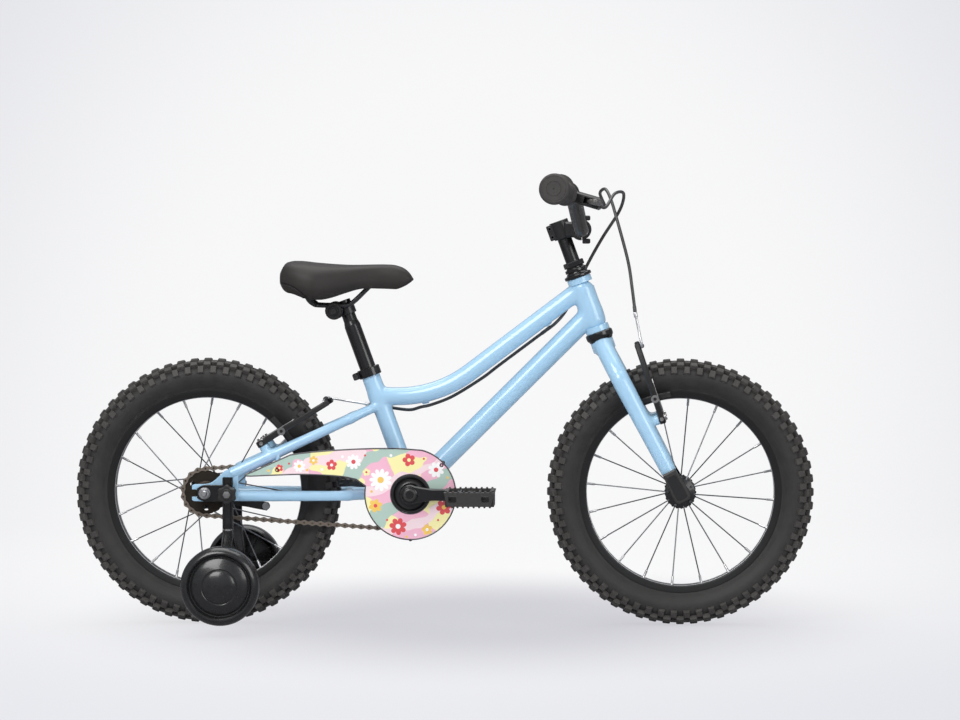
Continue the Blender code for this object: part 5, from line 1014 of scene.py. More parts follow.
crank_black = painted("crank_black", rgb(22, 22, 23), 0.20)
pedal_black = painted("pedal_black", rgb(50, 48, 46), 0.42)
crank_length = 0.095
SIDES = (("right", -1), ("left", 1))
for name, side in SIDES:
    along = Vector((-side, 0, 0))
    outward = Vector((0, side, 0))
    arm = []
    for i in range(17):
        angle = math.radians(60 + 240 * i / 16)
        arm.append((0.0155 * math.cos(angle), 0.0155 * math.sin(angle)))
    arm += [(0.020, -0.0112), (0.034, -0.0092), (0.075, -0.0092), (0.086, -0.0106)]
    for i in range(13):
        angle = math.radians(-80 + 160 * i / 12)
        arm.append((crank_length + 0.0110 * math.cos(angle), 0.0110 * math.sin(angle)))
    arm += [(0.086, 0.0106), (0.075, 0.0092), (0.034, 0.0092), (0.020, 0.0112)]
    forms = [plate(arm, bracket + outward * 0.0800, along, outward, 0.0120, 0.0020)]
    boss = [(0, 0.076), (0.0125, 0.076), (0.0124, 0.0862), (0.0116, 0.0884), (0.0106, 0.0890), (0, 0.0890)]
    forms.append(turned(bracket, outward, boss, 48))
    end = bracket + along * crank_length
    collar = [(0, 0.0800), (0.0072, 0.0800), (0.0072, 0.0868), (0.0060, 0.0872), (0.0045, 0.0872)]
    forms.append(turned(end, outward, collar + [(0.0045, 0.1590), (0, 0.1590)], 24))
    stub = [(0, -0.0742), (0.0050, -0.0742), (0.0050, -0.0730), (0, -0.0728)]
    forms.append(turned(end, -outward, stub, 24))
    made = piece(f"crank_{name}_arm", forms, crank_black, 30.0)
    fasten(made, "cranks", "crank_arm_" + name)
    cap = [(0, 0.0884), (0.0098, 0.0884), (0.0098, 0.0888), (0.0088, 0.0895), (0.0066, 0.0897)]
    cap += [(0.0060, 0.0886), (0, 0.0886)]
    made = piece(f"crank_{name}_cap", [turned(bracket, outward, cap, 36)], pedal_black)
    fasten(made, "cranks", "crank_arm_" + name)

    centre = end + outward * 0.1310
    cage = []
    rim_line = [(-0.0388, 0.0110)]
    for i in range(9):
        x = -0.0330 + i * 0.0082
        rim_line += [(x - 0.0016, 0.0110), (x - 0.0010, 0.0130), (x + 0.0014, 0.0130), (x + 0.0020, 0.0110)]
    outline = rim_line + [(0.0385, 0.0110), (0.0335, -0.0110)]
    outline += [(-x - 0.0012, -z) for x, z in rim_line[1:] if -0.0334 < -x - 0.0012 < 0.0330]
    outline.append((-0.0340, -0.0110))
    for level in (-0.0405, 0.0405):
        middle = centre + outward * level
        holes = []
        for x in (0.0245, -0.0255):
            window = oblong(0.0120, 0.0096, 0.0020)
            holes.append(plate(window, middle + Vector((x, 0, 0)), AHEAD, RIGHT, 0.03, 0.0))
        cage.append(carved(plate(outline, middle, AHEAD, RIGHT, 0.0070, 0.0006), *holes))
    for shift in (-0.0345, -0.0150, 0.0150, 0.0345):
        wide = 0.0050 if abs(shift) > 0.02 else 0.0042
        spot = centre + Vector((shift, 0, 0))
        cage.append(plate(oblong(wide, 0.0196, 0.0012), spot, AHEAD, RIGHT, 0.0800, 0.0))
    for level in (-0.020, 0.0, 0.020):
        middle = centre + outward * level
        cage.append(plate(oblong(0.0700, 0.0060, 0.0012), middle, AHEAD, RIGHT, 0.0036, 0.0004))
        for shift in (-0.0345, 0.0345):
            spot = middle + Vector((shift, 0, 0))
            cage.append(plate(oblong(0.0060, 0.0256, 0.0010), spot, AHEAD, RIGHT, 0.0080, 0.0008))
    barrel = [(0.0049, -0.0436), (0.0082, -0.0436), (0.0086, -0.0430), (0.0078, -0.0200), (0.0078, 0.0200)]
    barrel += [(0.0086, 0.0400), (0.0082, 0.0430), (0.0049, 0.0430)]
    cage.append(turned(centre, outward, barrel, 28, ring=True))
    made = piece(f"pedal_{name}_cage", cage, pedal_black, 30.0)
    fasten(made, "pedal_" + name, "pedal_" + name)

# Chain guard: a shallow moulded tray with a dark edge bead, a printed face and two screws. The
# print is flat pastel fields with flowers and dots, drawn by the surface's own maths.


def guard_line(draw_in):
    """The guard's edge about the bracket, as fine points: upper edge, tail's end, lower edge, round end."""
    upper = curve([
        (-0.020, 0.0714 - draw_in),
        (-0.070, 0.0708 - draw_in),
        (-0.125, 0.0678 - draw_in),
        (-0.166, 0.0640 - draw_in),
        (-0.186, 0.0610 - draw_in),
    ], 6)
    tail = [(-0.246 + draw_in * 0.4, 0.0340 - draw_in * 0.8), (-0.2555 + draw_in, 0.0302 - draw_in * 0.3)]
    tail += [(-0.2578 + draw_in * 1.5, 0.0288), (-0.2555 + draw_in, 0.0276 + draw_in * 0.3)]
    lower = curve([
        (-0.248 + draw_in, 0.0268 + draw_in),
        (-0.210, 0.0285 + draw_in),
        (-0.165, 0.0298 + draw_in),
        (-0.111, 0.0272 + draw_in),
        (-0.084, 0.0225 + draw_in),
    ], 6)
    points = [tuple(p) for p in upper] + tail + [tuple(p) for p in lower]
    big = 0.071 - draw_in
    for i in range(1, 73):
        angle = math.radians(166 + 273 * i / 73)
        points.append((big * math.cos(angle), big * math.sin(angle)))
    return points


def tray_rows(rows):
    """Rows of (draw in, y) joined into one skin, closed at both ends."""
    made = []
    for draw_in, y in rows:
        made.append([(bracket.x + x, y, bracket.z + z) for x, z in guard_line(draw_in)])
    count = len(made[0])
    faces = quads(len(rows), count)
    last = (len(rows) - 1) * count
    faces += [tuple(range(count))[::-1], tuple(range(last, last + count))]
    return np.vstack(made), faces


face = -0.0705
shell = tray_rows([
    (0.0006, face),
    (0.0002, face + 0.0004),
    (0.0, face + 0.0012),
    (0.0, face + 0.0086),
    (0.0004, face + 0.0090),
    (0.0014, face + 0.0090),
    (0.0018, face + 0.0086),
    (0.0018, face + 0.0018),
])
hole = turned(bracket, LEFT, drum(0, 0.0315, face - 0.01, face + 0.02), 96)
guard_form = carved(shell, hole)

guard_print = Finish("guard_print", {"Coat Weight": 0.55, "Coat Roughness": 0.10, "Roughness": 0.32})
across = guard_print.axis(0) - bracket.x
height = guard_print.axis(2) - bracket.z
warp = guard_print.noise(26.0, 1.0) - 0.5
pink = rgb(246, 188, 208)
cream = rgb(252, 244, 176)
sage = rgb(180, 204, 192)
blush = rgb(250, 224, 228)
white = rgb(253, 252, 250)
coral = rgb(226, 82, 86)
yellow = rgb(248, 204, 96)


def wave(frequency_x, frequency_z, phase):
    """A slow wave over the face, pushed about by the noise, for the edge of a colour field."""
    return (across * frequency_x + height * frequency_z + warp * 5.0 + phase).sine()


colour = guard_print.mix(wave(58.0, 40.0, 0.4).over(0.10, 0.16), pink, cream)
colour = guard_print.mix(wave(-44.0, 62.0, 2.0).over(0.48, 0.54), colour, sage)
colour = guard_print.mix(wave(36.0, -84.0, 4.1).over(0.66, 0.72), colour, blush)


def inked(gap):
    """1 where a printed edge lies beyond this place, over a rim as fine as ink's."""
    return gap.over(-0.00015, 0.00015)


def spot_at(x, z):
    """The distance and the angle from a point of the face."""
    off_x = across - x
    off_z = height - z
    return (off_x * off_x + off_z * off_z) ** 0.5, off_z.math("ARCTAN2", off_z, off_x)


def flower(colour, x, z, size, petals, petal_colour, heart_colour, turn):
    """A flower printed over what is there: round-ended petals about a dot."""
    depth = 0.42
    away, angle = spot_at(x, z)
    swing = (angle * (petals / 2) + turn).sine()
    reach = (swing.math("ABSOLUTE", swing) ** 0.6 * depth + (1 - depth)) * size
    colour = guard_print.mix(inked(reach - away), colour, petal_colour)
    return guard_print.mix(inked(size * 0.28 - away), colour, heart_colour)


def dots(colour, places, size, dot_colour):
    """Plain round dots printed over what is there."""
    for x, z in places:
        away, _ = spot_at(x, z)
        colour = guard_print.mix(inked(size - away), colour, dot_colour)
    return colour


for x, z, size, petals, petal, heart, turn in (
    (-0.046, 0.022, 0.0175, 11, white, yellow, 0.2),
    (0.040, 0.038, 0.0125, 8, white, coral, 0.0),
    (-0.019, -0.050, 0.0135, 7, coral, white, 0.5),
    (0.052, -0.020, 0.0120, 6, coral, yellow, 0.9),
    (0.026, -0.055, 0.0085, 5, yellow, white, 0.3),
    (-0.054, -0.018, 0.0105, 6, yellow, coral, 0.7),
    (-0.002, 0.053, 0.0100, 5, coral, cream, 0.1),
    (-0.088, 0.050, 0.0120, 9, white, coral, 0.4),
    (-0.122, 0.045, 0.0085, 5, coral, white, 0.9),
    (-0.150, 0.052, 0.0070, 6, yellow, white, 0.2),
    (-0.172, 0.043, 0.0095, 8, white, yellow, 0.6),
    (-0.203, 0.040, 0.0060, 5, coral, cream, 0.0),
    (-0.068, 0.034, 0.0060, 5, cream, coral, 0.5),
):
    colour = flower(colour, x, z, size, petals, petal, heart, turn)
for size, dot, places in (
    (0.0022, white, ((-0.030, 0.060), (0.061, 0.010), (0.008, -0.063), (-0.105, 0.058), (-0.137, 0.038))),
    (0.0017, coral, ((0.021, 0.055), (-0.036, -0.040), (-0.070, 0.060), (-0.188, 0.047), (0.043, -0.040))),
    (0.0020, yellow, ((-0.060, 0.004), (0.058, 0.026), (-0.160, 0.037), (-0.220, 0.036), (-0.006, -0.066))),
):
    colour = dots(colour, places, size, dot)
front = guard_print.axis(1).over(face + 0.0014, face + 0.0010)
scuff = guard_print.noise(140.0, 5.0)
guard_print.surface(
    Base_Color=guard_print.mix(front, rgb(238, 196, 212), colour),
    Roughness=0.28 + scuff * 0.14,
    Normal=guard_print.bump(guard_print.noise(300.0, 2.0), 0.0003, 0.15),
)
made = piece("guard_tray", [guard_form], guard_print, 36.0)
fasten(made, "frame", "chainguard")

guard_trim = painted("guard_trim", rgb(70, 66, 68), 0.36)
bead = [(bracket.x + x, face + 0.0006, bracket.z + z) for x, z in guard_line(0.0007)]
trim = [tube(bead + bead[:2], 0.0012, 8)]
for angle in (-90, 44):
    stop = polar(bracket, 0.0702, math.radians(angle), face + 0.0046)
    peg = [(0, -0.0040), (0.0026, -0.0040), (0.0032, -0.0030), (0.0032, 0.0030), (0, 0.0030)]
    trim.append(turned(stop, LEFT, peg, 16))
lip = [(0.0300, face + 0.0002), (0.0316, face), (0.0326, face + 0.0002), (0.0328, face + 0.0010)]
lip += [(0.0318, face + 0.0018), (0.0302, face + 0.0060), (0.0298, face + 0.0030)]
trim.append(turned(bracket, LEFT, lip, 96, ring=True))
for x, z in ((-0.2065, 0.0369), (0.0484, 0.0452)):
    trim.append(bolt_head(bracket + Vector((x, face + 0.0006, z)), -LEFT, 0.0036, 0.0006, 16, 0.4))
made = piece("guard_trim", trim, guard_trim, 40.0)
fasten(made, "frame", "chainguard")

# Axles: steel rods with cone nuts inside the frame's and fork's ends and wheel nuts outside, and
# the coaster arm, a black pressed plate that a bolt holds to the left chain stay.

axle_steel = plated("axle_steel", rgb(204, 204, 206), 0.26)


def nut(centre, axis, level, radius, height, corners=6):
    """A nut with chamfered corners, standing at a distance along an axis."""
    profile = [(0.0040, level), (radius * 0.93, level), (radius, level + height * 0.12)]
    profile += [(radius, level + height * 0.86), (radius * 0.90, level + height), (0.0040, level + height)]
    return turned(centre, axis, profile, corners, ring=True)


def washer(centre, axis, level, radius, thick=0.0012):
    """A flat washer, standing at a distance along an axis."""
    return turned(centre, axis, drum(0.0044, radius, level, level + thick), 32, ring=True)


def threaded(centre, axis, first, last, pitch=0.0010):
    """A threaded end of an axle, with a cone at its tip."""
    profile = [(0.0, first)]
    for i in range(int((last - first) / pitch)):
        root = first + i * pitch
        profile += [(0.0043, root), (0.0047, root + pitch / 2)]
    return turned(centre, axis, profile + [(0.0036, last), (0.0, last)], 20)


front_forms = [turned(front_axle, LEFT, drum(0, 0.0046, -0.062, 0.062), 24)]
rear_forms = [turned(rear_axle, LEFT, drum(0, 0.0046, -0.070, 0.070), 24)]
for side in (1, -1):
    outward = LEFT * side
    front_forms.append(nut(front_axle, outward, 0.0556, 0.0085, 0.0075))
    front_forms.append(threaded(front_axle, outward, 0.0600, 0.0672))
    front_forms.append(washer(front_axle, outward, 0.0473, 0.0088, 0.0010))
    front_forms.append(nut(front_axle, outward, 0.0484, 0.0088, 0.0012, 24))
    rear_forms.append(nut(rear_axle, outward, 0.0662, 0.0090, 0.0076))
    rear_forms.append(washer(rear_axle, outward, 0.0649, 0.0092))
    rear_forms.append(threaded(rear_axle, outward, 0.0700, 0.0778))
    rear_forms.append(nut(rear_axle, outward, 0.0496, 0.0093, 0.0050))
rear_forms.append(nut(rear_axle, LEFT, 0.0440, 0.0093, 0.0050))
for name, forms, body in (("front_axle", front_forms, "steering"), ("rear_axle", rear_forms, "frame")):
    made = piece(name + "_nuts", forms, axle_steel, 30.0)
    fasten(made, body, name)

arm_black = painted("arm_black", rgb(26, 26, 27), 0.24)
arm_line = curve([(-0.012, 0.004), (0.0, 0.0), (0.030, -0.0135), (0.060, -0.0225), (0.089, -0.0290)], 5)
widths = np.interp(np.linspace(0, 4, len(arm_line)), range(5), [0.020, 0.034, 0.022, 0.015, 0.013]) / 2
runs = np.gradient(arm_line, axis=0)
runs /= np.linalg.norm(runs, axis=1)[:, None]
normals = np.stack([-runs[:, 1], runs[:, 0]], 1)
shape = list(arm_line + normals * widths[:, None])[::-1] + list(arm_line - normals * widths[:, None])
forms = [plate(shape, rear_axle + LEFT * 0.0418, AHEAD, RIGHT, 0.0030, 0.0007)]
strap = rear_axle + Vector((0.086, 0.0418, -0.028))
forms.append(turned(strap, LEFT, drum(0, 0.0062, -0.0034, 0.0034), 24))
forms.append(turned(rear_axle + LEFT * 0.0403, LEFT, drum(0.0050, 0.0150, 0, 0.0030), 36, ring=True))
made = piece("coaster_plate", forms, arm_black, 32.0)
fasten(made, "frame", "coaster_arm")
forms = [
    turned(strap, LEFT, drum(0, 0.0030, -0.0050, 0.0110), 16),
    bolt_head(strap - LEFT * 0.0030, -LEFT, 0.0056, 0.0020, 24),
    nut(strap, LEFT, 0.0070, 0.0050, 0.0040),
]
made = piece("coaster_bolt", forms, axle_steel, 32.0)
fasten(made, "frame", "coaster_arm")

# Headset, stem and bar: black painted cups and locknut, a gloss black quill with a split clamp and
# a four-bolt faceplate, and one bent steel tube with rubber grips pushed on its ends.


def strip(middle, widths, parts=5):
    """The outline of a band along a line, with a width at each of the line's points."""
    line = curve([(x, y, 0.0) for x, y in middle], parts)[:, :2]
    half = np.interp(np.linspace(0, len(middle) - 1, len(line)), range(len(middle)), widths) / 2
    runs = np.gradient(line, axis=0)
    runs /= np.linalg.norm(runs, axis=1)[:, None]
    normals = np.stack([-runs[:, 1], runs[:, 0]], 1)
    edges = np.vstack([line - normals * half[:, None], (line + normals * half[:, None])[::-1]])
    return [tuple(p) for p in edges]


def box_at(spot, size, turn=(AHEAD, LEFT), corner=0.0012, edge=0.0007):
    """A moulded block: its length and width along turn's two directions, with rounded corners."""
    first, second = turn
    along = Vector(first).normalized().cross(Vector(second).normalized())
    return plate(oblong(size[0], size[1], corner), spot, first, along, size[2], edge)


gloss_black = painted("gloss_black", rgb(19, 19, 20), 0.16)
satin_black = painted("satin_black", rgb(27, 27, 28), 0.34)
bolt_black = plated("bolt_black", rgb(96, 96, 98), 0.30)
steer_side = Vector((steer_up.z, 0, -steer_up.x))

lower = [
    (0.0150, -0.0004), (0.0204, -0.0004), (0.0213, -0.0014), (0.0215, -0.0032), (0.0215, -0.0078),
    (0.0208, -0.0098), (0.0188, -0.0122), (0.0186, -0.0138), (0.0150, -0.0140),
]
upper = [
    (0.0150, 0.0004), (0.0204, 0.0004), (0.0213, 0.0012), (0.0215, 0.0024), (0.0215, 0.0046),
    (0.0206, 0.0056), (0.0178, 0.0064), (0.0160, 0.0086), (0.0156, 0.0100), (0.0150, 0.0100),
]
for name, centre, profile in (("lower", head_foot, lower), ("upper", head_top, upper)):
    made = piece(f"headset_{name}_race", [turned(centre, steer_up, profile, 64, ring=True)], gloss_black)
    fasten(made, "frame", f"headset_{name}_cup")
locknut = [turned(head_top, steer_up, [
    (0.0128, 0.0104), (0.0166, 0.0104), (0.0170, 0.0110), (0.0170, 0.0146), (0.0164, 0.0154),
    (0.0142, 0.0160), (0.0140, 0.0176), (0.0128, 0.0176),
], 56, ring=True)]
hexagon = [(0.0128, 0.0180), (0.0152, 0.0180), (0.0163, 0.0192), (0.0163, 0.0256), (0.0153, 0.0268)]
hexagon.append((0.0128, 0.0268))
locknut.append(turned(head_top, steer_up, hexagon, 6, ring=True))
made = piece("headset_locknut_ring", locknut, gloss_black, 24.0)
fasten(made, "steering", "headset_locknut")

stem_foot = head_top + steer_up * 0.0655
stem_middle = stem_foot + steer_up * 0.014
bar_centre = stem_middle + Vector((0.031, 0, 0))
quill = [
    (0, 0.0904), (0.0030, 0.0904), (0.0036, 0.0898), (0.0100, 0.0898), (0.0108, 0.0904),
    (0.0111, 0.0896), (0.0111, -0.0590), (0.0104, -0.0600), (0, -0.0600),
]
made = piece("quill_shaft", [turned(head_top, steer_up, quill, 56)], gloss_black)
fasten(made, "steering", "quill")

stem_sleeve = drum(0.0113, 0.0151, 0.0, 0.0280, 0.0007, 0.0008)
stem_forms = [turned(stem_foot, steer_up, stem_sleeve, 48, ring=True)]
for side in (1, -1):
    spot = stem_middle - steer_side * 0.0160 + LEFT * side * 0.0057
    stem_forms.append(box_at(spot, (0.0105, 0.0245, 0.0086), (steer_side, steer_up), 0.0022, 0.0006))
neck_middle = stem_middle + Vector((0.0145, 0, 0))
neck = box_at(neck_middle, (0.0200, 0.0245, 0.0340), (AHEAD, UP), 0.004, 0.003)
half_shell = drum(0.0117, 0.0166, -0.0208, 0.0208, 0.0006, 0.0008)
shell = turned(bar_centre, LEFT, half_shell, 48, ring=True)
ahead = box_at(bar_centre + Vector((0.0257, 0, 0)), (0.050, 0.060, 0.060), edge=0.0)
inside = turned(bar_centre, LEFT, drum(0, 0.0117, -0.05, 0.05), 40)
post = turned(stem_foot, steer_up, drum(0, 0.0113, -0.02, 0.06), 40)
stem_forms.append(carved(shell, ahead))
stem_forms.append(carved(neck, inside, post, ahead))
made = piece("stem_clamp", stem_forms, satin_black, 30.0)
fasten(made, "steering", "stem")
bolts = []
for level in (-0.0068, 0.0068):
    spot = stem_middle - steer_side * 0.0168 + steer_up * level - LEFT * 0.0100
    bolts.append(turned(spot, -LEFT, drum(0, 0.0024, -0.020, 0), 12))
    bolts.append(bolt_head(spot + LEFT * 0.0010, -LEFT, 0.0036, 0.0016, 20))
made = piece("stem_bolts", bolts, bolt_black, 30.0)
fasten(made, "steering", "stem")

face_profile = drum(0.0117, 0.0161, -0.0198, 0.0198, 0.0006, 0.0008)
face_shell = turned(bar_centre, LEFT, face_profile, 48, ring=True)
behind = box_at(bar_centre - Vector((0.0283, 0, 0)), (0.060, 0.060, 0.060), edge=0.0)
middle_gap = box_at(bar_centre + Vector((0.010, 0, 0)), (0.030, 0.0085, 0.060), edge=0.0)
face_forms = [carved(face_shell, behind, middle_gap)]
for rise in (-0.0180, 0.0180):
    spot = bar_centre + Vector((0.0080, 0, rise))
    lug_block = box_at(spot, (0.0118, 0.0076, 0.0330), (AHEAD, UP), 0.0018, 0.0008)
    face_forms.append(carved(lug_block, inside))
for rise in (-0.0178, 0.0178):
    for side in (1, -1):
        spot = bar_centre + Vector((0.0130, side * 0.0115, rise))
        face_forms.append(bolt_head(spot, AHEAD, 0.0030, 0.0013, 20))
made = piece("stem_face", face_forms, satin_black, 30.0)
fasten(made, "steering", "stem_faceplate")

bar_sweep = -0.0374
bar_rise = 0.0635
grip_start = bar_centre + Vector((bar_sweep * 0.47, 0.125, bar_rise * 0.84))
grip_end = bar_centre + Vector((bar_sweep, 0.258, bar_rise))
half_bar = [
    bar_centre,
    bar_centre + Vector((0, 0.036, 0)),
    bar_centre + Vector((-0.001, 0.050, bar_rise * 0.06)),
    bar_centre + Vector((bar_sweep * 0.27, 0.094, bar_rise * 0.69)),
    bar_centre + Vector((bar_sweep * 0.36, 0.108, bar_rise * 0.80)),
    grip_start,
    grip_end,
]


def flipped(spot, side):
    """A left-hand place, or its mirror on the right where side is -1."""
    return Vector((spot[0], spot[1] * side, spot[2]))


line = [flipped(p, -1) for p in half_bar[::-1]] + half_bar[1:]
bar_black = painted("bar_black", rgb(58, 56, 54), 0.22)
made = piece("bar_tube", [tube(curve(line, 10), 0.0111, 40)], bar_black)
fasten(made, "steering", "handlebar")

grip_rubber = Finish("grip_rubber", {"Specular IOR Level": 0.4})
dirt = grip_rubber.noise(60.0, 5.0)
grip_rubber.surface(
    Base_Color=grip_rubber.mix(dirt.over(0.4, 0.75) * 0.6, rgb(58, 56, 54), rgb(74, 72, 70)),
    Roughness=0.55 + dirt * 0.2,
    Normal=grip_rubber.bump(grip_rubber.noise(1500.0, 2.0), 0.0002, 0.6),
)
for name, side in SIDES:
    run = flipped((grip_end - grip_start).normalized(), side)
    tip = flipped(grip_end, side)
    profile = [(0, 0.0028), (0.0013, 0.0028), (0.0016, 0.0038), (0.0100, 0.0040), (0.0104, 0.0035)]
    profile += [(0.0114, 0.0035), (0.0118, 0.0040), (0.0178, 0.0039), (0.0184, 0.0032)]
    profile += [(0.0196, 0.0032), (0.0202, 0.0035)]
    profile += [(0.0220, 0.0024), (0.0233, 0.0006), (0.0237, -0.0018), (0.0233, -0.0042), (0.0214, -0.0056)]
    profile += [(0.0176, -0.0076), (0.0165, -0.0100)]
    ribs = 18
    for i in range(ribs):
        level = -0.0125 - i * 0.0044
        swell = 0.0010 * math.sin(math.pi * (i + 0.5) / ribs)
        for radius, drop in ((0.0153, 0.0), (0.0155, 0.0020), (0.0146, 0.0026), (0.0146, 0.0040)):
            profile.append((radius + swell, level - drop))
    profile += [(0.0160, -0.0930), (0.0178, -0.0955), (0.0185, -0.0965), (0.0185, -0.0994)]
    profile += [(0.0178, -0.1000), (0, -0.1000)]
    made = piece(f"grip_{name}_rubber", [turned(tip, run, profile, 56)], grip_rubber, 40.0)
    fasten(made, "steering", "grip_" + name)

# Brake levers: moulded black brackets clamped to the bar, with a hooded pivot and an adjuster
# barrel, and bent alloy blades that turn on a pin and end in a ball.

lever_black = painted("lever_black", rgb(32, 31, 31), 0.42)
tip_grey = painted("tip_grey", rgb(84, 81, 79), 0.44)


def lever_axes(side):
    """One bracket's centre on the bar, the way to the bar's end and the way ahead of it."""
    outward = flipped((grip_end - grip_start).normalized(), side)
    forward = Vector((1.0, 0.0, -0.30))
    forward = (forward - outward * forward.dot(outward)).normalized()
    return flipped(grip_start, side) + outward * 0.014, outward, forward


barrels = {}
for name, side in SIDES:
    middle, outward, forward = lever_axes(side)
    upward = outward.cross(forward).normalized()
    ring = drum(0.0113, 0.0157, -0.0070, 0.0070, 0.0007, 0.0008)
    forms = [turned(middle, outward, ring, 44, ring=True)]
    body_line = [(-0.001, 0.0120), (-0.001, 0.024), (-0.001, 0.036), (-0.001, 0.0535)]
    body = strip(body_line, [0.0150, 0.0200, 0.0240, 0.0255], 4)
    hood = plate(body, middle, outward, outward.cross(forward), 0.0172, 0.0022)
    mouth = middle + forward * 0.045 + outward * 0.006
    gap = box_at(mouth, (0.030, 0.034, 0.0090), (outward, forward), 0.001, 0.0)
    forms.append(carved(hood, gap))
    start = middle + forward * 0.044 - outward * 0.012
    barrels[side] = start - outward * 0.0163
    knurl = [(0, -0.001), (0.0041, -0.001), (0.0041, 0.0020), (0.0030, 0.0026), (0.0030, 0.0052)]
    for i in range(5):
        knurl += [(0.0044, 0.0058 + i * 0.0016), (0.0040, 0.0064 + i * 0.0016)]
    knurl += [(0.0040, 0.0140), (0.0033, 0.0148), (0.0033, 0.0158), (0, 0.0160)]
    forms.append(turned(start, -outward, knurl, 20))
    made = piece(f"lever_{name}_hood", forms, lever_black, 30.0)
    fasten(made, "steering", "lever_bracket_" + name)
    pivot = middle + outward * 0.004 + forward * 0.038
    pin = [(0, -0.0086), (0.0040, -0.0086), (0.0044, -0.0080), (0.0044, 0.0080), (0.0040, 0.0087)]
    pin.append((0, 0.0087))
    clamp_at = middle - forward * 0.0090 + upward * 0.0118
    screws = [turned(pivot, upward, pin, 20), bolt_head(clamp_at, upward, 0.0030, 0.0026, 20)]
    made = piece(f"lever_{name}_screws", screws, bolt_black, 30.0)
    fasten(made, "steering", "lever_bracket_" + name)
    band = strip(
        [(-0.007, -0.002), (0.004, 0.002), (0.020, 0.014), (0.045, 0.021), (0.070, 0.020)],
        [0.009, 0.011, 0.009, 0.0085, 0.008], 6,
    )
    blade_forms = [plate(band, pivot, outward, outward.cross(forward), 0.0078, 0.0020)]
    knob = pivot + outward * 0.074 + forward * 0.0195
    ball = both([(0, -0.0046), (0.0030, -0.0042), (0.0050, -0.0028), (0.0058, 0.0)])
    blade_forms.append(turned(knob, upward, ball, 28))
    made = piece(f"lever_{name}_blade", blade_forms, tip_grey, 34.0)
    fasten(made, "brake_lever_" + name, "lever_blade_" + name)

# Fork covers: moulded caps of black plastic that snap round each fork end and over its wheel nut,
# with a raised satin panel on each outer face.

cap_grey = painted("cap_grey", rgb(52, 50, 49), 0.34)
for name, side in SIDES:
    outward = LEFT * side
    outline = [
        (0.0400, 0.0108), (0.0200, 0.0120), (0.004, 0.0128), (-0.004, 0.0128), (-0.0084, 0.0122),
        (-0.0108, 0.0104), (-0.0118, 0.0080),
    ]
    outline = outline + [(x, -y) for x, y in outline[::-1]]
    block = plate(outline, front_axle + outward * 0.0638, -blade_down, LEFT, 0.0170, 0.0024)
    recess = turned(front_axle, outward, drum(0, 0.0105, 0.040, 0.0688), 36)
    leg = tube([blades[side][-9], blades[side][-1] + np.array(blade_down) * 0.002], 0.0130, 32)
    cover = carved(block, recess, leg)
    panel = [(x * 0.80 + 0.0015, y * 0.72) for x, y in outline]
    raised = plate(panel, front_axle + outward * 0.0720, -blade_down, LEFT, 0.0012, 0.0004)
    made = piece(f"fork_{name}_panel", [raised], satin_black, 30.0)
    fasten(made, "steering", "fork_cover_" + name)
    made = piece(f"fork_{name}_cap", [cover], cap_grey, 30.0)
    fasten(made, "steering", "fork_cover_" + name)

# Linear-pull brakes: forged black arms that turn on the frame's and fork's studs, held by bolts
# with washers and spring caps, with moulded shoes on threaded posts, bright noodles and boots.

arm_satin = painted("arm_satin", rgb(27, 26, 26), 0.30)
shoe_black = painted("shoe_black", rgb(33, 32, 32), 0.55)
bright_bolt = plated("bright_bolt", rgb(190, 190, 188), 0.20)


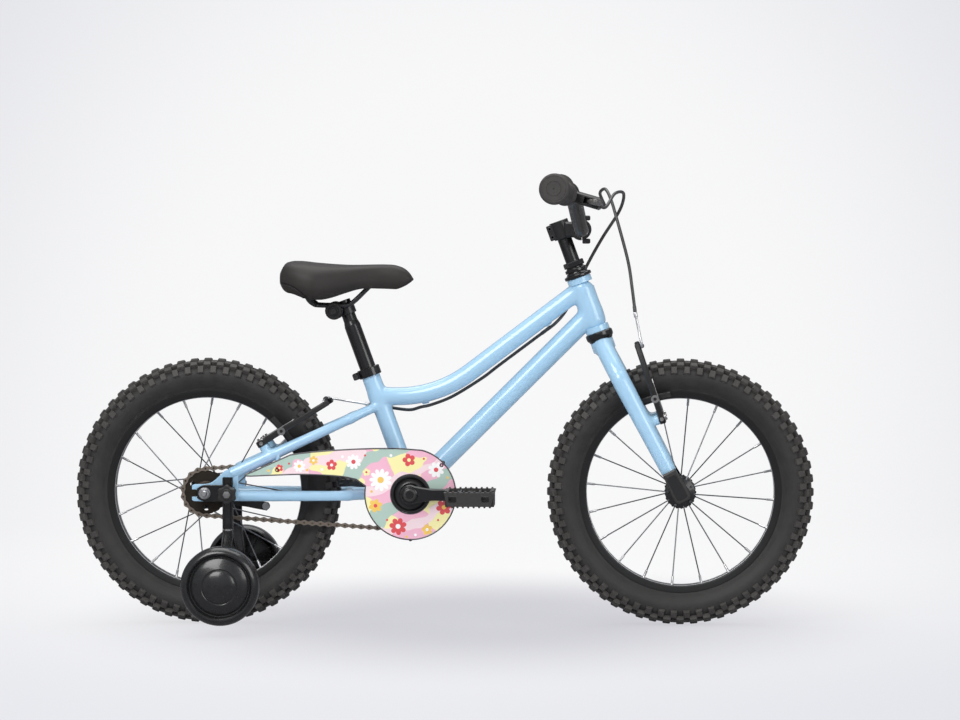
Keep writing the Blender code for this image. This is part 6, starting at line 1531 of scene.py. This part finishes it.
def brake_arm(label, brake, axle, out, reach, side):
    """An arm with its bolt, and its pad, as two sets of pieces."""
    pivot, up, stud = brake
    stud = stud * out
    outward = LEFT * side
    centre = pivot + outward * stud_spread
    line = [(-0.0005, -0.008), (0, 0), (0.0035, 0.0339), (0.0055, 0.0629), (0.0020, 0.0920), (-0.0060, 0.121)]
    widths = [0.010, 0.0178, 0.0134, 0.0074, 0.0060, 0.0070]
    along = outward.cross(up)
    forms = [plate(strip(line, widths, 6), centre, outward, along, 0.0084, 0.0016)]
    spring_cap = [(0.0050, -0.0044), (0.0086, -0.0044), (0.0088, -0.0036), (0.0088, 0.0040)]
    spring_cap += [(0.0082, 0.0048), (0.0050, 0.0048)]
    forms.append(turned(centre, stud, spring_cap, 30, ring=True))
    forms.append(turned(centre, stud, drum(0, 0.0040, -0.0042, 0.0060), 16))
    for level in (0.050, 0.078):
        spot = centre + outward * (0.0048 if level < 0.06 else 0.0040) + up * level + stud * 0.0041
        dimple = [(0, -0.001), (0.0022, -0.001), (0.0022, 0.0004), (0.0014, 0.0007), (0, 0.0007)]
        forms.append(turned(spot, stud, dimple, 14))
    arm = piece(f"{label}_arm", forms, arm_satin, 30.0)
    bolt = [turned(centre, stud, drum(0.0022, 0.0070, 0.0048, 0.0058), 28, ring=True)]
    bolt.append(bolt_head(centre + stud * 0.0057, stud, 0.0046, 0.0032, 24))
    screw = centre + outward * 0.0080 - up * 0.0010
    bolt.append(bolt_head(screw, outward, 0.0032, 0.0022, 20))
    wire = [(-0.0040, -0.0050), (0.0010, 0.0180), (0.0048, 0.0420), (0.0070, 0.0600), (0.0030, 0.0625)]
    wire = [centre + stud * 0.0053 + outward * x + up * z for x, z in wire]
    bolt.append(tube(curve(wire, 5), 0.0009, 8))
    bolt.append(turned(centre + up * reach, outward, drum(0.0026, 0.0062, 0.0094, 0.0104), 24, ring=True))
    fixing = piece(f"{label}_bolt", bolt, bright_bolt, 30.0)
    radial = pivot + up * reach - axle
    radial.y = 0.0
    radial.normalize()
    tangent = radial.cross(outward).normalized()
    foot = pivot + up * reach
    bow = [(0.0255 * share, -0.0010 * share * share) for share in np.linspace(-1, 1, 15)]
    outline = strip(bow, [0.0086] + [0.0100] * 13 + [0.0086], 1)
    shoe = plate(outline, foot + outward * 0.02235, tangent, tangent.cross(radial), 0.0092, 0.0016)
    threads = [(0, 0.0262), (0.0033, 0.0262)]
    for i in range(9):
        threads += [(0.0035, 0.0272 + i * 0.0013), (0.0029, 0.0278 + i * 0.0013)]
    threads += [(0.0030, 0.0392), (0, 0.0396)]
    post_forms = [turned(foot, outward, threads, 18)]
    post_forms.append(turned(foot, outward, drum(0, 0.0058, 0.0258, 0.0276), 6))
    pad = piece(f"{label}_shoe", [shoe], shoe_black, 30.0)
    thread = piece(f"{label}_post", post_forms, bolt_black, 30.0)
    return (arm, fixing), (pad, thread)


for end, brake, axle, out, reach in (
    ("front", front_brake, front_axle, 1, 0.032),
    ("rear", rear_brake, rear_axle, -1, 0.036),
):
    for name, side in SIDES:
        arms, pads = brake_arm(f"{end}_{name}", brake, axle, out, reach, side)
        for made in arms:
            fasten(made, f"{end}_arm_{name}", f"{end}_brake_arm_{name}")
        for made in pads:
            fasten(made, f"{end}_arm_{name}", f"{end}_pad_{name}")

noodle_steel = plated("noodle_steel", rgb(226, 226, 226), 0.24)
noodle_steel.surface(Metallic=0.7)
boot_rubber = painted("boot_rubber", rgb(30, 29, 29), 0.6)
noodle_starts = {}
for end, brake, name, side, out, finish_at in (
    ("front", front_brake, "right", -1, 1, crown + Vector((0.0495, -0.0450, 0.0528))),
    ("rear", rear_brake, "left", 1, -1, seat_top + Vector((0.0001, 0.0360, -0.0577))),
):
    pivot, up, stud = brake
    outward = LEFT * side
    head = pivot + outward * 0.038 + up * 0.115 + stud * out * 0.00675
    lead = (finish_at - head).normalized()
    points = [
        head - outward * 0.012,
        head + outward * 0.005,
        head + outward * 0.0105 + lead * 0.0025,
        head + outward * 0.0130 + lead * 0.0085,
        (head + outward * 0.0110 + finish_at) / 2,
        finish_at,
    ]
    noodle_starts[end] = (finish_at, (finish_at - points[-2]).normalized())
    forms = [tube(curve(points, 8), 0.0021, 18)]
    ferrule = [(0, -0.0078), (0.0029, -0.0076), (0.0031, -0.0070), (0.0031, -0.0008), (0.0027, 0.0), (0, 0.0)]
    forms.append(turned(finish_at, noodle_starts[end][1], ferrule, 24))
    start = points[0]
    forms.append(tube([start, start - outward * 0.074], 0.0009, 10))
    made = piece(f"{end}_noodle_pipe", forms, noodle_steel, 36.0)
    fasten(made, f"{end}_arm_{name}", f"{end}_noodle")
    folds = [(0, -0.0030), (0.0026, -0.0028), (0.0030, -0.0020)]
    for i in range(7):
        folds += [(0.0033, i * 0.0030), (0.0026, 0.0014 + i * 0.0030)]
    folds += [(0.0024, 0.0230), (0.0017, 0.0258), (0, 0.0260)]
    made = piece(f"{end}_boot", [turned(start, -outward, folds, 22)], boot_rubber, 40.0)
    fasten(made, f"{end}_arm_{name}", f"{end}_noodle")

# Brake cable housings: black sheathed spiral wire, bowed from each lever's barrel across the front
# of the bar, the rear one clipped under the frame's two guides, with a ferrule at each cut end.

sheath = Finish("cable_sheath", {"Specular IOR Level": 0.5, "Coat Roughness": 0.2})
wear = sheath.noise(80.0, 4.0)
sheath.surface(
    Base_Color=sheath.mix(wear, rgb(46, 46, 46), rgb(70, 70, 70)),
    Roughness=0.34 + wear * 0.14,
    Coat_Weight=0.25 + wear * 0.1,
)


def under(place, run):
    """Two points of a cable under a guide, a little ahead of it and a little behind."""
    run = run.normalized()
    below = run.cross(LEFT) * 0.0068
    below = -below if below.z > 0 else below
    return [place + below + run * 0.009, place + below - run * 0.009]


def past(name):
    """A housing's last point, just clear of its noodle."""
    end, run = noodle_starts[name]
    return end + run * 0.0006


_, outward, forward = lever_axes(-1)
start = barrels[-1]
near_guide = under(*guide_places[0])
near_seat = under(*guide_places[1])
rear_bow = [
    start,
    start - outward * 0.010,
    start - outward * 0.032 + forward * 0.008,
    bar_centre + Vector((0.0525, -0.048, 0.0560)),
    bar_centre + Vector((0.0660, -0.016, 0.0560)),
    bar_centre + Vector((0.0600, 0.012, 0.0300)),
    bar_centre + Vector((0.0325, 0.028, -0.0140)),
    head_top + Vector((0.0127, 0.034, 0.0181)),
    head_top + Vector((-0.0091, 0.030, -0.0299)),
    head_top + Vector((-0.0211, 0.018, -0.0539)),
    *near_guide,
]
rear_run = [
    near_guide[1],
    slope_guide + Vector((-0.0744, 0.0105, -0.0642)),
    slope_guide + Vector((-0.1034, 0.0105, -0.0862)),
    level_guide + Vector((0.0430, 0.0110, 0.0085)),
    *near_seat,
    level_guide + Vector((-0.0260, 0.0160, -0.0135)),
    seat_top + Vector((0.0316, 0.0280, -0.0622)),
    past("rear"),
]
_, outward, forward = lever_axes(1)
start = barrels[1]
front_bow = [
    start,
    start - outward * 0.010,
    start - outward * 0.032 + forward * 0.006,
    bar_centre + Vector((0.0290, 0.062, 0.0560)),
    bar_centre + Vector((0.0370, 0.038, 0.0630)),
    bar_centre + Vector((0.0450, 0.018, 0.0500)),
    bar_centre + Vector((0.0540, 0.000, 0.0220)),
    bar_centre + Vector((0.0727, -0.028, -0.0471)),
    noodle_starts["front"][0] + Vector((-0.0045, 0.005, 0.0360)),
    past("front"),
]
for name, path, node, bodies, ends in (
    ("rear_bow", rear_bow, "rear_cable_housing", ("frame", "steering"), (9, 3)),
    ("rear_run", rear_run, "rear_cable_housing", ("frame", "rear_arm_left"), (5, -1)),
    ("front_bow", front_bow, "front_cable_housing", ("steering", "front_arm_right"), (6, -1)),
):
    line = curve(path, 14)
    forms = [tube(line, 0.0025, 18)]
    for tip, run in ((line[0], line[1] - line[0]), (line[-1], line[-2] - line[-1])):
        cap = [(0, 0.0001), (0.0024, 0.0001), (0.0029, 0.0006), (0.0029, 0.0085)]
        cap += [(0.0026, 0.0094), (0, 0.0096)]
        forms.append(turned(tip, Vector(run).normalized(), cap, 18))
    made = piece(name, forms, sheath, 36.0)
    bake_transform(made)
    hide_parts(node)

# Seat clamp and post: a black collar drawn together by one bolt, and a black steel post that steps
# down to the clamp under the saddle.

collar_at = seat_top - seat_up * 0.0055
back = Vector((-seat_up.z, 0, seat_up.x))
ring = [
    (0.0147, -0.0125), (0.0170, -0.0125), (0.0178, -0.0117), (0.0179, -0.0060), (0.0179, 0.0006),
    (0.0172, 0.0014), (0.0147, 0.0015),
]
forms = [turned(seat_top, seat_up, ring, 56, ring=True)]
for side in (1, -1):
    spot = collar_at + back * 0.0209 + LEFT * side * 0.0050
    forms.append(box_at(spot, (0.0115, 0.0108, 0.0078), (back, seat_up), 0.0024, 0.0007))
made = piece("seat_collar_band", forms, gloss_black, 30.0)
fasten(made, "frame", "seat_collar")
spot = collar_at + back * 0.0222
bolt = [
    turned(spot, -LEFT, drum(0, 0.0026, -0.0085, 0.0086), 14),
    bolt_head(spot - LEFT * 0.0084, -LEFT, 0.0043, 0.0030, 24),
    turned(spot, LEFT, [(0, 0.0080), (0.0046, 0.0080), (0.0046, 0.0110), (0, 0.0112)], 6),
]
made = piece("seat_collar_bolt", bolt, bolt_black, 30.0)
fasten(made, "frame", "seat_collar")

profile = [
    (0, -0.1262), (0.0120, -0.1262), (0.0127, -0.1254), (0.0127, 0.0716), (0.0122, 0.0736),
    (0.0112, 0.0782), (0.0108, 0.0796), (0.0108, 0.1129), (0.0100, 0.1137), (0.0060, 0.1137),
    (0, 0.1129),
]
made = piece("post_tube", [turned(seat_top, seat_up, profile, 56)], gloss_black)
fasten(made, "seatpost", "seatpost")

post_top = Vector((-0.1585, 0, 0.506))
tilt = Vector((-0.171587, 0, 0.49007))
band_at = post_top - seat_up * 0.014
band = drum(0.0110, 0.0138, -0.0090, 0.0090, 0.0006, 0.0007)
forms = [turned(band_at, seat_up, band, 44, ring=True)]
half_barrel = [(0.0041, -0.0150), (0.0100, -0.0150), (0.0104, -0.0146), (0.0119, -0.0146)]
half_barrel += [(0.0125, -0.0140), (0.0125, -0.0052), (0.0118, -0.0044)]
barrel = both(half_barrel)
forms.append(turned(tilt, LEFT, barrel, 44, ring=True))
neck = box_at((band_at + tilt) / 2, (0.0130, 0.0160, 0.0196), (back, seat_up), 0.002, 0.0015)
forms.append(carved(neck, turned(band_at, seat_up, drum(0, 0.0111, -0.03, 0.03), 40)))
made = piece("saddle_clamp_band", forms, satin_black, 30.0)
fasten(made, "seatpost", "saddle_clamp")

# Saddle: a pair of steel rails bent from one bar, held by stamped cheeks and one cross bolt, a
# moulded base, and a foam pad under stretched dark vinyl, higher at the tail. A near-black line
# along the groove at the tail is painted shade.

pad_top = 0.56727
pad_hollow = pad_top - 0.027
pad_length = 0.205
tail_reach = 0.0826
rise = pad_hollow - 0.0078 - tilt.z
half_rail = [
    (-0.0430, 0.0374, 0.0280),
    (-0.0390, 0.0352, 0.0180),
    (-0.0320, 0.0286, 0.0110),
    (-0.0230, 0.0220, 0.0085),
    (0.0140, 0.0220, 0.0085),
    (0.0285, 0.0187, 0.0130),
    (0.0600, 0.0099, rise),
    (0.0700, 0.00616, rise),
    (0.0730, 0.0, rise),
]
rail_steel = painted("rail_steel", rgb(34, 34, 35), 0.22)
path = half_rail + [(x, -y, z) for x, y, z in half_rail[-2::-1]]
made = piece("rails_bar", [tube(curve([tilt + Vector(p) for p in path], 7), 0.0034, 20)], rail_steel)
fasten(made, "saddle", "saddle_rails")
cheeks = []
for side in (1, -1):
    outward = LEFT * side
    disc = [(0, 0.0154), (0.0132, 0.0154), (0.0138, 0.0160), (0.0140, 0.0172), (0.0140, 0.0200)]
    disc += [(0.0134, 0.0206), (0.0128, 0.0210), (0.0128, 0.0256), (0.0120, 0.0268)]
    disc += [(0.0084, 0.0272), (0.0080, 0.0266), (0, 0.0266)]
    cheeks.append(turned(tilt, outward, disc, 44))
    for i in range(22):
        angle = 2 * math.pi * i / 22
        rib = tilt + Vector((math.cos(angle), 0, math.sin(angle))) * 0.0130
        cheeks.append(tube([rib + outward * 0.0208, rib + outward * 0.0254], 0.0009, 6))
made = piece("rails_cheeks", cheeks, satin_black, 34.0)
fasten(made, "saddle", "saddle_rails")
shank = [(0, -0.0300), (0.0038, -0.0300), (0.0038, 0.0335), (0.0030, 0.0340), (0, 0.0340)]
head = [(0, 0.0286), (0.0052, 0.0286), (0.0054, 0.0292), (0.0054, 0.0332), (0.0048, 0.0340)]
bolt = [
    turned(tilt, LEFT, shank, 20),
    turned(tilt, -LEFT, drum(0.0039, 0.0072, 0.0274, 0.0286), 28, ring=True),
    turned(tilt, -LEFT, head + [(0, 0.0340)], 6),
    turned(tilt, LEFT, drum(0.0039, 0.0066, 0.0274, 0.0318), 6, ring=True),
]
made = piece("rails_bolt", bolt, satin_black, 30.0)
fasten(made, "saddle", "saddle_rails")


def at(table, share):
    """A value from a table of (share, value), with a smooth run between its rows."""
    places, values = np.array(table).T
    slopes = np.gradient(values, places)
    i = int(np.clip(np.searchsorted(places, share) - 1, 0, len(places) - 2))
    width = places[i + 1] - places[i]
    t = (share - places[i]) / width
    steep = (values[i + 1] - values[i]) / width
    first = slopes[i] if slopes[i] * steep > 0 else 0.0
    last = slopes[i + 1] if slopes[i + 1] * steep > 0 else 0.0
    return float(
        values[i] * (1 + 2 * t) * (1 - t) ** 2
        + values[i + 1] * t * t * (3 - 2 * t)
        + width * (first * t * (1 - t) ** 2 - last * t * t * (1 - t))
    )


def half_width(share):
    """Half the pad's width at a share of its length, from the tail to the nose."""
    rear = 0.073
    widest = 0.24
    if share < widest:
        return rear * (0.66 + 0.34 * math.sin(math.pi / 2 * share / widest) ** 0.8)
    wide = rear * (1 - 0.69 * math.sin(math.pi / 2 * min((share - widest) / 0.56, 1.0)) ** 1.6)
    return wide * (1 - 0.35 * (max(share - 0.88, 0.0) / 0.12) ** 2)


crown_depth = ((0, 0.0150), (0.03, 0.0045), (0.07, 0.0006), (0.12, 0.0), (0.27, 0.0028), (0.38, 0.0046))
crown_depth += ((0.52, 0.0060), (0.78, 0.0052), (0.88, 0.0072), (0.95, 0.0140), (0.98, 0.0205), (1.0, 0.0270))
foot_depth = ((0, 0.0355), (0.03, 0.0440), (0.11, 0.0503), (0.22, 0.0580), (0.32, 0.0590), (0.38, 0.0568))
foot_depth += ((0.50, 0.0490), (0.60, 0.0432), (0.76, 0.0427), (0.88, 0.0435), (0.95, 0.0375), (1.0, 0.0300))


def pad_section(share, shrink=1.0):
    """One cross section of the pad, as (y, z): over the top from lip to lip and back inside."""
    half = half_width(share) * shrink
    crown_z = pad_top - at(crown_depth, share)
    foot = pad_top - at(foot_depth, share)
    middle = (crown_z + foot) / 2
    crown_z = middle + (crown_z - middle) * shrink
    foot = middle + (foot - middle) * shrink
    tall = crown_z - foot
    outer = [
        (half * 0.905, foot + tall * 0.02),
        (half * 0.965, foot + tall * 0.14),
        (half, foot + tall * 0.34),
        (half * 0.96, foot + tall * 0.66),
        (half * 0.78, foot + tall * 0.90),
        (half * 0.40, foot + tall * 0.99),
        (0.0, crown_z),
    ]
    outer += [(-y, z) for y, z in outer[-2::-1]]
    rounded = curve([(0.0, y, z) for y, z in outer], 5)[:, 1:]
    wall = 0.0085 * shrink
    ceiling = pad_hollow if 0.07 < share < 0.90 else foot + 0.0015
    inner = [(half * 0.90 - 0.0015, foot), (half * 0.90 - wall, foot)]
    inner.append((half * 0.92 - wall, (foot + ceiling) / 2))
    inner += [((half * 0.94 - wall) * share_in, ceiling) for share_in in (1.0, 0.66, 0.33)]
    left = [(-y, z) for y, z in inner]
    return [tuple(p) for p in rounded] + left + [(0.0, ceiling)] + inner[::-1]


shares = [0.0, 0.004, 0.010, 0.018, 0.03, 0.045, 0.06, 0.068, 0.072, 0.09] + list(np.linspace(0.12, 0.86, 30))
shares += [0.88, 0.897, 0.903, 0.92, 0.94, 0.955, 0.968, 0.98, 0.99, 0.996, 1.0]
rows = []
for share in shares:
    shrink = 1.0
    if share < 0.018:
        shrink = 0.90 + 0.10 * math.sin(math.pi / 2 * share / 0.018)
    elif share > 0.98:
        shrink = 0.86 + 0.14 * math.cos(math.pi / 2 * (share - 0.98) / 0.02)
    rows.append([(tilt.x - tail_reach + pad_length * share, y, z) for y, z in pad_section(share, shrink)])
count = len(rows[0])
last = (len(rows) - 1) * count
faces = quads(len(rows), count) + [tuple(range(count))[::-1], tuple(range(last, last + count))]
vinyl = Finish("saddle_vinyl", {"Specular IOR Level": 0.45})
leather = vinyl.noise(1400.0, 2.0)
rubbed = vinyl.noise(24.0, 5.0)
# Painted shade: a near-black line along a groove that curves across the tail, which the same line's bump cuts
# in; the vinyl below it is glossier.
along_pad = vinyl.axis(0) + 0.254
seam = vinyl.axis(2) - 0.534 + along_pad * along_pad * 11.9
near_seam = (seam * seam) ** 0.5
groove_with_painted_shade = 1 - near_seam.over(0.0006, 0.0019)
below = seam.over(0.0, -0.0006)
leather_colour = vinyl.mix(rubbed, rgb(34, 30, 28), rgb(46, 42, 39))
vinyl.surface(
    Base_Color=vinyl.mix(groove_with_painted_shade * 0.85, leather_colour, rgb(12, 12, 12)),
    Roughness=0.46 + rubbed * 0.14 - below * 0.16,
    Normal=vinyl.bump(leather - groove_with_painted_shade * 4.0, 0.00030, 0.6),
)
made = piece("pad_cover", [([p for row in rows for p in row], faces)], vinyl, 50.0)
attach(made, "saddle")
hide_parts("saddle_pad")

base_plastic = painted("base_plastic", rgb(30, 30, 30), 0.5)
outline = []
for i in range(25):
    share = 0.090 + 0.73 * i / 24
    outline.append((pad_length * share - tail_reach, half_width(share) * 0.90 - 0.0109))
outline += [(x, -y) for x, y in outline[::-1]]
top = pad_hollow - 0.0003
forms = [plate(outline, (tilt.x, 0, top - 0.0015), AHEAD, UP, 0.0030, 0.0008)]
rail = [tilt + Vector(p) for p in half_rail]
for side in (1, -1):
    end, knee = flipped(rail[0], side), flipped(rail[1], side)
    run = (end - knee).normalized()
    socket = [(0.0038, -0.0055), (0.0070, -0.0058), (0.0080, -0.0048), (0.0080, 0.0240), (0.0038, 0.0240)]
    shape = turned(end, run, socket, 28, ring=True)
    forms.append(carved(shape, box_at((tilt.x, 0, top + 0.0187), (0.30, 0.20, 0.04), edge=0.0)))
for x in (-0.030, 0.0, 0.030, 0.060):
    wide = min(0.030, 0.85 * half_width((x + tail_reach) / pad_length) - 0.012)
    spot = (tilt.x + x, 0, top - 0.0034)
    forms.append(box_at(spot, (0.0016, wide * 2, 0.0024), corner=0.0006, edge=0.0004))
made = piece("base_shell", forms, base_plastic, 30.0)
fasten(made, "saddle", "saddle_base")

# Stabilisers: pressed steel axle plates, bent channel legs with raised edges, and black moulded
# star knobs over a clamping bolt; each leg ends in the bolt its wheel runs on.

stabiliser_x = -0.333
small_axle_z = 0.077
leg_black = painted("leg_black", rgb(20, 20, 21), 0.20)
knob_black = painted("knob_black", rgb(34, 33, 33), 0.46)
for name, side in SIDES:
    outward = LEFT * side
    middle = [(-0.012, 0.0), (0.0, 0.0), (0.037, 0.0), (0.047, 0.0)]
    outline = strip(middle, [0.015, 0.026, 0.026, 0.017], 6)
    forms = [plate(outline, rear_axle + outward * 0.0623, AHEAD, LEFT, 0.0038, 0.0008)]
    leg = [(0.073, 0.234), (0.073, 0.198), (0.073, 0.163), (0.081, 0.142), (0.150, 0.095)]
    leg += [(0.167, 0.086), (0.171, 0.067)]
    depths = [0.0100, 0.0100, 0.0100, 0.0105, 0.0105, 0.0085, 0.0060]
    across = outward.cross(UP)
    web = strip(leg, [depth - 0.0034 for depth in depths], 5)
    forms.append(plate(web, (stabiliser_x, 0, 0), outward, across, 0.0120, 0.0005))
    for edge in (-0.0062, 0.0062):
        spot = (stabiliser_x + edge, 0, 0)
        forms.append(plate(strip(leg, depths, 5), spot, outward, across, 0.0036, 0.0010))
    hub = Vector((stabiliser_x, 0, small_axle_z))
    centre = Vector((stabiliser_x, 0, rear_axle.z))
    forms.append(turned(centre, outward, drum(0, 0.0058, 0.0644, 0.0690), 28))
    forms.append(turned(hub, outward, drum(0.0030, 0.0080, 0.1690, 0.1844, 0.0006), 32, ring=True))
    made = piece(f"stabiliser_{name}_leg", forms, leg_black, 30.0)
    fasten(made, "frame", "stabiliser_bracket_" + name)
    pin = [(0, 0.1690), (0.0046, 0.1690), (0.0046, 0.2080), (0.0038, 0.2088), (0, 0.2088)]
    forms = [turned(hub, outward, pin, 20), turned(hub, outward, drum(0, 0.0078, 0.1660, 0.1694), 6)]
    made = piece(f"stabiliser_{name}_pin", forms, bright_bolt, 30.0)
    fasten(made, "frame", "stabiliser_bracket_" + name)
    star = []
    for i in range(72):
        angle = 2 * math.pi * i / 72
        radius = 0.0142 - 0.0013 * math.cos(6 * angle)
        star.append((radius * math.cos(angle), radius * math.sin(angle)))
    forms = [plate(star, centre + outward * 0.0868, AHEAD, LEFT, 0.0128, 0.0022)]
    foot = [(0, 0.0784), (0.0074, 0.0784), (0.0080, 0.0792), (0.0080, 0.0812), (0, 0.0812)]
    cap = [(0, 0.0926), (0.0085, 0.0926), (0.0085, 0.0942), (0.0076, 0.0954), (0, 0.0956)]
    forms += [turned(centre, outward, foot, 32), turned(centre, outward, cap, 32)]
    made = piece(f"stabiliser_{name}_star", forms, knob_black, 34.0)
    fasten(made, "frame", "stabiliser_knob_" + name)
    nut_shape = [(0, 0), (0.0060, 0), (0.0061, 0.0004), (0.0056, 0.0014), (0.0034, 0.0017), (0, 0.0017)]
    nut_form = turned(centre + outward * 0.0950, outward, nut_shape, 6)
    made = piece(f"stabiliser_{name}_nut", [nut_form], bright_bolt, 24.0)
    fasten(made, "frame", "stabiliser_knob_" + name)

# Stabiliser wheels: one moulding each of shiny black plastic, domed and stepped outside, hollow and
# ribbed behind, free on its bolt.

glossy = Finish("stabiliser_gloss", {"Specular IOR Level": 0.5, "Coat Roughness": 0.08})
scuff = glossy.noise(70.0, 6.0)
glossy.surface(
    Base_Color=glossy.mix(scuff, rgb(20, 20, 21), rgb(30, 30, 31)),
    Roughness=0.22 + scuff * 0.12,
    Coat_Weight=0.35 + scuff * 0.2,
)
dome = [
    (0, 0.0218), (0.0060, 0.0216), (0.0120, 0.0208), (0.0180, 0.0194), (0.0230, 0.0176),
    (0.0246, 0.0166), (0.0256, 0.0156), (0.0268, 0.0156), (0.0276, 0.0161), (0.0340, 0.0142),
    (0.0400, 0.0118), (0.0430, 0.0102), (0.0446, 0.0092), (0.0458, 0.0094), (0.0468, 0.0112),
    (0.0480, 0.0140), (0.0496, 0.0157), (0.0516, 0.0160), (0.0546, 0.0147), (0.0574, 0.0119),
    (0.0592, 0.0090), (0.0600, 0.0062), (0.0600, -0.0104), (0.0593, -0.0132), (0.0576, -0.0158),
    (0.0552, -0.0177), (0.0538, -0.0179), (0.0526, -0.0166), (0.0466, 0.0036), (0.0444, 0.0058),
    (0.0146, 0.0040), (0.0126, 0.0032), (0.0120, 0.0014), (0.0120, -0.0112), (0.0112, -0.0120),
    (0.0060, -0.0120), (0.0050, -0.0112), (0.0050, 0.0126), (0, 0.0128),
]
for name, side in SIDES:
    hub = Vector((stabiliser_x, side * 0.197, small_axle_z))
    outward = LEFT * side
    forms = [turned(hub, outward, dome, 96)]
    for i in range(12):
        angle = 2 * math.pi * i / 12
        spoke = Vector((math.cos(angle), 0, math.sin(angle)))
        wide = spoke.cross(outward)
        rib = [(0.0112, 0.0045), (0.0112, -0.0100), (0.0300, -0.0112), (0.0508, -0.0124), (0.0462, 0.0060)]
        forms.append(plate(rib, hub, spoke, wide, 0.0020, 0.0004))
    made = piece(f"stabiliser_{name}_moulding", forms, glossy, 30.0)
    fasten(made, "stabiliser_wheel_" + name, "stabiliser_wheel_" + name)
